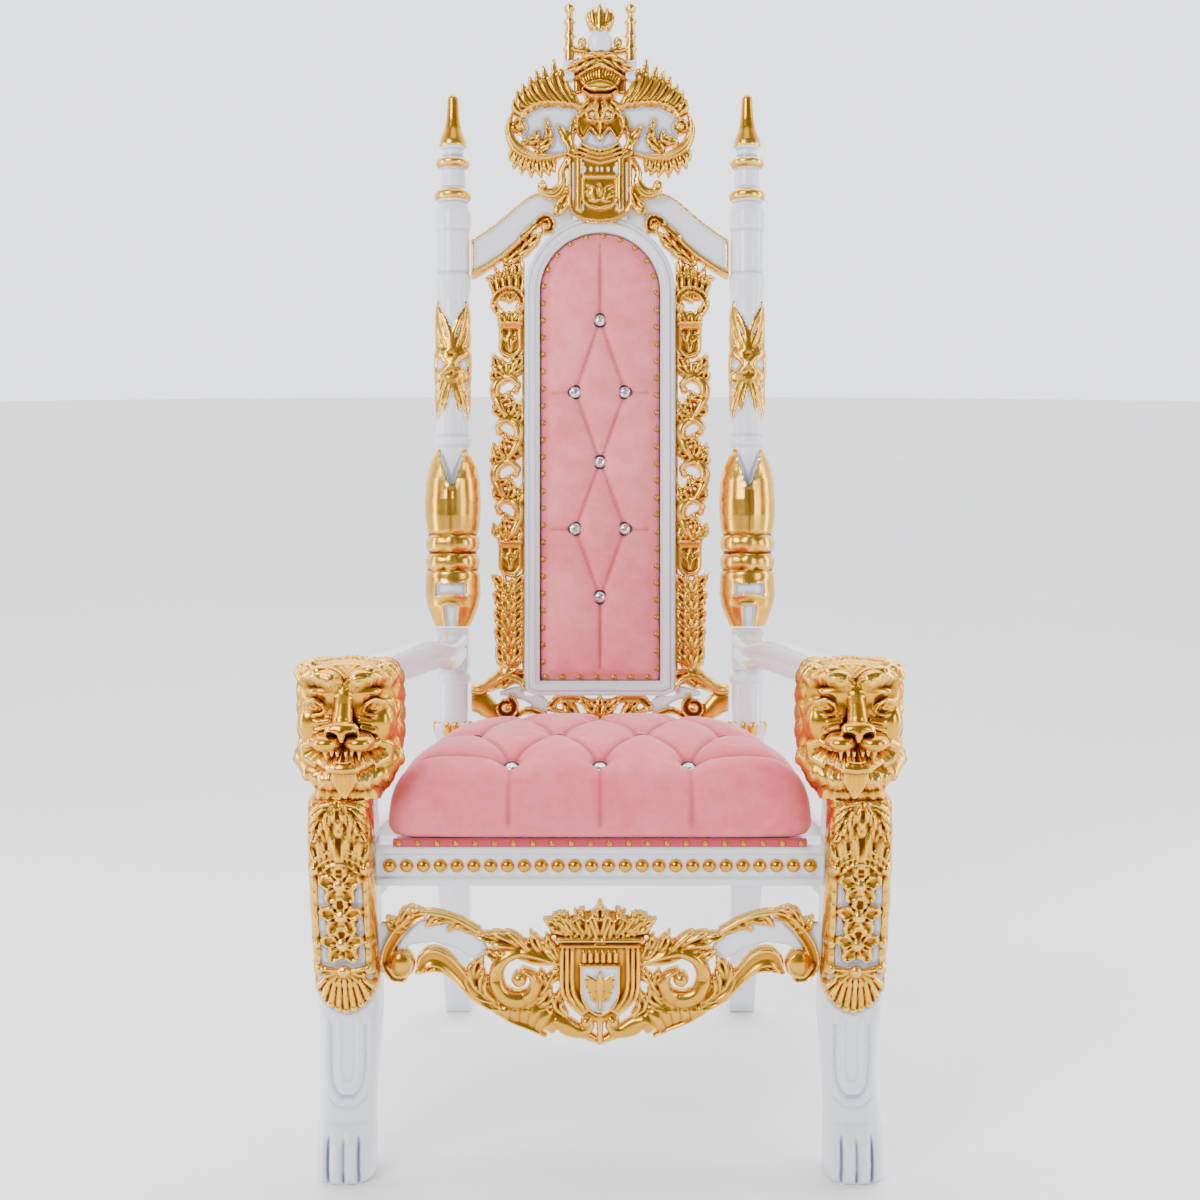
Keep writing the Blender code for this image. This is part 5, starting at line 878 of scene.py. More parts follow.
# %% The drawing of the openwork strips
def carve_fretwork(c):
    """The openwork strip beside the back's frame, with x out from the frame."""
    c.ribbon([(1.2, 262), (1.2, 690)], 1.2, 3, 6)
    # Flames and the arched scroll
    for x, tip, lean in ((4, 256, 0), (11, 258, 1), (18, 262, 2), (25, 268, 4), (32, 278, 6)):
        c.leaf([(x * 0.8 + 2, 297), (x, 280), (x + lean, tip)], [3, 4.4, 1.2], 2, 5, 11, cut=0.2)
    c.ribbon([(4, 309), (3, 299), (10, 291), (20, 291), (28, 297), (32, 307)], [3, 3, 3, 3, 3, 2], 6, 13,
             "rolled")
    c.dome((5, 306), (4.6, 4.6), 6, 13)
    c.dome((15.5, 300), (4, 3.4), 5, 10)
    c.leaf([(32, 300), (27, 310), (18, 316)], [2, 4, 2], 3, 5, 11)
    c.ribbon([(6, 310), (10, 313), (18, 317)], 2, 5, 9)
    for top in (316, 534):
        carve_small_shield(c, 14.5, top)
    # Leaves and C-scrolls between the shields
    for x, bend, tip in ((3, 8, 356), (31, 26, 355), (10, 13, 359), (24, 21, 359)):
        c.leaf([(16.5, 377), (bend, 368), (x, tip)], [3, 5.5, 1.8], 3, 5, 12)
    side = 1
    for top in (376, 418, 460, 498):
        x_in, x_out = (7, 29) if side > 0 else (27, 6)
        mid = (x_in + x_out) / 2
        c.ribbon([(x_in + side * 2, top + 15), (x_in, top + 8), (mid - side * 2, top + 1.5),
                  (x_out - side, top + 8),
                  (x_out, top + 20), (mid + side * 5, top + 33), (mid - side, top + 42)],
                 [1.8, 2.8, 3.6, 4.4, 4.2, 3.2, 2], 6, 13, 3)
        c.dome((x_in + side * 2, top + 14), (4, 4), 6, 14)
        c.leaf([(x_out - side * 3, top + 6), (x_out + side * 2, top - 1), (x_out - side * 2, top - 6)],
               [2.4, 3.8, 1.2], 2, 5, 12)
        c.leaf([(x_out, top + 20), (mid + side * 3, top + 22), (mid - side * 3, top + 15)],
               [2.4, 4, 1.4], 3, 5, 12)
        c.leaf([(mid - side, top + 40), (mid - side * 5, top + 31), (mid - side * 5, top + 20)],
               [2.6, 4.6, 1.4], 3, 5, 12)
        c.leaf([(mid - side * 2, top + 41), (x_in - side * 1, top + 35), (x_in - side * 4, top + 25)],
               [2.4, 4, 1.4], 3, 5, 11)
        c.leaf([(mid + side * 2, top + 37), (x_out - side * 1, top + 36), (x_out + side * 2, top + 29)],
               [2, 3.6, 1.2], 2, 5, 11)
        side = -side
    # The chain of leaves below
    for step, top in enumerate((575, 593, 611, 629, 647)):
        width = 15 - step
        for way in (-1, 1):
            c.leaf([(16, top + 23), (16 + way * 6, top + 12), (16 + way * width, top)], [3, 5.6, 2.4], 3, 4,
                   10)
            c.leaf([(16, top + 21), (16 + way * 3, top + 11), (16 + way * 5.5, top + 1)], [2.4, 3.8, 1.6], 2,
                   6, 12)
    c.ribbon([(2, 672), (16, 672), (30, 674)], [3, 4, 3], 5, 9)


def carve_small_shield(c, x, top):
    """A small crowned shield in the openwork."""
    c.ribbon([(x - 11, top + 8), (x + 11, top + 8)], 1.7, 8, 12)
    for shift in (-7.5, 0, 7.5):
        c.leaf([(x + shift * 0.8, top + 8), (x + shift * 1.1, top)], [3.8, 4.4], 2, 6, 11)
    shield = np.array(vee(12, top + 8, top + 43, top + 33)) + [x, 0]
    c.panel(shield, 6, 10, 1.4)
    inner = np.array(vee(8.2, top + 13.5, top + 38, top + 31)) + [x, 0]
    c.height[c.within(inner) > 0] = 7.6
    c.leaf([(x, top + 35), (x, top + 25), (x, top + 15)], [1.4, 2.6, 1], 2, 7.6, 10.5)
    for side in (-1, 1):
        c.leaf([(x, top + 28), (x + side * 4, top + 22), (x + side * 6.6, top + 17)], [1.4, 2.4, 1], 2, 7.6,
               10)

# %% The drawing of the lower rail
def carve_lower_rail(c):
    """The openwork rail between the posts below the back's frame."""
    c.ribbon([(132, 688), (118, 688), (103, 681), (90, 672), (76, 668)], [4, 4.5, 7, 8, 5], 5, 12, 5)
    c.ribbon([(132, 700), (120, 702), (108, 712), (94, 722), (84, 720)], [9.5, 10, 8, 6, 3], 5, 11)
    c.ribbon([(132, 690), (118, 691), (107, 684), (94, 676), (80, 680), (75, 690)], [3, 3, 3, 3, 3.4, 2], 8,
             14)
    c.volute((93.5, 707), 13, -120, -1.0, 7, 16)
    c.leaf([(96, 684), (86, 675), (74, 678), (72, 690)], [4, 8, 8, 2], 5, 6, 13)
    c.ribbon([(98, 693), (84, 692), (70, 695), (58, 704), (46, 708)], [2, 5, 6.5, 6, 3], 5, 8, "flat",
             gilt=0)
    c.ribbon([(84, 716), (72, 710), (58, 714), (48, 720), (36, 722)], [2.4, 3.4, 3.4, 3.4, 3], 6, 12,
             "rolled")
    c.ribbon([(50, 706), (40, 698), (24, 698), (12, 702), (0, 702)], [3, 4.4, 4, 3.6, 3.6], 6, 12, "rolled")
    c.ribbon([(50, 708), (36, 713), (18, 716), (0, 715)], [2.4, 3, 3, 3], 6, 12)
    c.leaf([(0, 716), (8, 708), (19, 700)], [4, 6, 2], 3, 6, 13)
    c.leaf([(0, 718), (0, 708), (0, 697)], [5, 6, 2], 3, 7, 14)
    c.leaf([(22, 716), (30, 708), (38, 700)], [3, 5.6, 2], 3, 6, 12)
    c.ribbon([(0, 722), (20, 723), (44, 722)], [4, 3.6, 3], 4, 8)

# %% The drawing of the shoulders
def carve_top_rail(c, half_span):
    """The S-shaped shoulders from the posts up to the crest, and the field behind the crest's foot."""
    upper = [(half_span, 241.5), (120, 236.5), (100, 222), (85, 209), (73, 199.5), (63, 195), (50, 192),
             (0, 190)]
    lower = [(half_span, 275), (120, 271), (100, 258), (85, 245.5), (74, 234), (65, 226), (55, 219)]
    field = list(smooth_curve(upper, 5)) + [(0, 250), (40, 250)] + list(smooth_curve(lower, 5)[::-1])
    c.panel(field, 7, 10, 2, gilt=0)
    c.ribbon(upper[:7], 1.4, 7, 13)
    c.ribbon(lower[:6], [3.4, 3.2, 3, 3, 3, 3], 6, 13)
    c.ribbon([(half_span - 1.6, 244), (half_span - 1.6, 273)], 1.6, 7, 12.5)
    c.ribbon([(78, 238), (66, 227), (56, 218.5), (49, 221), (49, 230), (56, 232)],
             [3, 3, 3, 3, 2.8, 2], 7, 15, "rolled")
    c.dome((55, 227), (4.4, 4.4), 7, 15)
    c.leaf([(92, 262), (78, 252), (66, 240), (60, 234)], [4.5, 5, 5, 2], 5, 6, 12)

# %% Sizes of the boards and the frame
FINE = 0.9                            # the grid's cell, in drawing units
FULLER = {"top_rail": 1.15, "fretwork": 1.25, "lower_rail": 1.15, "apron": 1.16, "post": 1.4}
FRAME_OUT = 0.1343
FRAME_FACE = 0.0266
FRAME_SPRING = 0.827
FRAME_FOOT = 0.107
FRAME_FRONT = 0.016
FRAME_BACK = 0.014
BOARD_BACK = 0.010
POST_UNIT = 0.0017906                 # one unit of the posts' radius
POST_WIDEST = 18.5                    # the radius of the posts where boards meet them
POST_SIDE = (POST_X - POST_WIDEST * POST_UNIT - GAP) / BACK_ACROSS
FRET_FOOT = 668
FRET_WIDE = 44
CLEARANCE = 0.4                       # drawing units that boards keep from each other


def frame_corners(steps=24):
    """The arch's outline on the sheet of the back."""
    corners = [(-FRAME_OUT, FRAME_FOOT), (FRAME_OUT, FRAME_FOOT)]
    corners += [(FRAME_OUT * math.cos(angle), FRAME_SPRING + FRAME_OUT * math.sin(angle))
                for angle in np.linspace(0, math.pi, steps + 1)]
    return [(x / BACK_ACROSS, DRAWN_TURN - z / BACK_DOWN) for x, z in corners]


def trimmed(c, outline):
    """Cuts the board back where another piece stands."""
    c.inside = np.minimum(c.inside, -c.within(outline) - CLEARANCE)


def ended(c, edge):
    """Ends the board at a straight side."""
    c.inside = np.minimum(c.inside, edge - c.x[None, :])

# %% The crest
def crest_board():
    c = Carving((0, 96), (2, 230), FINE)
    carve_crest(c)
    return board("crest_carving", c.mirrored(), on_the_back(-FRAME_FRONT - GAP, CREST_RELIEF), CARVED,
                 "gilt_wood",
                 "crest")


crest_board()

# %% The shoulders
def top_rail_board():
    c = Carving((0, POST_SIDE + 3), (150, 282), FINE, FULLER["top_rail"])
    carve_top_rail(c, POST_SIDE)
    c.panel([(0, 160), (27, 160), (27, 222), (0, 222)], 0, (BOARD_BACK + FRAME_FRONT) / BACK_RELIEF, 0.1,
            gilt=0)
    ended(c, POST_SIDE)
    trimmed(c, frame_corners())
    return board("shoulder_rail_carving", c.mirrored(), on_the_back(BOARD_BACK), CARVED, "white_wood",
                 "top_rail")


top_rail_board()

# %% The openwork strips
def fretwork_boards():
    first = (FRAME_OUT + 2 * GAP) / BACK_ACROSS
    for side, way in SIDES:
        c = Carving((-1.5, FRET_WIDE), (244, FRET_FOOT), FINE, FULLER["fretwork"])
        carve_fretwork(c)
        c.x = c.x + first
        top = Carving((first - 1.5, first + FRET_WIDE), (244, FRET_FOOT), FINE)
        carve_top_rail(top, POST_SIDE)
        c.inside = np.minimum(c.inside, c.x[None, :] - first)
        c.inside = np.minimum(c.inside, -top.inside - 0.5)
        board(f"fretwork_carving_{side}", c, on_the_back(BOARD_BACK, way=way), CARVED, "gilt_wood",
              f"fretwork_{side}", flip=way < 0)


fretwork_boards()

# %% The lower rail
def lower_rail_board():
    c = Carving((0, POST_SIDE + 3), (655, 730), FINE, FULLER["lower_rail"])
    carve_lower_rail(c)
    ended(c, POST_SIDE)
    trimmed(c, frame_corners())
    first = FRAME_OUT / BACK_ACROSS
    trimmed(c, [(first - 2, 0), (first + 42, 0), (first + 42, FRET_FOOT), (first - 2, FRET_FOOT)])
    return board("lower_rail_carving", c.mirrored(), on_the_back(BOARD_BACK), CARVED, "gilt_wood",
                 "lower_rail")


lower_rail_board()

# %% The apron
APRON_HALF = 222.0
APRON_DRAWN_TOP = 904
APRON_TOP = 0.4204
APRON_DOWN = 0.00155
APRON_DEPTH = 0.0012
APRON_REAR = 0.062 + DEPTH_SHIFT
LEG_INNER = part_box("apron")[1].x


def on_the_apron(x, y, high):
    return np.column_stack([x * LEG_INNER / APRON_HALF, APRON_REAR - high * APRON_DEPTH,
                            APRON_TOP - (y - APRON_DRAWN_TOP) * APRON_DOWN])


def apron_board():
    c = Carving((0, APRON_HALF + 3), (898, 1050), FINE, FULLER["apron"])
    carve_apron(c)
    c.panel([(209, 925), (230, 925), (230, 975), (211, 975)], 5, 9, 2, gilt=0)
    ended(c, APRON_HALF)
    return board("apron_carving", c.mirrored(), on_the_apron, CARVED, "gilt_wood", "apron")


apron_board()

# %% [markdown]
# ## Drawn sections
# Much of the joinery is straight work: a section is drawn once and taken along its line. It starts as a
# flat primitive, is extruded in edit mode through its stations, and has its edges eased with a bevel.
# %% Drawing a section out through stations
def drawn_through(name, sections, look, slot, nodes=(), ease=0.0, segments=2, angle=40):
    """Extrudes a first outline through the others, which all have as many corners."""
    deselected()
    bpy.ops.mesh.primitive_circle_add(vertices=len(sections[0]), radius=1, fill_type="NGON")
    made = bpy.context.object
    made.name = name
    bpy.ops.object.mode_set(mode="EDIT")
    mesh = bmesh.from_edit_mesh(made.data)
    mesh.verts.ensure_lookup_table()
    for vert, place in zip(list(mesh.verts), sections[0]):
        vert.co = Vector(place)
    bmesh.update_edit_mesh(made.data)
    for last, section in zip(sections, sections[1:]):
        bpy.ops.mesh.extrude_region_move()
        mesh = bmesh.from_edit_mesh(made.data)
        for vert in [v for v in mesh.verts if v.select]:
            nearest = min(range(len(last)), key=lambda i: (Vector(last[i]) - vert.co).length_squared)
            vert.co = Vector(section[nearest])
        bmesh.update_edit_mesh(made.data)
    bpy.ops.object.mode_set(mode="OBJECT")
    settled(made)
    outward(made)
    if ease:
        eased_edges(made, ease, segments, 50)
    smooth(made, angle)
    return dressed(made, look, slot, *nodes)

# %% [markdown]
# ## The rear posts
# A post is turned on a lathe down to the arm, and carved over the turning: a ribbon with a knot, a tulip
# of two leaves, lobed rings and a clasp. The carving wraps round, so its drawing is rolled onto the
# turned profile: each point's distance from the middle is the profile's radius and the carving's height.
# %% The post's profile and its carving
POST_PROFILE = [(93, 0.6), (95, 3.4), (98, 5.4), (110, 5.9), (120, 6.6), (129, 8.4), (136, 11.2),
                (142, 13.4),
                (147, 13.9), (148.6, 12.6), (149, 10.6), (158, 10.6), (159, 13.6), (161, 16.4),
                (163.7, 17.2),
                (166.4, 16.4), (168.5, 13.6), (170, 12), (176, 12.2), (189.5, 13.2), (191.5, 16),
                (194, 17.9),
                (196.4, 18.4), (199, 17.9), (201.6, 16), (203.5, 14.2), (207, 15.4), (213, 17.4),
                (216, 17.7),
                (229, 17.6), (230, 16.6), (231, 16.4), (275, 16.4), (276, 17.6), (279, 18.2), (287, 17.8),
                (291, 16.9), (303, 16.2), (430, 16.2), (437, 16.2), (438.5, 17.8), (441, 18.2), (444, 17.8),
                (446, 16.2), (452, 16.1), (456, 18.6), (464, 22.2), (480, 26.2), (500, 27.8), (516, 27.4),
                (532, 25.4), (534.5, 24), (536, 24.4), (551, 24.4), (553, 23.6), (555, 24.4), (570, 24.6),
                (571.5, 26), (573, 26.8), (594, 27.6), (606, 25.5), (618, 21), (627, 16.8)]
BLOCK_HALF = 0.0286                   # half width of the square blocks
POST_NECK = 16.2                      # the plain post's radius, which shows in the notches
POST_TIP, POST_FOOT = 93, 627         # where the turning starts and ends in its drawing
OPENING_DEPTH = 2.2                   # how deep the clasp's white openings lie
TURN_SIDES = 84
WRAP = 26.5                           # half of the drawing's width, for half the way round

# %% The carving on the post
POST_RIBBONS = (
    ([(17, 303), (16.5, 318), (12, 336), (6, 353)], [0.9, 3.2, 3.8, 3.2], 2.6, "rolled"),
    ([(16, 308), (8, 322), (2.4, 336), (1.4, 352)], [0.8, 2.2, 2.2, 2.6], 2, "round"),
    ([(22, 310), (22, 330), (17, 352)], [0.9, 3, 3], 2.2, "rolled"),
    ([(6, 380), (11, 392), (15.5, 406), (17.5, 420)], [3, 3.4, 3.2, 0.9], 2.6, "rolled"),
    ([(2.5, 380), (5, 392), (8, 403), (8, 412)], [2.4, 2.8, 2.8, 0.9], 2.2, "rolled"),
    ([(20, 380), (23, 395), (24, 412)], [3, 3, 0.9], 2.2, "rolled"),
    ([(26, 356), (18, 353), (8, 354), (0, 351)], [3.4, 3.4, 3.4, 3.2], 3, "reeded"),
    ([(26, 377), (18, 379), (8, 378), (0, 381)], [3.4, 3.4, 3.4, 3.2], 3, "reeded"),
    ([(19, 354), (23, 366), (19, 378)], [3, 3, 3], 3.4, "reeded"))


def carve_post(c):
    """The gilded ribbon, tulip, rings and clasp; x is measured round the post from the front."""
    c.inside[:] = 5
    c.gilt[:] = 0
    c.gilt[(c.y < 148.8) | (np.abs(c.y - 163.7) < 4.6) | (np.abs(c.y - 196.4) < 4.8)] = 1
    for way in (-1, 1):
        for line, widths, high, shape in POST_RIBBONS:
            c.ribbon([(way * x, y) for x, y in line], widths, 0, high, shape)
    for way, high in ((1, 4.6), (-1, 3.8)):
        c.ribbon([(way * x, y) for x, y in ((-17, 354), (-8, 358), (0, 366), (8, 374), (17, 378))],
                 [3.4, 3.6, 3.8, 3.6, 3.4], 0, high, "reeded")
    # The tulip: gold, with the white post in the notch between the leaves
    c.gilt[(c.y > 449.5) & (c.y < 628)] = 1
    x, y = np.meshgrid(c.x, c.y)
    notch = c.within([(-14.5, 444), (14.5, 444), (11, 456), (6, 470), (1.6, 484), (0, 489), (-1.6, 484),
                      (-6, 470),
                      (-11, 456)])
    side_notch = c.within([(20, 444), (40, 444), (40, 488), (26.2, 484), (24, 470), (20.5, 456)])
    side_notch = np.maximum(side_notch, side_notch[:, ::-1])
    bare = (np.maximum(notch, side_notch) > 0) & (y > 449)
    rim = np.exp(-(np.maximum(notch, side_notch) + 0.9)**2 / 1.1) * (y > 452) * (y < 500)
    c.height += 0.9 * rim
    c.groove([(0, 489), (0, 512), (0, 533)], 0.7, -0.001)
    seam = np.exp(-(x / 0.8)**2) + np.exp(-((np.abs(x) - WRAP) / 0.8)**2)
    c.height += np.where((y > 486) & (y < 533), -1.4 * seam + 0.8 * np.exp(-((np.abs(x) - 2) / 0.9)**2), 0)
    for middle in (543.5, 562):
        for way in (-1, 1):
            c.dome((way * 12.6, middle), (9.6, 8.6), 0, 3.6)
            c.dome((way * 22.6, middle), (5.4, 8), 0, 2.6)
        c.dome((0, middle), (5, 8.8), 0, 3)
    window_mask = np.maximum(np.minimum(9 - np.abs(x), (3.6 + 0.3 * np.abs(x)) - np.abs(y - 589)), -9)
    slot_mask = np.minimum(5.2 - np.abs(x), y - (604 + 0.5 * np.clip(np.abs(x) - 2.5, 0, 9)**1.4))
    opening = np.maximum(window_mask, slot_mask)
    c.height += np.where(y > 574, 0.9 * np.exp(-(opening + 1.2)**2 / 1.6), 0)
    opened = (opening > 0) & (y > 574)
    c.gilt[opened | bare] = 0
    return bare, opened

# %% The turned column
def turned_post(side, way):
    """The turned and carved column, as a grid rolled round the post's line."""
    c = Carving((-WRAP, WRAP), (POST_TIP, POST_FOOT), 1.0, FULLER["post"])
    bare, opened = carve_post(c)
    fine = [(POST_TIP, 150, 1.8), (150, 205, 1.3), (205, 300, 2.4), (300, 424, 1.2), (424, 450, 1.8),
            (450, 500, 1.2),
            (500, POST_FOOT + 0.1, 1.3)]
    downs = np.concatenate([np.arange(a, b, step) for a, b, step in fine])
    turn = np.linspace(0, 2 * np.pi, TURN_SIDES, endpoint=False)
    radius = np.interp(downs, [p[0] for p in POST_PROFILE], [p[1] for p in POST_PROFILE])
    spread_x = (np.mod(turn / np.pi + 0.5, 1.0) * 2 - 1) * WRAP      # the drawing goes round twice
    cols = np.clip(np.round((spread_x - c.x[0]) / c.cell).astype(int), 0, len(c.x) - 1)
    rows = np.clip(np.round((downs - c.y[0]) / c.cell).astype(int), 0, len(c.y) - 1)
    high = softened(c.height)[np.ix_(rows, cols)]
    plain = np.minimum(radius, POST_NECK)[:, None]
    reach = np.where(bare[np.ix_(rows, cols)], plain, radius[:, None] + high)
    reach = np.where(opened[np.ix_(rows, cols)], radius[:, None] - OPENING_DEPTH, reach)
    gilt = c.gilt[np.ix_(rows, cols)]
    # At turn 0 and at a half turn the drawing's middle faces -Y and +Y
    angle = turn + np.pi
    x = way * POST_X + reach * POST_UNIT * np.sin(angle)[None, :]
    y = reach * POST_UNIT * np.cos(angle)[None, :]
    z = np.repeat((DRAWN_TURN - downs) * BACK_DOWN, len(turn)).reshape(len(downs), -1)
    points = leaned(np.stack([x, y, z], -1).reshape(-1, 3))
    count = len(turn)
    faces = skin(len(downs), count, flipped=True)
    faces.append(list(range(count)))
    faces.append(list(range((len(downs) - 1) * count, len(downs) * count))[::-1])
    made = from_arrays(f"turned_post_{side}", points, faces)
    outward(made)
    note(made, "gilt", np.zeros(len(made.data.vertices)))
    if len(made.data.vertices) == gilt.size:
        note(made, "gilt", gilt.ravel())
    note_hollows(made, 10, 0.0014)
    smooth(made, 60)
    return dressed(made, CARVED, "white_wood", f"rear_post_{side}")

# %% The sawn blocks and legs
SQUARE = ((-1, -1), (1, -1), (1, 1), (-1, 1))
REAR_LEG_STATIONS = ((0.46, 0.6105, BLOCK_HALF), (0.42, 0.6075, BLOCK_HALF), (0.38, 0.6065, BLOCK_HALF),
                     (0.33, 0.608, 0.0282), (0.28, 0.612, 0.0275), (0.22, 0.622, 0.0268),
                     (0.16, 0.634, 0.0262), (0.11, 0.648, 0.0254), (0.06, 0.663, 0.0246),
                     (0.003, 0.676, 0.024), (0.0, 0.676, 0.0228))


def sawn_leg(side, way):
    """The square block, the ring and the leg below: a square drawn out through its sections."""
    def square(down, size):
        return [in_world(way * POST_X + sx * size, sy * size, (DRAWN_TURN - down) * BACK_DOWN)
                for sx, sy in SQUARE]

    half = BLOCK_HALF
    block = [square(*at) for at in ((628, half - 0.002), (629, half), (668.5, half), (669.5, half - 0.002))]
    leg = [square(*at) for at in ((721, half - 0.003), (723, half), (728, half))]
    for height, depth, size in REAR_LEG_STATIONS:
        leg.append([(way * POST_X + sx * size, depth + DEPTH_SHIFT + sy * size, height) for sx,
                    sy in SQUARE])
    for name, sections in ((f"post_block_{side}", block), (f"rear_leg_{side}", leg)):
        drawn_through(name, sections, WHITE, "white_wood", (f"rear_post_{side}",), ease=0.0028, segments=3)

# %% Spinning a profile
def spun(name, profile, steps, look, slot, nodes, matrix):
    """A profile (radius, height) spun round the upright axis, as on a lathe, then put in its place."""
    deselected()
    bpy.ops.mesh.primitive_plane_add(size=1)
    made = bpy.context.object
    made.name = name
    bpy.ops.object.mode_set(mode="EDIT")
    bpy.ops.mesh.select_all(action="SELECT")
    bpy.ops.mesh.delete(type="VERT")
    mesh = bmesh.from_edit_mesh(made.data)
    line = [mesh.verts.new((radius, 0, height)) for radius, height in profile]
    for low, high in zip(line, line[1:]):
        mesh.edges.new((low, high))
    for part in list(mesh.verts) + list(mesh.edges):
        part.select_set(True)
    bmesh.update_edit_mesh(made.data)
    bpy.ops.mesh.spin(steps=steps, angle=2 * math.pi, center=(0, 0, 0), axis=(0, 0, 1))
    bpy.ops.object.mode_set(mode="OBJECT")
    settled(made, matrix)
    outward(made)
    smooth(made)
    return dressed(made, look, slot, *nodes)

# %% The ring and the petals at the post's foot
PETALS = 12
PETAL_REACH = 0.0292


def post_foot_ring(side, way):
    """The turned ring and neck between the block and the leg, and the gilded petals round its foot."""
    profile = [(0, 669.5), (0.0262, 669.5), (0.0272, 671), (0.0305, 673), (0.0322, 675), (0.0325, 677.5),
               (0.0322, 680), (0.0300, 682), (0.0272, 683.5), (0.0268, 686), (0.0268, 716), (0.0272, 722),
               (0, 722)]
    matrix = ON_THE_LEAN @ Matrix.Translation((way * POST_X, 0, 0))
    spun(f"post_neck_{side}", [(r, (DRAWN_TURN - down) * BACK_DOWN) for r, down in profile], 40, WHITE,
         "white_wood", (f"rear_post_{side}",), matrix)
    base = (DRAWN_TURN - 741) * BACK_DOWN
    deselected()
    bpy.ops.mesh.primitive_uv_sphere_add(segments=12, ring_count=8, radius=0.009)
    petal = bpy.context.object
    petals = []
    for number in range(PETALS):
        angle = (number + 0.5) * 2 * math.pi / PETALS
        petals.append(duplicate(petal, matrix @ Matrix.Rotation(angle, 4, "Z")
                                @ Matrix.Translation((0, -PETAL_REACH, base + 0.019))
                                @ Matrix.Rotation(math.radians(14), 4, "X")
                                @ Matrix.Diagonal((1.0, 0.6, 2.1, 1))))
    bpy.data.objects.remove(petal)
    made = joined(f"post_petals_{side}", petals)
    note_hollows(made, 4, 0.004)
    smooth(made, 60)
    return dressed(made, GOLD, "gilt_wood", f"rear_post_{side}")


for side_name, side_way in SIDES:
    turned_post(side_name, side_way)
    sawn_leg(side_name, side_way)
    post_foot_ring(side_name, side_way)

# %% [markdown]
# ## The front legs
# Each front leg is one piece of wood: a lion's paw and shin below, and above it a gilded front with a
# collar of leaves, four rosettes, balls and a shell. The outline is lofted through sections, and the
# carving pushes its front out by the height drawn for it.
# %% The legs' drawing and sections
LEG_X = 0.3733
LEG_HALF = 0.0463
LEG_DEPTH = 0.110
LEG_TOP = 0.590
PAW_HALF = 0.0455
LEG_ACROSS = 0.00144
LEG_DOWN = 0.0015
LEG_RELIEF = 0.0010
LEG_DRAWN_TOP = 805                   # the drawing's line that stands at the height LEG_DRAWN_AT
LEG_DRAWN_AT = 0.583
LEG_COLUMNS = 138
LEG_GROUND = 3                        # the height of the ground in the leg's drawing
LEG_STATIONS = [(0.000, 0.3803, PAW_HALF - 0.004, 0.006, 0.098, 2.6),
                (0.006, 0.3805, PAW_HALF, 0.001, 0.100, 2.6),
                (0.030, 0.3805, PAW_HALF, 0.000, 0.100, 2.6), (0.060, 0.3800, 0.0450, 0.006, 0.098, 2.7),
                (0.090, 0.3785, 0.0425, 0.018, 0.094, 2.8), (0.125, 0.3745, 0.0402, 0.024, 0.092, 3.2),
                (0.180, 0.3710, 0.0420, 0.021, 0.094, 3.6), (0.250, 0.3688, 0.0450, 0.014, 0.100, 4.5),
                (0.340, 0.3710, 0.0460, 0.006, 0.107, 5.5), (0.440, LEG_X, LEG_HALF, 0.002, LEG_DEPTH, 6.5),
                (0.530, LEG_X, LEG_HALF, 0.000, LEG_DEPTH, 6.5), (0.572, LEG_X, 0.0455, 0.000, LEG_DEPTH, 5),
                (LEG_TOP - GAP, LEG_X, 0.0440, 0.004, LEG_DEPTH, 5)]

# %% The drawing of the leg
def rosette(c, x, y):
    """An open flower: a ball in a ring of scooped petals with a raised rim."""
    c.dome((x, y), (17.4, 15.6), 4, 7)
    for step in range(5):
        angle = math.radians(72 * step - 90)
        c.ribbon([(x + 6.5 * math.cos(angle), y + 6 * math.sin(angle)),
                  (x + 12 * math.cos(angle), y + 11 * math.sin(angle)),
                  (x + 16.6 * math.cos(angle), y + 14.8 * math.sin(angle))], [3, 8.4, 6.4], 6, 13, "rolled")
    c.dome((x, y), (7, 6.8), 8, 17)


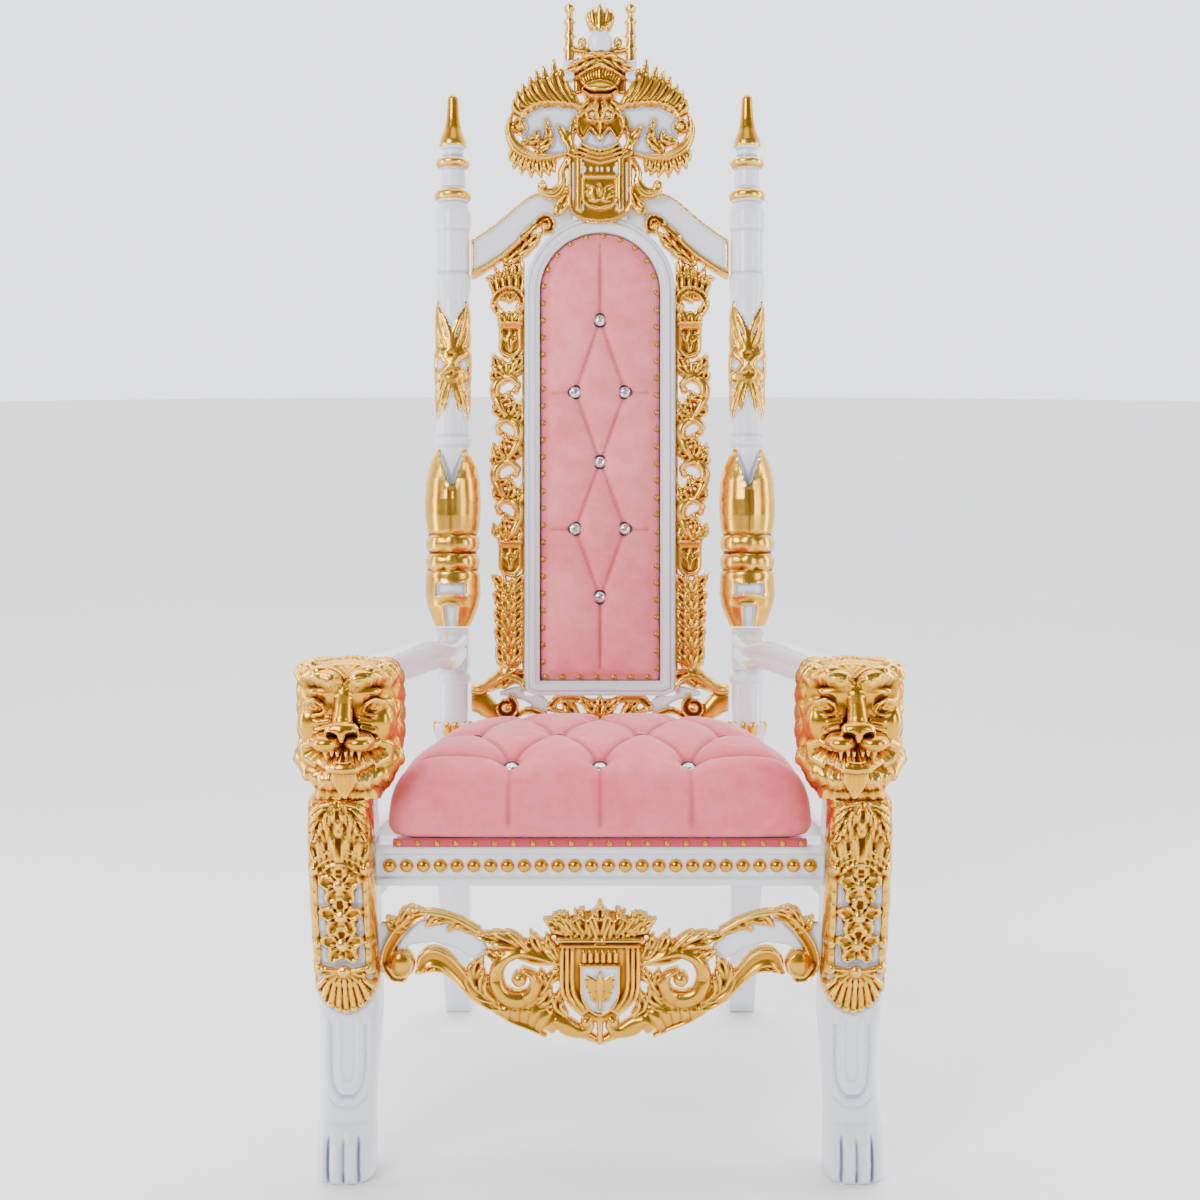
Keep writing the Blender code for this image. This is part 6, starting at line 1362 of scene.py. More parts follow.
def carve_leg(c):
    """The front of a leg, x inwards from its middle."""
    c.inside[:] = 5
    c.height[:] = LEG_GROUND
    c.gilt[:] = 0
    c.ribbon([(34, 806), (35, 900), (35, 1002)], [5, 5, 3.4], 3, 8, 26)
    c.ribbon([(-35, 806), (-35, 900), (-34, 1002)], [4, 4, 3], 3, 7, 26)
    c.ribbon([(-26.5, 876), (-27, 905), (-26.5, 966)], [4.6, 4.6, 4.2], 3, 9, 7)
    c.ribbon([(25.5, 876), (26, 905), (25.5, 966)], [4.2, 4.2, 4], 3, 9, 7)
    for x, top in ((-28, 826), (28, 826), (-14, 818), (14, 818), (0, 812)):
        c.leaf([(x * 0.72, 866), (x * 0.9, 846), (x * 1.04, top)], [9, 11, 6.5], 2, 4, 12 if x else 14,
               cut=0.2)
    for x, foot in ((-20, 838), (20, 838)):
        c.leaf([(x * 0.3, 806), (x * 0.8, 814), (x * 1.25, foot)], [9, 13, 3], 4, 6, 17, cut=0.24)
        c.leaf([(x * 1.1, 803), (x * 1.5, 812), (x * 1.7, 832)], [6, 9, 3], 3, 5, 14, cut=0.24)
    c.leaf([(0, 800), (0, 812), (0, 826)], [9, 10.5, 2], 2, 8, 18, cut=0.15)
    c.ribbon([(-27, 872), (-19, 858), (0, 852), (19, 858), (27, 872)], [3.4, 4.6, 5.4, 4.6, 3.4], 6, 12.5,
             "rolled")
    c.ribbon([(-18, 870), (-10, 864), (0, 862), (10, 864), (18, 870)], [1.4, 1.8, 2, 1.8, 1.4], 8, 14)
    for y, size in ((868, 7), (943, 5.6), (969, 6.6)):
        for x in (-26.5, 26.5):
            c.dome((x, y), (size, size), 6, 17)
    for y in (884, 915.6, 944):
        rosette(c, 0, y)
    for step in range(9):
        angle = math.radians(-8 + 24.5 * step)
        c.ribbon([(8 * math.cos(angle), 971 + 6 * math.sin(angle)),
                  (19 * math.cos(angle), 971 + 15 * math.sin(angle))], [2, 3.6], 6, 12, "round")
    c.dome((0, 971.5), (7, 7), 9, 17)
    for step in range(9):
        share = step / 8 - 0.5
        root = (share * 40, 984 - 8 * abs(share))
        tip = (share * 62, 1012 - 34 * abs(share)**1.7 * 2)
        c.ribbon([root, ((root[0] + tip[0]) / 2, (root[1] + tip[1]) / 2), tip], [2.6, 4, 4.6], 4, 12.4,
                 "round")
        c.dome(tip, (4.8, 4.6), 5, 14)
    c.groove([(-17, 1030), (-16.5, 1080), (-11, 1101), (0, 1106), (11, 1101), (16.5, 1080), (17, 1030)], 1.6,
             2.2)
    c.ribbon([(-23, 1024), (-22, 1084), (-14, 1108), (0, 1113), (14, 1108), (22, 1084), (23, 1024)],
             3, 3, 5.2, "round", 0)
    c.ribbon([(-10, 1024), (-9.5, 1078), (-6, 1092), (0, 1095), (6, 1092), (9.5, 1078), (10, 1024)],
             2.6, 3, 4.6, "round", 0)

# %% The front legs
def signed_power(values, power):
    return np.sign(values) * np.abs(values)**power


def columns_round(count, square=5.0, front_share=2.4):
    """Angles spaced evenly along a squarish outline, and closer together on the front."""
    fine = np.linspace(0, 2 * math.pi, 8001)
    x = signed_power(np.cos(fine), 2 / square) * LEG_HALF
    y = signed_power(np.sin(fine), 2 / square) * LEG_DEPTH / 2
    weight = np.hypot(np.diff(x), np.diff(y)) * np.where(np.sin(fine[:-1]) < -0.35, front_share, 1)
    along = np.concatenate([[0], np.cumsum(weight)])
    return np.interp(np.linspace(0, along[-1], count, endpoint=False), along, fine)


def front_leg(side, way):
    c = Carving((-38, 40), (796, 1120), 0.8)
    carve_leg(c)
    high = softened(c.height)
    gilded = softened(c.gilt)
    heights = np.concatenate([[0, 0.004], np.linspace(0.01, 0.24, 80),
                              np.linspace(0.2415, LEG_TOP - GAP, 215)])
    angles = columns_round(LEG_COLUMNS)
    levels = [s[0] for s in LEG_STATIONS]
    middle, half, front, rear, square = (np.interp(heights, levels, [s[k] for s in LEG_STATIONS])[:, None]
                                         for k in range(1, 6))
    cos, sin = np.cos(angles)[None, :], np.sin(angles)[None, :]
    x = half * signed_power(cos, 2 / square)
    y = (front + rear) / 2 + (rear - front) / 2 * signed_power(sin, 2 / square)
    facing = np.clip(-sin, 0, None)**0.7
    drawn = LEG_DRAWN_TOP + (LEG_DRAWN_AT - heights[:, None]) / LEG_DOWN
    row = np.clip(np.round((drawn - c.y[0]) / c.cell).astype(int), 0, len(c.y) - 1)
    col = np.clip(np.round((-x / LEG_ACROSS - c.x[0]) / c.cell).astype(int), 0, len(c.x) - 1)
    row = np.broadcast_to(row, col.shape)
    push = (high[row, col] - LEG_GROUND) * LEG_RELIEF * np.clip(facing * 1.6, 0, 1)
    gilt = np.where(facing > 0.05, gilded[row, col], 0)
    # A paw: four toes parted by grooves, each with a claw, and a fleshy heel
    low = heights[:, None]
    toes = np.clip((0.078 - low) / 0.02, 0, 1) * facing
    across = (x + half) / (2 * half)
    part = np.abs(np.cos(math.pi * across * 4))**10
    push -= 0.0105 * toes * part * np.clip(low / 0.006, 0, 1)
    push += 0.0045 * toes * np.abs(np.sin(math.pi * across * 4)) * np.sin(math.pi * np.clip(low / 0.062, 0,
                                                                                            1))
    knuckle = np.exp(-((low - 0.050) / 0.009)**2) - 0.7 * np.exp(-((low - 0.034) / 0.007)**2)
    push += 0.0022 * knuckle * facing * np.abs(np.sin(math.pi * across * 4))
    # The carving runs round to the sides as long leaves
    flank = np.clip(np.abs(cos), 0, 1)**3 * np.clip((heights[:, None] - 0.29) / 0.02, 0, 1)
    strip = np.abs(np.sin(7 * math.pi * (y - front) / (rear - front) + 60 * (heights[:, None] - 0.3)))
    shoulder = flank * np.clip((0.035 - (y - front)) / 0.006, 0, 1)
    x = x + np.sign(x) * 0.002 * shoulder * strip
    gilt = np.maximum(gilt, np.where(shoulder > 0.3, 1, 0))
    points = np.stack([way * (middle + x), y - push + DEPTH_SHIFT,
                       np.broadcast_to(heights[:, None], x.shape)], -1)
    count = len(angles)
    faces = skin(len(heights), count)
    faces.append(list(range(count))[::-1])
    faces.append(list(range((len(heights) - 1) * count, len(heights) * count)))
    made = from_arrays(f"lion_leg_{side}", points.reshape(-1, 3), faces)
    note(made, "gilt", gilt.ravel())
    outward(made, merge=False)
    note_hollows(made, 12, 0.0012)
    smooth(made, 60)
    return dressed(made, CARVED, "white_wood", f"front_leg_{side}")


for side_name, side_way in SIDES:
    front_leg(side_name, side_way)

# %% [markdown]
# ## The lion heads
# A head carved in the round is a heap of rounded forms that run into each other: skull, brow, muzzle,
# jaw, locks. Each form is written as a distance, and the forms are blended like clay. Rays from the
# middle of the head find the surface, so the mesh is one closed skin whose points lie closest together on
# the face. Grooves for fur and hair are part of the same distances.
# %% Forms that blend
HEAD_X = 0.3610
HEAD_Y = 0.050
HEAD_Z = 0.705
HEAD_REAR = 0.105
HEAD_RINGS = 178
HEAD_SPOKES = 228


def blend(a, b, soft):
    """The union of two distances with a rounded joint."""
    share = np.clip(0.5 + 0.5 * (b - a) / soft, 0, 1)
    return b + (a - b) * share - soft * share * (1 - share)


def carved_out(a, b, soft):
    """The first form with the second hollowed out of it, its rim eased."""
    return -blend(-a, b, soft)


def ball(p, centre, radii):
    """Roughly the distance to an ellipsoid."""
    q = (p - np.array(centre, float)) / np.array(radii, float)
    length = np.linalg.norm(q, axis=-1)
    return (length - 1) * min(radii) * (0.5 + 0.5 * np.clip(length, 0, 1))


def bar(p, a, b, ra, rb):
    """The distance to a round bar that tapers from one end to the other."""
    a, b = np.array(a, float), np.array(b, float)
    along = np.clip(((p - a) @ (b - a)) / ((b - a) @ (b - a)), 0, 1)
    return np.linalg.norm(p - a - along[..., None] * (b - a), axis=-1) - (ra + (rb - ra) * along)


def cord_of(p, points, radii):
    """Bars joined end to end."""
    return np.minimum.reduce([bar(p, a, b, ra, rb) for a, b, ra,
                              rb in zip(points, points[1:], radii, radii[1:])])


def eased(value, low, high):
    t = np.clip((value - low) / (high - low), 0, 1)
    return t * t * (3 - 2 * t)

# %% Fur and hair
def fur(p):
    """How far the hair stands out at each place: locks with fine grooves, none on the bare face."""
    x, y, z = np.abs(p[..., 0]), p[..., 1], p[..., 2]
    turn = np.arctan2(x, -(y - 14)) * 62
    wave = 6.5 * np.sin(z / 12.0 + turn / 26.0)
    locks = np.abs(np.sin(np.pi * (turn + wave) / 16.0))
    hair = np.sin(2 * np.pi * (turn + 1.25 * wave) / 3.6)
    side = eased(turn, 66, 76)
    steps = np.abs(np.sin(np.pi * (z + 0.4 * turn) / 27.0))
    lift = side * (3.6 * locks**0.7 + 2.4 * steps**0.8 + 0.65 * hair - 3.0)
    # The fringe round the jaw hangs in combed locks
    jaw = eased(-z - 0.22 * x, 60, 68) * (1 - side)
    fan = x * (1 + 0.0045 * (z + 70))
    fringe = np.abs(np.sin(np.pi * (fan + 2.4 * np.sin(z / 8.0)) / 13.0))
    lift += jaw * (3.0 * fringe**0.6 + 0.75 * np.sin(2 * np.pi * (fan + 2.4 * np.sin(z / 8.0)) / 3.2) - 1.6)
    # The brow's locks are combed out from the middle and curl at their ends
    reach = np.hypot(x - 2, z - 34)
    comb = eased(z - 0.10 * x, 44, 50) * eased(-y, 8, 22) * (1 - side) * (1 - eased(z, 76, 82))
    sweep = np.sin(2 * np.pi * (reach - 0.55 * x + 0.004 * (x - 30)**2) / 5.6)
    lift += comb * 1.15 * sweep
    # Tufts on the crown of the head
    crown = eased(z, 68, 74) * eased(y, -26, -14)
    tufts = 1.3 * np.abs(np.sin(np.pi * (x + 4 * np.sin(y / 9)) / 8.0)) + np.sin(2 * np.pi * y / 17)
    lift += crown * tufts
    return lift

# %% The lion's features
def lion(p):
    """A lion's head in millimetres: x across, y to the rear, z up from its middle."""
    m = p.copy()
    m[..., 0] = np.abs(m[..., 0])
    x, y, z = m[..., 0], m[..., 1], m[..., 2]
    q = np.abs(p - np.array([0, 20, 2.0])) - np.array([45, 22, 42.0])
    head = np.linalg.norm(np.maximum(q, 0), axis=-1) + np.minimum(q.max(-1), 0) - 28
    head = blend(head, ball(p, (0, 14, -74), (66, 56, 52)), 12)
    head = blend(head, ball(p, (0, 6, 40), (50, 52, 36)), 10)
    neck = np.abs(p - np.array([0, 6, -104.0])) - np.array([33, 40, 20.0])
    head = blend(head, np.linalg.norm(np.maximum(neck, 0), axis=-1) + np.minimum(neck.max(-1), 0) - 15, 10)
    # Two locks of the brow meet in a V and end in curls
    head = blend(head, cord_of(m, [(2, -45, 48), (18, -47, 60), (36, -41, 66), (54, -30, 62)],
                               [7, 12.5, 13, 9]), 3)
    head = blend(head, cord_of(m, [(46, -36, 72), (60, -22, 72), (67, -18, 62), (63, -24, 54)],
                               [6, 8, 8, 6]), 2.5)
    head = blend(head, cord_of(m, [(50, -16, 75), (65, -6, 67)], [7, 8]), 3)
    # Forehead, brow ridge and cheeks
    head = blend(head, ball(p, (0, -38, 41), (52, 16, 13)), 6)
    head = blend(head, ball(m, (50, -32, -4), (20, 24, 30)), 9)
    head = blend(head, cord_of(m, [(22, -54, 1), (38, -52, -1), (58, -36, 4)], [4, 6, 4.5]), 4)
    head = blend(head, cord_of(m, [(24, -56, -8), (40, -52, -13), (58, -36, -8)], [3.5, 4.5, 4]), 3.5)
    head = blend(head, ball(m, (21, -37, 14), (17, 16, 26)), 8)
    # Eyes in their sockets, with lids
    head = carved_out(head, ball(m, (43, -61, 21), (18, 15, 12)), 4)
    head = blend(head, ball(m, (43, -41.5, 21.5), (13.5, 12.5, 11)), 1)
    head = blend(head, cord_of(m, [(26, -52, 16), (32, -55.5, 26), (43, -56, 32.5), (54, -48, 28),
                                   (62, -38, 17)],
                               [2.6, 2.9, 3.2, 2.8, 2.2]), 1.6)
    head = blend(head, cord_of(m, [(26, -52, 16), (33, -53.5, 11), (44, -53, 9.5), (55, -46, 13)],
                               [2.2, 2.6, 2.6, 2]), 1.6)
    iris = np.hypot(x - 43, z - 21.5)
    front = eased(-y, 44, 48)
    head = head + front * (1.2 * np.exp(-((iris - 6.5) / 1.2)**2) + 1.9 * np.exp(-(iris / 2.3)**2))
    # The nose: a long bridge that widens into a broad pad with open nostrils
    head = blend(head, cord_of(p, [(0, -44, 42), (0, -59, 22), (0, -69, 6)], [11, 13, 14.5]), 5)
    head = blend(head, ball(p, (0, -78, -3), (24, 14, 10.5)), 3)
    head = blend(head, cord_of(m, [(0, -88, -5), (14, -85, -5), (21, -79, -9)], [5, 5, 4]), 2)
    head = blend(head, cord_of(p, [(0, -86, -9), (0, -84, -20)], [8, 3.5]), 2)
    # Muzzle pads
    head = blend(head, ball(m, (23, -68, -25), (22, 24, 14)), 1.6)
    head = carved_out(head, ball(m, (14, -90, -10.5), (8, 10, 3.8)), 1)
    head = carved_out(head, bar(m, (0, -93, -18), (0, -93, -36), 1.8, 1.6), 1)
    # The open mouth, its lips and curled corners
    head = blend(head, cord_of(m, [(0, -72, -64), (16, -70, -63), (34, -54, -57)], [7.5, 7.5, 7]), 4)
    head = carved_out(head, ball(p, (0, -82, -46), (33, 44, 10)), 1.5)
    head = blend(head, cord_of(m, [(34, -58, -36), (47, -46, -30), (60, -34, -38), (58, -36, -54),
                                   (44, -48, -60)],
                               [5, 7.5, 8, 8, 6]), 2)
    head = carved_out(head, bar(m, (42, -58, -46), (52, -52, -45), 6.5, 5), 1.5)
    head = blend(head, ball(p, (0, -62, -52), (16, 20, 5.5)), 1.2)
    head = np.minimum(head, bar(m, (24, -79, -35), (23, -77, -50), 4.0, 1.2))
    head = np.minimum(head, bar(m, (28, -67, -60), (27, -70, -47), 3.4, 1.0))
    head = np.minimum(head, bar(m, (14, -84, -36), (14, -83, -41.5), 3.0, 2.0))
    head = np.minimum(head, bar(m, (6, -86, -36), (6, -85, -41), 2.8, 2.0))
    # A ruff round the jaw, and a leaf-shaped beard under the lip
    head = blend(head, cord_of(m, [(0, -52, -88), (26, -50, -85), (50, -38, -76), (66, -18, -60)],
                               [12, 15, 15, 13]), 5)
    leaf_width = 18 * np.clip((z + 109) / 26, 0, 1)**0.75 * np.clip((-62 - z) / 8, 0, 1)**0.5
    fold = 2.6 * np.abs(np.abs(x / 6.0) - np.round(x / 6.0)) * 2
    leaf = np.maximum(x - leaf_width, np.abs(y + 66 + 0.12 * (z + 64)) - 7.5 + 0.14 * x + 0.35 * fold)
    head = blend(head, np.maximum(leaf, np.abs(z + 86) - 24), 1)
    bare = eased(18 - x, -3, 0) * eased(-y, 56, 60)
    return head - fur(p) * (1 - bare)

# %% From forms to a mesh
def lion_head(side, way):
    """Rays from the middle: the poles are the nose and the flat back, where the arm joins."""
    middle = np.array([0, 6.0, -14.0])
    tilt = math.pi * (np.linspace(0, 1, HEAD_RINGS + 1)[1:-1])
    spin = np.linspace(0, 2 * np.pi, HEAD_SPOKES, endpoint=False)
    tilt, spin = np.meshgrid(tilt, spin, indexing="ij")
    rays = np.stack([np.sin(tilt) * np.cos(spin), -np.cos(tilt), np.sin(tilt) * np.sin(spin)],
                    -1).reshape(-1, 3)
    rays = np.concatenate([rays, [(0, -1, 0), (0, 1, 0)]])
    outer = np.full(len(rays), 10.0)
    open_rays = np.ones(len(rays), bool)
    for distance in np.arange(156, 16, -3.0):
        here = np.nonzero(open_rays)[0]
        hit = lion(middle + rays[here] * distance) < 0
        outer[here[hit]] = distance
        open_rays[here[hit]] = False
    low, high = outer.copy(), outer + 3.0
    for step in range(6):
        half = (low + high) / 2
        hit = lion(middle + rays * half[:, None]) < 0
        low, high = np.where(hit, half, low), np.where(hit, high, half)
    reach = low
    foot = (LEG_TOP + GAP - HEAD_Z) * 1000 - middle[2]
    rear = (HEAD_REAR - HEAD_Y) * 1000 - middle[1]
    with np.errstate(divide="ignore"):
        reach = np.minimum(reach, np.where(rays[:, 2] < -1e-6, foot / rays[:, 2], 1e9))
        reach = np.minimum(reach, np.where(rays[:, 1] > 1e-6, rear / rays[:, 1], 1e9))
    points = (middle + rays * reach[:, None]) / 1000
    points = points * (way, 1, 1) + (way * HEAD_X, HEAD_Y + DEPTH_SHIFT, HEAD_Z)
    rings, count = HEAD_RINGS - 1, HEAD_SPOKES
    faces = skin(rings, count, flipped=True)
    last = (rings - 1) * count
    faces += [(rings * count, i, (i + 1) % count) for i in range(count)]
    faces += [(rings * count + 1, last + (i + 1) % count, last + i) for i in range(count)]
    made = from_arrays(f"lion_carving_{side}", points, faces)
    outward(made, merge=False)
    note_hollows(made, 16, 0.0036)
    marks = np.empty(len(points))
    made.data.attributes["hollow"].data.foreach_get("value", marks)
    x, y, z = ((points - (way * HEAD_X, HEAD_Y + DEPTH_SHIFT, HEAD_Z)) * 1000 * (way, 1, 1)).T
    # The throat and nostrils are painted full dark, as shade in the openings.
    throat = (np.abs(x) < 30) & (np.abs(z + 46) < 10.5) & (y > -66) & (y < 0)
    nostril = (np.abs(np.abs(x) - 14) < 8) & (np.abs(z + 10.5) < 4.2) & (y > -85) & (y < 0)
    note(made, "hollow", np.where(throat | nostril, -0.6, marks))
    smooth(made, 70)
    return dressed(made, GOLD, "gilt_wood", f"lion_head_{side}")


for side_name, side_way in SIDES:
    lion_head(side_name, side_way)

# %% [markdown]
# ## Plain joinery
# Rails, arms and the arched frame are straight work, drawn out through stations like the blocks of the
# posts.
# %% The arched frame round the pad
def arch_frame():
    """An arched plate whose face is inset step by step into a moulding."""
    steps = [(0.003, 0.0036), (0.0033, 0.0), (0.0022, -0.0026), (0.0016, 0.0058), (0.0012, 0.0012),
             (0.0055, 0.0), (0.0014, -0.0012), (0.0022, -0.0046), (0.0056, 0.0), (0.0006, -0.0022)]
    deselected()
    bpy.ops.mesh.primitive_circle_add(vertices=120, radius=FRAME_OUT, fill_type="NGON")
    made = bpy.context.object
    made.name = "arched_frame"
    bpy.ops.object.mode_set(mode="EDIT")
    mesh = bmesh.from_edit_mesh(made.data)
    low = [v for v in mesh.verts if v.co.y < -1e-6]
    for vert in low:
        # The lower half of the circle becomes two straight sides and a foot
        share = math.atan2(-vert.co.y, abs(vert.co.x)) / (math.pi / 2)
        way = 1 if vert.co.x >= 0 else -1
        straight = FRAME_SPRING - FRAME_FOOT
        total = straight + FRAME_OUT
        run = share * total
        vert.co.x = way * FRAME_OUT if run < straight else way * (FRAME_OUT - (run - straight))
        vert.co.y = -run if run < straight else -straight
    bmesh.update_edit_mesh(made.data)
    bpy.ops.mesh.select_all(action="SELECT")
    bpy.ops.mesh.extrude_region_move(TRANSFORM_OT_translate={"value": (0, 0, FRAME_BACK + 0.009)})
    for width, rise in steps:
        bpy.ops.mesh.inset(thickness=width, depth=rise, use_even_offset=True)
    bpy.ops.mesh.extrude_region_move(TRANSFORM_OT_translate={"value": (0, 0, -0.0235)})
    bpy.ops.object.mode_set(mode="OBJECT")
    made.matrix_world = (ON_THE_LEAN @ Matrix.Translation((0, FRAME_BACK, FRAME_SPRING))
                         @ Matrix.Rotation(math.pi / 2, 4, "X"))
    settled(made)
    outward(made)
    smooth(made, 28)
    return dressed(made, WHITE, "white_wood", "back_frame")

# %% Rails
RAIL_TOP = 0.512
RAIL_FOOT = 0.450
RAIL_FACE = 0.045 + DEPTH_SHIFT
RAIL_THICKNESS = 0.040
SIDE_THICKNESS = 0.032


def rails():
    half = LEG_X - LEG_HALF - GAP
    rear = RAIL_FACE + RAIL_THICKNESS
    profile = [(rear, RAIL_FOOT), (rear, RAIL_TOP), (RAIL_FACE - 0.006, RAIL_TOP),
               (RAIL_FACE - 0.0066, 0.5105),
               (RAIL_FACE - 0.0066, 0.5000), (RAIL_FACE - 0.0052, 0.4984), (RAIL_FACE - 0.0022, 0.4972),
               (RAIL_FACE, 0.4950), (RAIL_FACE, 0.4632), (RAIL_FACE - 0.0020, 0.4612),
               (RAIL_FACE - 0.0050, 0.4602),
               (RAIL_FACE - 0.0056, 0.4585), (RAIL_FACE - 0.0056, 0.4512), (RAIL_FACE - 0.0046, RAIL_FOOT)]
    drawn_through("front_rail_moulding", [[(x, y, z) for y, z in profile] for x in (-half, half)], WHITE,
                  "white_wood", ("front_rail",), angle=30)
    for side, way in SIDES:
        low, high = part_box(f"side_rail_{side}")
        sections = []
        for y, x in ((LEG_DEPTH + GAP, LEG_X - LEG_HALF + 0.006),
                     (0.616 - BLOCK_HALF - 0.0085, POST_X - 0.016)):
            sections.append([(way * (x + dx), y + DEPTH_SHIFT, z)
                             for dx, z in ((0, low.z), (SIDE_THICKNESS, low.z), (SIDE_THICKNESS, RAIL_TOP),
                                           (0, RAIL_TOP))])
        drawn_through(f"seat_side_{side}", sections, WHITE, "white_wood", (f"side_rail_{side}",), ease=0.003)
    low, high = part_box("back_rail")
    ends = [[(x, low.y, low.z), (x, high.y, low.z), (x, high.y, high.z), (x, low.y, high.z)]
            for x in (low.x, high.x)]
    drawn_through("seat_back_rail", ends, WHITE, "white_wood", ("back_rail",), ease=0.003)


def curve_through(values, count, steps=8):
    """Eases a row of stations into many, without corners."""
    return smooth_curve(values, steps)[np.linspace(0, (len(values) - 1) * steps, count).astype(int)]

# %% The arms
ARM_WIDTH = 0.056
ARM_HEIGHT = 0.046


def arm(side, way):
    """The arm dips from the head to the post's block, with a rounded top and a bead on each side."""
    rear_top = TURN_AT + BLOCK_HALF * math.sin(RAKE) + (DRAWN_TURN - 630) * BACK_DOWN * math.cos(RAKE)
    stations = curve_through([(HEAD_REAR + GAP, 0.3300, 0.772), (0.16, 0.325, 0.771), (0.26, 0.310, 0.762),
                              (0.38, 0.288, 0.750), (0.49, 0.270, rear_top + 0.002),
                              (0.6, POST_X, rear_top - 0.002)],
                             28)
    half, tall = ARM_WIDTH / 2, ARM_HEIGHT
    flank = [(half - 0.0035, -0.0028), (half, -0.0085), (half, -tall * 0.40), (half - 0.002, -tall * 0.44),
             (half - 0.0045, -tall * 0.53), (half - 0.002, -tall * 0.62), (half, -tall * 0.66),
             (half - 0.001, -tall * 0.9), (half - 0.006, -tall)]
    section = [(-half + 0.010, 0), (0, 0.0012), (half - 0.010, 0)] + flank + [(-x, z) for x,
                                                                              z in flank[::-1]]
    sections = []
    for number, (y, x, top) in enumerate(stations):
        ring = []
        for across, up in section:
            z = top + up
            depth = y + DEPTH_SHIFT
            if number == len(stations) - 1:
                depth = BACK_Y + (-BLOCK_HALF - GAP + (z - TURN_AT) * math.sin(RAKE)) / math.cos(RAKE)
            ring.append((way * (x + across), depth, z))
        sections.append(ring)
    return drawn_through(f"carved_arm_{side}", sections, WHITE, "white_wood", (f"arm_{side}",), angle=38)


arch_frame()
rails()
for side_name, side_way in SIDES:
    arm(side_name, side_way)

# %% [markdown]
# ## Gilded studs and nails
# The rail carries a row of half-round studs, and small brass nails hold the velvet. One stud is modelled
# by cutting a sphere in half; the rest are copies with their own mesh, joined into one piece.
# %% Studs and nails
BEAD_SPAN = 0.6142
BEADS = 26
BEAD_Z = 0.479


def stud_row(name, radius, rise, places, look, slot, nodes, segments):
    """Copies of one half-round stud, each turned to face its own way; places are (point, direction)."""
    deselected()
    bpy.ops.mesh.primitive_uv_sphere_add(segments=segments, ring_count=segments // 2 + 2, radius=radius)
    stud = bpy.context.object
    bpy.ops.object.mode_set(mode="EDIT")
    bpy.ops.mesh.select_all(action="SELECT")
    bpy.ops.mesh.bisect(plane_co=(0, 0, 0), plane_no=(0, 0, 1), clear_inner=True, use_fill=True)
    bpy.ops.object.mode_set(mode="OBJECT")
    points = places_of(stud)
    points[:, 2] *= rise / radius
    moved(stud, points)
    copies = [duplicate(stud, facing_matrix(place, direction)) for place, direction in places]
    bpy.data.objects.remove(stud)
    made = joined(name, copies)
    note_hollows(made, 2, 0.01)
    smooth(made, 50)
    return dressed(made, look, slot, *nodes)


stud_row("rail_studs", 0.0103, 0.0098, [((x, RAIL_FACE - GAP, BEAD_Z), (0, -1, 0))
                                        for x in np.linspace(-BEAD_SPAN / 2, BEAD_SPAN / 2, BEADS)],
         GOLD, "gilt_wood", ("rail_beads",), segments=20)

# %% [markdown]
# ## Velvet
# The cushion and the pad are foam under pink velvet, pulled down by buttons. A cloth simulation blows
# each form up against pinned places, as a stuffed cover swells between its buttons. The tucks that a
# needle pulls between buttons are put in afterwards, because they are finer than the simulated mesh.
# %% The velvet
def velvet_material(name, deep, light):
    made, tree, shader = new_material(name)
    mottle = mottled(tree, 9.0, 1400.0)
    brushed = add(tree, "ShaderNodeTexNoise", {"Vector": add(tree, "ShaderNodeTexCoord").outputs["Object"],
                                               "Scale": 34.0, "Detail": 4.0, "Roughness": 0.6})
    cloud = add(tree, "ShaderNodeMath", {0: mottle["Cloud"], 1: brushed.outputs["Fac"]}, operation="ADD")
    shade = spread(tree, cloud.outputs[0], 0.72, 1.28)
    hollows = add(tree, "ShaderNodeGroup", node_tree=SHADE_AND_HIGHLIGHT)
    base = mixed(tree, shade, (*deep, 1), (*light, 1))
    # Painted shade: the velvet is darker in its tucks and hollows.
    painted_tuck_shade = mixed(tree, hollows.outputs["Hollow"], base,
                   (deep[0] * 0.62, deep[1] * 0.42, deep[2] * 0.46, 1))
    finished(tree, shader, painted_tuck_shade, 0.82, Sheen_Weight=0.5, Sheen_Roughness=0.35,
             Sheen_Tint=(1.0, 0.86, 0.88, 1))
    bumped(tree, shader, mottle["Grain"], 0.22, 0.0006)
    return made


VELVET = velvet_material("pink_velvet", (0.80, 0.115, 0.155), (0.90, 0.195, 0.24))
PAD_VELVET = velvet_material("pink_velvet_pad", (0.82, 0.165, 0.195), (0.92, 0.265, 0.295))

# %% The backing cloth
def backing_material():
    """Plain woven cloth on hidden sides."""
    made, tree, shader = new_material("backing_cloth")
    where = add(tree, "ShaderNodeTexCoord").outputs["Object"]
    weave = add(tree, "ShaderNodeTexWave", {"Vector": where, "Scale": 260.0, "Distortion": 0.4},
                wave_type="BANDS")
    woven = ramp(tree, weave.outputs["Fac"], [(0.2, (0.60, 0.57, 0.56)), (0.8, (0.74, 0.71, 0.70))])
    finished(tree, shader, woven, 0.9)
    bumped(tree, shader, weave.outputs["Fac"], 0.3, 0.0004)
    return made


BACKING = backing_material()

# %% Blowing up a cover
CLOTH_FRAMES = 18
CLOTH = {"quality": 4, "mass": 0.25, "tension_stiffness": 12, "compression_stiffness": 12,
         "shear_stiffness": 6,
         "bending_stiffness": 0.4, "use_pressure": True, "uniform_pressure_force": 4.5}


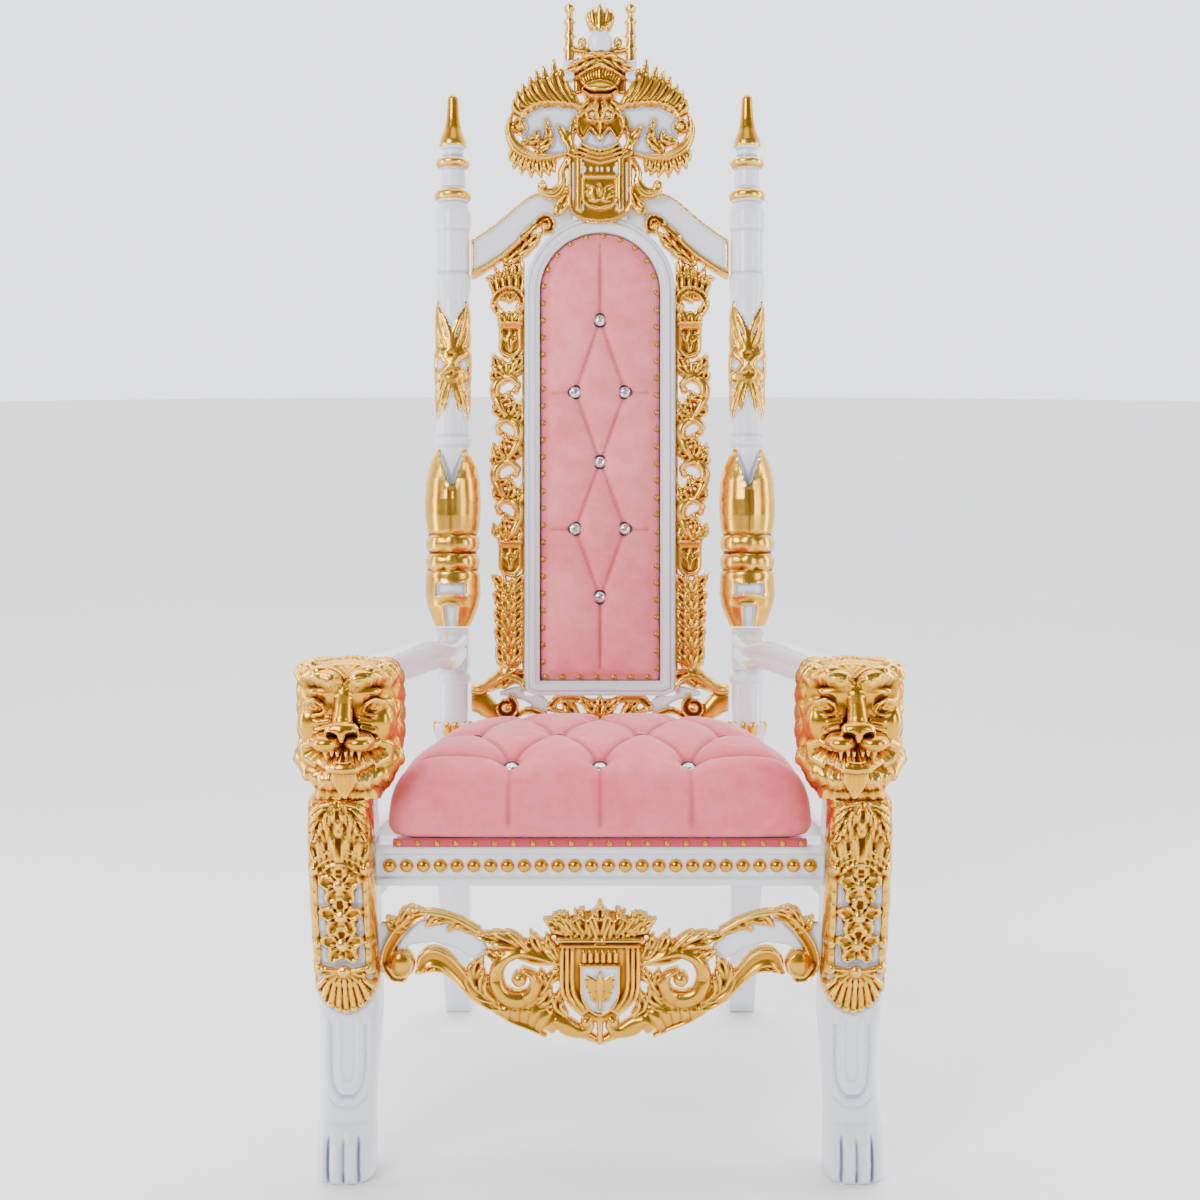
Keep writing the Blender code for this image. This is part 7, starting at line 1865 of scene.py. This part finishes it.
def swollen(made, pins, voxel, frames, cap):
    """Remeshes a closed form and blows it up as cloth; pinned points (weight 1) stay where they are."""
    active(made)
    remesh = made.modifiers.new("even faces", "REMESH")
    remesh.mode = "VOXEL"
    remesh.voxel_size = voxel
    applied(made)
    points = places_of(made)
    weights = pins(points)
    group = made.vertex_groups.new(name="pinned")
    for level in np.linspace(0, 1, 11)[1:]:
        chosen = np.nonzero((weights > level - 0.1) & (weights <= level))[0]
        if len(chosen):
            group.add(chosen.tolist(), float(level), "REPLACE")
    active(made)
    bpy.ops.object.modifier_add(type="CLOTH")
    cloth = made.modifiers[-1]
    for label, value in CLOTH.items():
        setattr(cloth.settings, label, value)
    cloth.settings.vertex_group_mass = "pinned"
    cloth.settings.effector_weights.gravity = 0
    cloth.point_cache.frame_start = 1
    cloth.point_cache.frame_end = frames
    for frame_number in range(1, frames + 1):
        bpy.context.scene.frame_set(frame_number)
    bpy.ops.object.modifier_apply(modifier=cloth.name)
    bpy.context.scene.frame_set(1)
    after = places_of(made)
    step = after - points
    length = np.linalg.norm(step, axis=1, keepdims=True)
    moved(made, points + step * np.minimum(1, cap / np.maximum(length, 1e-9)))
    made.vertex_groups.clear()
    print(made.name, "swelled by up to", round(float(length.max()) * 1000, 1), "mm")
    return made


def subdivided(made):
    finer = made.modifiers.new("finer", "SUBSURF")
    finer.levels = 1
    finer.render_levels = 1
    return applied(made)

# %% Distances to buttons and tucks
def to_nearest(flat, places):
    """The distance from flat points to the nearest of several places."""
    return np.linalg.norm(flat[:, None] - np.array(places)[None], axis=2).min(1)


def sunk(away, tuck, button, fold, dip):
    """How deep the cover lies near buttons and tucks; each pair is a depth and a reach."""
    depth = button[0] * np.exp(-(away / button[1])**1.6) + fold[0] * np.exp(-tuck / fold[1])
    return depth + dip[0] * np.exp(-(tuck / dip[1])**2)


def to_segments(points, segments):
    """The distance from flat points to the nearest of several line segments."""
    off = np.full(len(points), 1e9)
    for a, b in segments:
        a, b = np.array(a), np.array(b)
        t = np.clip(((points - a) @ (b - a)) / ((b - a) @ (b - a)), 0, 1)
        off = np.minimum(off, np.linalg.norm(points - a - t[:, None] * (b - a), axis=1))
    return off

# %% The seat cushion
SEAT_BASE = 0.5229
CUSHION_RISE = 0.123
SEAT_FRONT, SEAT_REAR = 0.030 + DEPTH_SHIFT, 0.560 + DEPTH_SHIFT
SEAT_HALF_FRONT, SEAT_HALF_REAR = 0.316, 0.226
SEAT_ROWS = ((0.098, (-0.131, 0.0, 0.131)), (0.240, (-0.196, -0.0655, 0.0655, 0.196)),
             (0.382, (-0.131, 0.0, 0.131)))
SEAT_BUTTONS = [(x, y + DEPTH_SHIFT) for y, xs in SEAT_ROWS for x in xs]


def seat_outline(inset, count=240):
    angles = np.arange(count) * 2 * np.pi / count + np.pi / count
    c, s = np.cos(angles), np.sin(angles)
    square = np.where(s < 0, 13.0, 6.0)
    x = signed_power(c, 2 / square)
    y = signed_power(s, 2 / square)
    half = SEAT_HALF_FRONT + (SEAT_HALF_REAR - SEAT_HALF_FRONT) * ((y + 1) / 2)**1.5 - inset
    return np.column_stack([half * x,
                            (SEAT_FRONT + SEAT_REAR) / 2 + ((SEAT_REAR - SEAT_FRONT) / 2 - inset) * y])


def seat_tucks():
    rows = [[(x, y + DEPTH_SHIFT) for x in xs] for y, xs in SEAT_ROWS]
    tucks = []
    for near, far in zip(rows, rows[1:]):
        tucks += [(a, b) for a in near for b in far if abs(a[0] - b[0]) < 0.07]
    tucks += [(a, (a[0] * 1.02, SEAT_FRONT - 0.02)) for a in rows[0]]
    tucks += [(a, (a[0], SEAT_REAR + 0.02)) for a in rows[2]]
    tucks += [((x, y), (1.7 * x, y + 0.01)) for x, y in (rows[1][0], rows[1][3])]
    tucks += [(rows[0][0], (-0.34, SEAT_FRONT + 0.10)), (rows[0][2], (0.34, SEAT_FRONT + 0.10))]
    return tucks


def seat_cushion():
    sections = []
    for inset, level in ((0.005, 0.0), (0.001, 0.03), (0.000, 0.14), (0.002, 0.30), (0.005, 0.46),
                         (0.013, 0.62),
                         (0.028, 0.77), (0.050, 0.88), (0.080, 0.95), (0.120, 0.99), (0.17, 1.0)):
        flat = seat_outline(inset)
        rear = np.clip((flat[:, 1] - DEPTH_SHIFT - 0.24) / 0.30, 0, 1)
        height = (CUSHION_RISE - 0.006) * level * (1 - 0.36 * rear**1.5)
        sections.append(np.column_stack([flat, SEAT_BASE + height]))
    count = len(sections[0])
    faces = [list(range(count))[::-1]] + skin(len(sections), count)
    faces.append(list(range((len(sections) - 1) * count, len(sections) * count)))
    made = from_arrays("velvet_seat", np.vstack(sections), faces)

    def pins(points):
        top = points[:, 2] > SEAT_BASE + 0.03
        near = np.exp(-(to_nearest(points[:, :2], SEAT_BUTTONS) / 0.012)**2) * top
        tuck = 0.75 * np.exp(-(to_segments(points[:, :2], seat_tucks()) / 0.006)**2) * top
        low = np.clip((SEAT_BASE + 0.012 - points[:, 2]) / 0.006, 0, 1)
        return np.maximum(np.maximum(near, tuck), low)

    swollen(made, pins, 0.0086, CLOTH_FRAMES, 0.009)
    subdivided(made)
    points, normals = places_of(made), normals_of(made)
    away = to_nearest(points[:, :2], SEAT_BUTTONS)
    tuck = to_segments(points[:, :2], seat_tucks())
    front = np.clip((SEAT_FRONT + 0.055 - points[:, 1]) / 0.03, 0, 1)
    up = np.clip((points[:, 2] - SEAT_BASE - 0.004) / 0.02, 0, 1)
    sink = sunk(away, tuck, (0.0175, 0.021), (0.0062 - 0.0022 * front, 0.0058), (0.0022, 0.020))
    moved(made, points - normals * (sink * up)[:, None])
    note_hollows(made, 30, 0.0042)
    smooth(made, 70)
    dressed(made, VELVET, "velvet", "seat_cushion")
    return made


seat = seat_cushion()

# %% The strip of velvet that is nailed over the rail's edge
strip = [(RAIL_FACE - 0.0072, 0.5225), (RAIL_FACE - 0.0120, 0.5228), (RAIL_FACE - 0.0144, 0.5205),
         (RAIL_FACE - 0.0146, 0.5168), (RAIL_FACE - 0.0142, 0.5130), (RAIL_FACE - 0.0122, 0.5106),
         (RAIL_FACE - 0.0092, 0.5102), (RAIL_FACE - 0.0072, 0.5120)]
drawn_through("velvet_seat_strip", [[(x, y, z) for y, z in strip] for x in np.linspace(-0.3, 0.3, 25)],
              VELVET,
              "velvet", ("seat_cushion",), angle=70)

# %% The back pad
PAD_EDGE = FRAME_FACE + 0.0006
PAD_ROWS = ((321.5, (0,)), (393, (-24.8, 24.8)), (462.5, (0,)), (529, (-24.8, 24.8)), (597, (0,)))
PAD_BUTTONS = [(x * BACK_ACROSS, (DRAWN_TURN - y) * BACK_DOWN) for y, xs in PAD_ROWS for x in xs]


def arch(inset, count=64):
    """The frame's outline in the plane of the back, foot corners first."""
    half = FRAME_OUT - inset
    side = [(half, FRAME_FOOT + inset + share * (FRAME_SPRING - FRAME_FOOT - inset)) for share in
            np.linspace(0, 1, 30, endpoint=False)]
    over = [(half * math.cos(a), FRAME_SPRING + half * math.sin(a)) for a in np.linspace(0, math.pi,
                                                                                         count + 1)]
    left = [(-x, z) for x, z in side[::-1]]
    foot = [(x, FRAME_FOOT + inset) for x in np.linspace(-half, half, 12)[1:-1]]
    return side + over + left + foot


def pad_tucks():
    rows = [[(x * BACK_ACROSS, (DRAWN_TURN - y) * BACK_DOWN) for x in xs] for y, xs in PAD_ROWS]
    tucks = []
    for upper, lower in zip(rows, rows[1:]):
        tucks += [(a, b) for a in upper for b in lower]
    top, foot = rows[0][0], rows[-1][0]
    tucks += [(top, (0, FRAME_SPRING + FRAME_OUT)), (foot, (0, FRAME_FOOT))]
    for row in (rows[1], rows[3]):
        tucks += [((x, z), (math.copysign(FRAME_OUT, x), z - 0.002)) for x, z in row]
    return tucks


def back_pad():
    levels = [(PAD_EDGE, FRAME_BACK - GAP), (PAD_EDGE, -0.002), (PAD_EDGE + 0.0115, -0.0040),
              (PAD_EDGE + 0.0135, -0.0085), (PAD_EDGE + 0.020, -0.0165), (PAD_EDGE + 0.034, -0.0205),
              (PAD_EDGE + 0.055, -0.0220)]
    rings = []
    for inset, depth in levels:
        ring = np.array(arch(inset))
        rings.append(np.column_stack([ring[:, 0], np.full(len(ring), depth), ring[:, 1]]))
    count = len(rings[0])
    faces = [list(range(count))] + skin(len(rings), count, flipped=True)
    faces.append(list(range((len(rings) - 1) * count, len(rings) * count))[::-1])
    made = from_arrays("velvet_back_pad", np.vstack(rings), faces)
    outward(made)

    def pins(points):
        flat = points[:, [0, 2]]
        front = points[:, 1] < -0.009
        near = np.exp(-(to_nearest(flat, PAD_BUTTONS) / 0.011)**2)
        tuck = 0.75 * np.exp(-(to_segments(flat, pad_tucks()) / 0.005)**2)
        return np.where(front, np.maximum(near, tuck), 1.0)

    swollen(made, pins, 0.0064, CLOTH_FRAMES, 0.006)
    subdivided(made)
    points, normals = places_of(made), normals_of(made)
    flat = points[:, [0, 2]]
    away = to_nearest(flat, PAD_BUTTONS)
    tuck = to_segments(flat, pad_tucks())
    front = np.clip((-0.010 - points[:, 1]) / 0.006, 0, 1)
    sink = sunk(away, tuck, (0.0085, 0.017), (0.0034, 0.0042), (0.0014, 0.016))
    moved(made, points - normals * (sink * front)[:, None])
    settled(made, ON_THE_LEAN)
    note_hollows(made, 24, 0.0030)
    smooth(made, 70)
    dressed(made, PAD_VELVET, "velvet", "back_pad")
    return made


pad = back_pad()

# %% [markdown]
# ## Buttons and nails
# Each button is a cut crystal in a dark rim. It sits at the bottom of its tuck, so its place is read from
# the finished velvet. Brass nails run round the pad on the flat border, and along the front edge of the
# seat.
# %% Crystals, rims and nails
def crystal_material():
    made, tree, shader = new_material("cut_crystal")
    where = add(tree, "ShaderNodeTexCoord").outputs["Object"]
    facets = add(tree, "ShaderNodeTexVoronoi", {"Vector": where, "Scale": 260.0})
    # The facets' random grey and white cells are painted glints and reflections.
    cut = ramp(tree, facets.outputs["Color"], [(0.25, (0.42, 0.46, 0.52)), (0.75, (0.97, 0.98, 1.0))])
    finished(tree, shader, cut, 0.06, Metallic=0.75)
    bumped(tree, shader, facets.outputs["Distance"], 0.5, 0.0006)
    return made


def clouded_material(name, first, second, roughness, metallic=0.0, cloud=12.0):
    """Two close colours in soft clouds."""
    made, tree, shader = new_material(name)
    colour = ramp(tree, mottled(tree, cloud)["Cloud"], [(0.3, first), (0.7, second)])
    finished(tree, shader, colour, roughness, Metallic=metallic)
    return made


CRYSTAL_RADIUS = 0.0112
CRYSTAL_RISE = 0.0046
RIM_RADIUS = 0.0118
NAIL_SPACING = 0.0305
CRYSTAL = crystal_material()
RIM = clouded_material("dark_rim", (0.012, 0.012, 0.014), (0.03, 0.03, 0.034), 0.25)
NAIL = clouded_material("brass_nail", (0.42, 0.23, 0.02), (0.66, 0.39, 0.05), 0.28, 1.0, 90.0)

# %% Cut stones in their rims
def crystals(name, places, nodes):
    """Cut stones with their rims: a cone is cut off flat, and its edge bevelled into facets."""
    stones, rims = [], []
    for place, direction in places:
        matrix = facing_matrix(place, direction)
        deselected()
        bpy.ops.mesh.primitive_cone_add(vertices=10, radius1=CRYSTAL_RADIUS, radius2=0.0058,
                                        depth=CRYSTAL_RISE,
                                        location=(0, 0, CRYSTAL_RISE / 2))
        stone = bpy.context.object
        edge = stone.modifiers.new("facets", "BEVEL")
        edge.width = 0.0016
        edge.segments = 1
        applied(stone)
        stones.append(settled(stone, matrix))
        deselected()
        bpy.ops.mesh.primitive_torus_add(major_segments=28, minor_segments=8, major_radius=RIM_RADIUS,
                                         minor_radius=0.0016)
        rims.append(settled(bpy.context.object, matrix))
    stone = joined(name, stones)
    dressed(stone, CRYSTAL, "crystal", *nodes)
    rim = joined(name + "_rims", rims)
    smooth(rim, 60)
    dressed(rim, RIM, "crystal", *nodes)

# %% Where the buttons lie
def seat_button_places():
    points, normals = places_of(seat), normals_of(seat)
    found = []
    for x, y in SEAT_BUTTONS:
        near = (np.hypot(points[:, 0] - x, points[:, 1] - y) < 0.011) & (points[:, 2] > SEAT_BASE + 0.03)
        facing = normals[near].mean(0) + (0, -0.55, 0)
        facing /= np.linalg.norm(facing)
        found.append((Vector(points[near].mean(0) + 0.0022 * facing), Vector(facing)))
    return found


def pad_button_places():
    points = places_of(pad)
    found = []
    facing = np.array(ON_THE_LEAN.to_3x3() @ Vector((0, -1, 0)))
    for x, z in PAD_BUTTONS:
        middle = np.array(ON_THE_LEAN @ Vector((x, -0.02, z)))
        near = points[np.linalg.norm(points - middle, axis=1) < 0.018]
        depth = ((near - middle) @ facing)
        found.append((Vector(middle + facing * (np.percentile(depth, 30) + 0.0005)), Vector(facing)))
    return found


crystals("seat_crystals", seat_button_places(), [f"seat_button_{n}" for n in range(1, 11)])
crystals("pad_crystals", pad_button_places(), [f"back_button_{n}" for n in range(1, 8)])

# %% Rows of nails
def along_outline(outline, spacing, start=0.0):
    """Places a set distance apart along a closed outline."""
    outline = np.array(outline + outline[:1])
    lengths = np.hypot(*np.diff(outline, axis=0).T)
    total = np.concatenate([[0], np.cumsum(lengths)])
    count = int(round(total[-1] / spacing))
    at = (np.arange(count) + start) * total[-1] / count
    return np.column_stack([np.interp(at, total, outline[:, 0]), np.interp(at, total, outline[:, 1])])


facing = tuple(ON_THE_LEAN.to_3x3() @ Vector((0, -1, 0)))
border = [(in_world(x, -0.0046, z), facing) for x, z in along_outline(arch(PAD_EDGE + 0.0062), NAIL_SPACING,
                                                                      0.5)]
stud_row("pad_nails", 0.0052, 0.0040, border, NAIL, "velvet", ("back_pad",), segments=12)
front_nails = [((x, RAIL_FACE - 0.0146, 0.5168), (0, -1, 0)) for x in np.linspace(-0.292, 0.292, 22)]
stud_row("seat_nails", 0.0043, 0.0030, front_nails, NAIL, "velvet", ("seat_cushion",), segments=12)

# %% Materials on the plain frame parts
for name, node in cad.items():
    if not node.hide_render:
        node.data.materials.clear()
        gilded = name.startswith(("lion", "rail_beads", "back_button", "seat_button"))
        cloth = name in ("back_cover", "seat_deck", "seat_cushion", "back_pad")
        node.data.materials.append(GOLD if gilded else BACKING if cloth else WHITE)

# %% [markdown]
# ## The studio
# The chair stands on a plain pale floor in soft light: a large lamp from the upper left, a broad fill,
# and a bright surround that the gold can mirror.
# %% The floor
def studio_floor():
    deselected()
    bpy.ops.mesh.primitive_circle_add(vertices=96, radius=30, fill_type="NGON", location=(0, 0, 0))
    floor = bpy.context.object
    floor.name = "studio_floor"
    floor.data.materials.append(clouded_material("pale_floor", (0.86, 0.86, 0.87), (0.9, 0.9, 0.905), 0.75,
                                                 cloud=0.6))
    return floor

# %% Lamps
def softbox(name, place, target, size, power, colour=(1, 1, 1)):
    """A square lamp aimed at a point."""
    deselected()
    bpy.ops.object.light_add(type="AREA", location=place)
    lamp = bpy.context.object
    lamp.name = name
    lamp.data.shape = "RECTANGLE"
    lamp.data.size, lamp.data.size_y = size
    lamp.data.energy = power
    lamp.data.color = colour
    lamp.rotation_euler = (Vector(target) - Vector(place)).to_track_quat("-Z", "Y").to_euler()
    return lamp


studio_floor()
# Each lamp: name, place, what it aims at, size in metres, watts
for lamp in (("key", (-2.6, -3.4, 3.6), (0, 0, 0.9), (2.0, 2.4), 185),
             ("fill", (3.4, -3.0, 1.8), (0, 0, 0.8), (1.4, 2.4), 62, (0.97, 0.98, 1.0)),
             ("top", (0, -0.4, 4.6), (0, 0, 0), (2.0, 2.0), 20),
             ("left_strip", (-3.0, -0.4, 1.2), (0, 0, 1.0), (0.5, 2.6), 45),
             ("right_strip", (3.0, 0.2, 1.4), (0, 0, 1.0), (0.5, 2.6), 45)):
    softbox(*lamp)
deselected()
bpy.ops.object.light_add(type="SUN", location=(0, 6, 6), rotation=(math.radians(-35), 0, 0))
ceiling = bpy.context.object
ceiling.name = "ceiling"
ceiling.data.energy = 2.6
ceiling.data.angle = math.radians(80)
world = bpy.data.worlds.new("pale_surround")
bpy.context.scene.world = world
world.use_nodes = True
sky = world.node_tree
sky.nodes["Background"].inputs["Color"].default_value = (0.93, 0.95, 1.0, 1)
direction = add(sky, "ShaderNodeSeparateXYZ", {"Vector": add(sky,
                                                             "ShaderNodeTexCoord").outputs["Generated"]})
sky.links.new(spread(sky, direction.outputs["Y"], -0.3, 0.6, 0.30, 2.5),
              sky.nodes["Background"].inputs["Strength"])

# %% The camera
CAMERA_PLACE = (0, -2.7311, 1.2505)
CAMERA_TILT = math.radians(90 - 9)    # the photograph looks nine degrees down
LENS = 51
SENSOR = 36

deselected()
bpy.ops.object.camera_add(location=CAMERA_PLACE, rotation=(CAMERA_TILT, 0, 0))
camera = bpy.context.object
camera.data.lens = LENS
camera.data.sensor_width = SENSOR
camera.data.clip_end = 200
bpy.context.scene.camera = camera
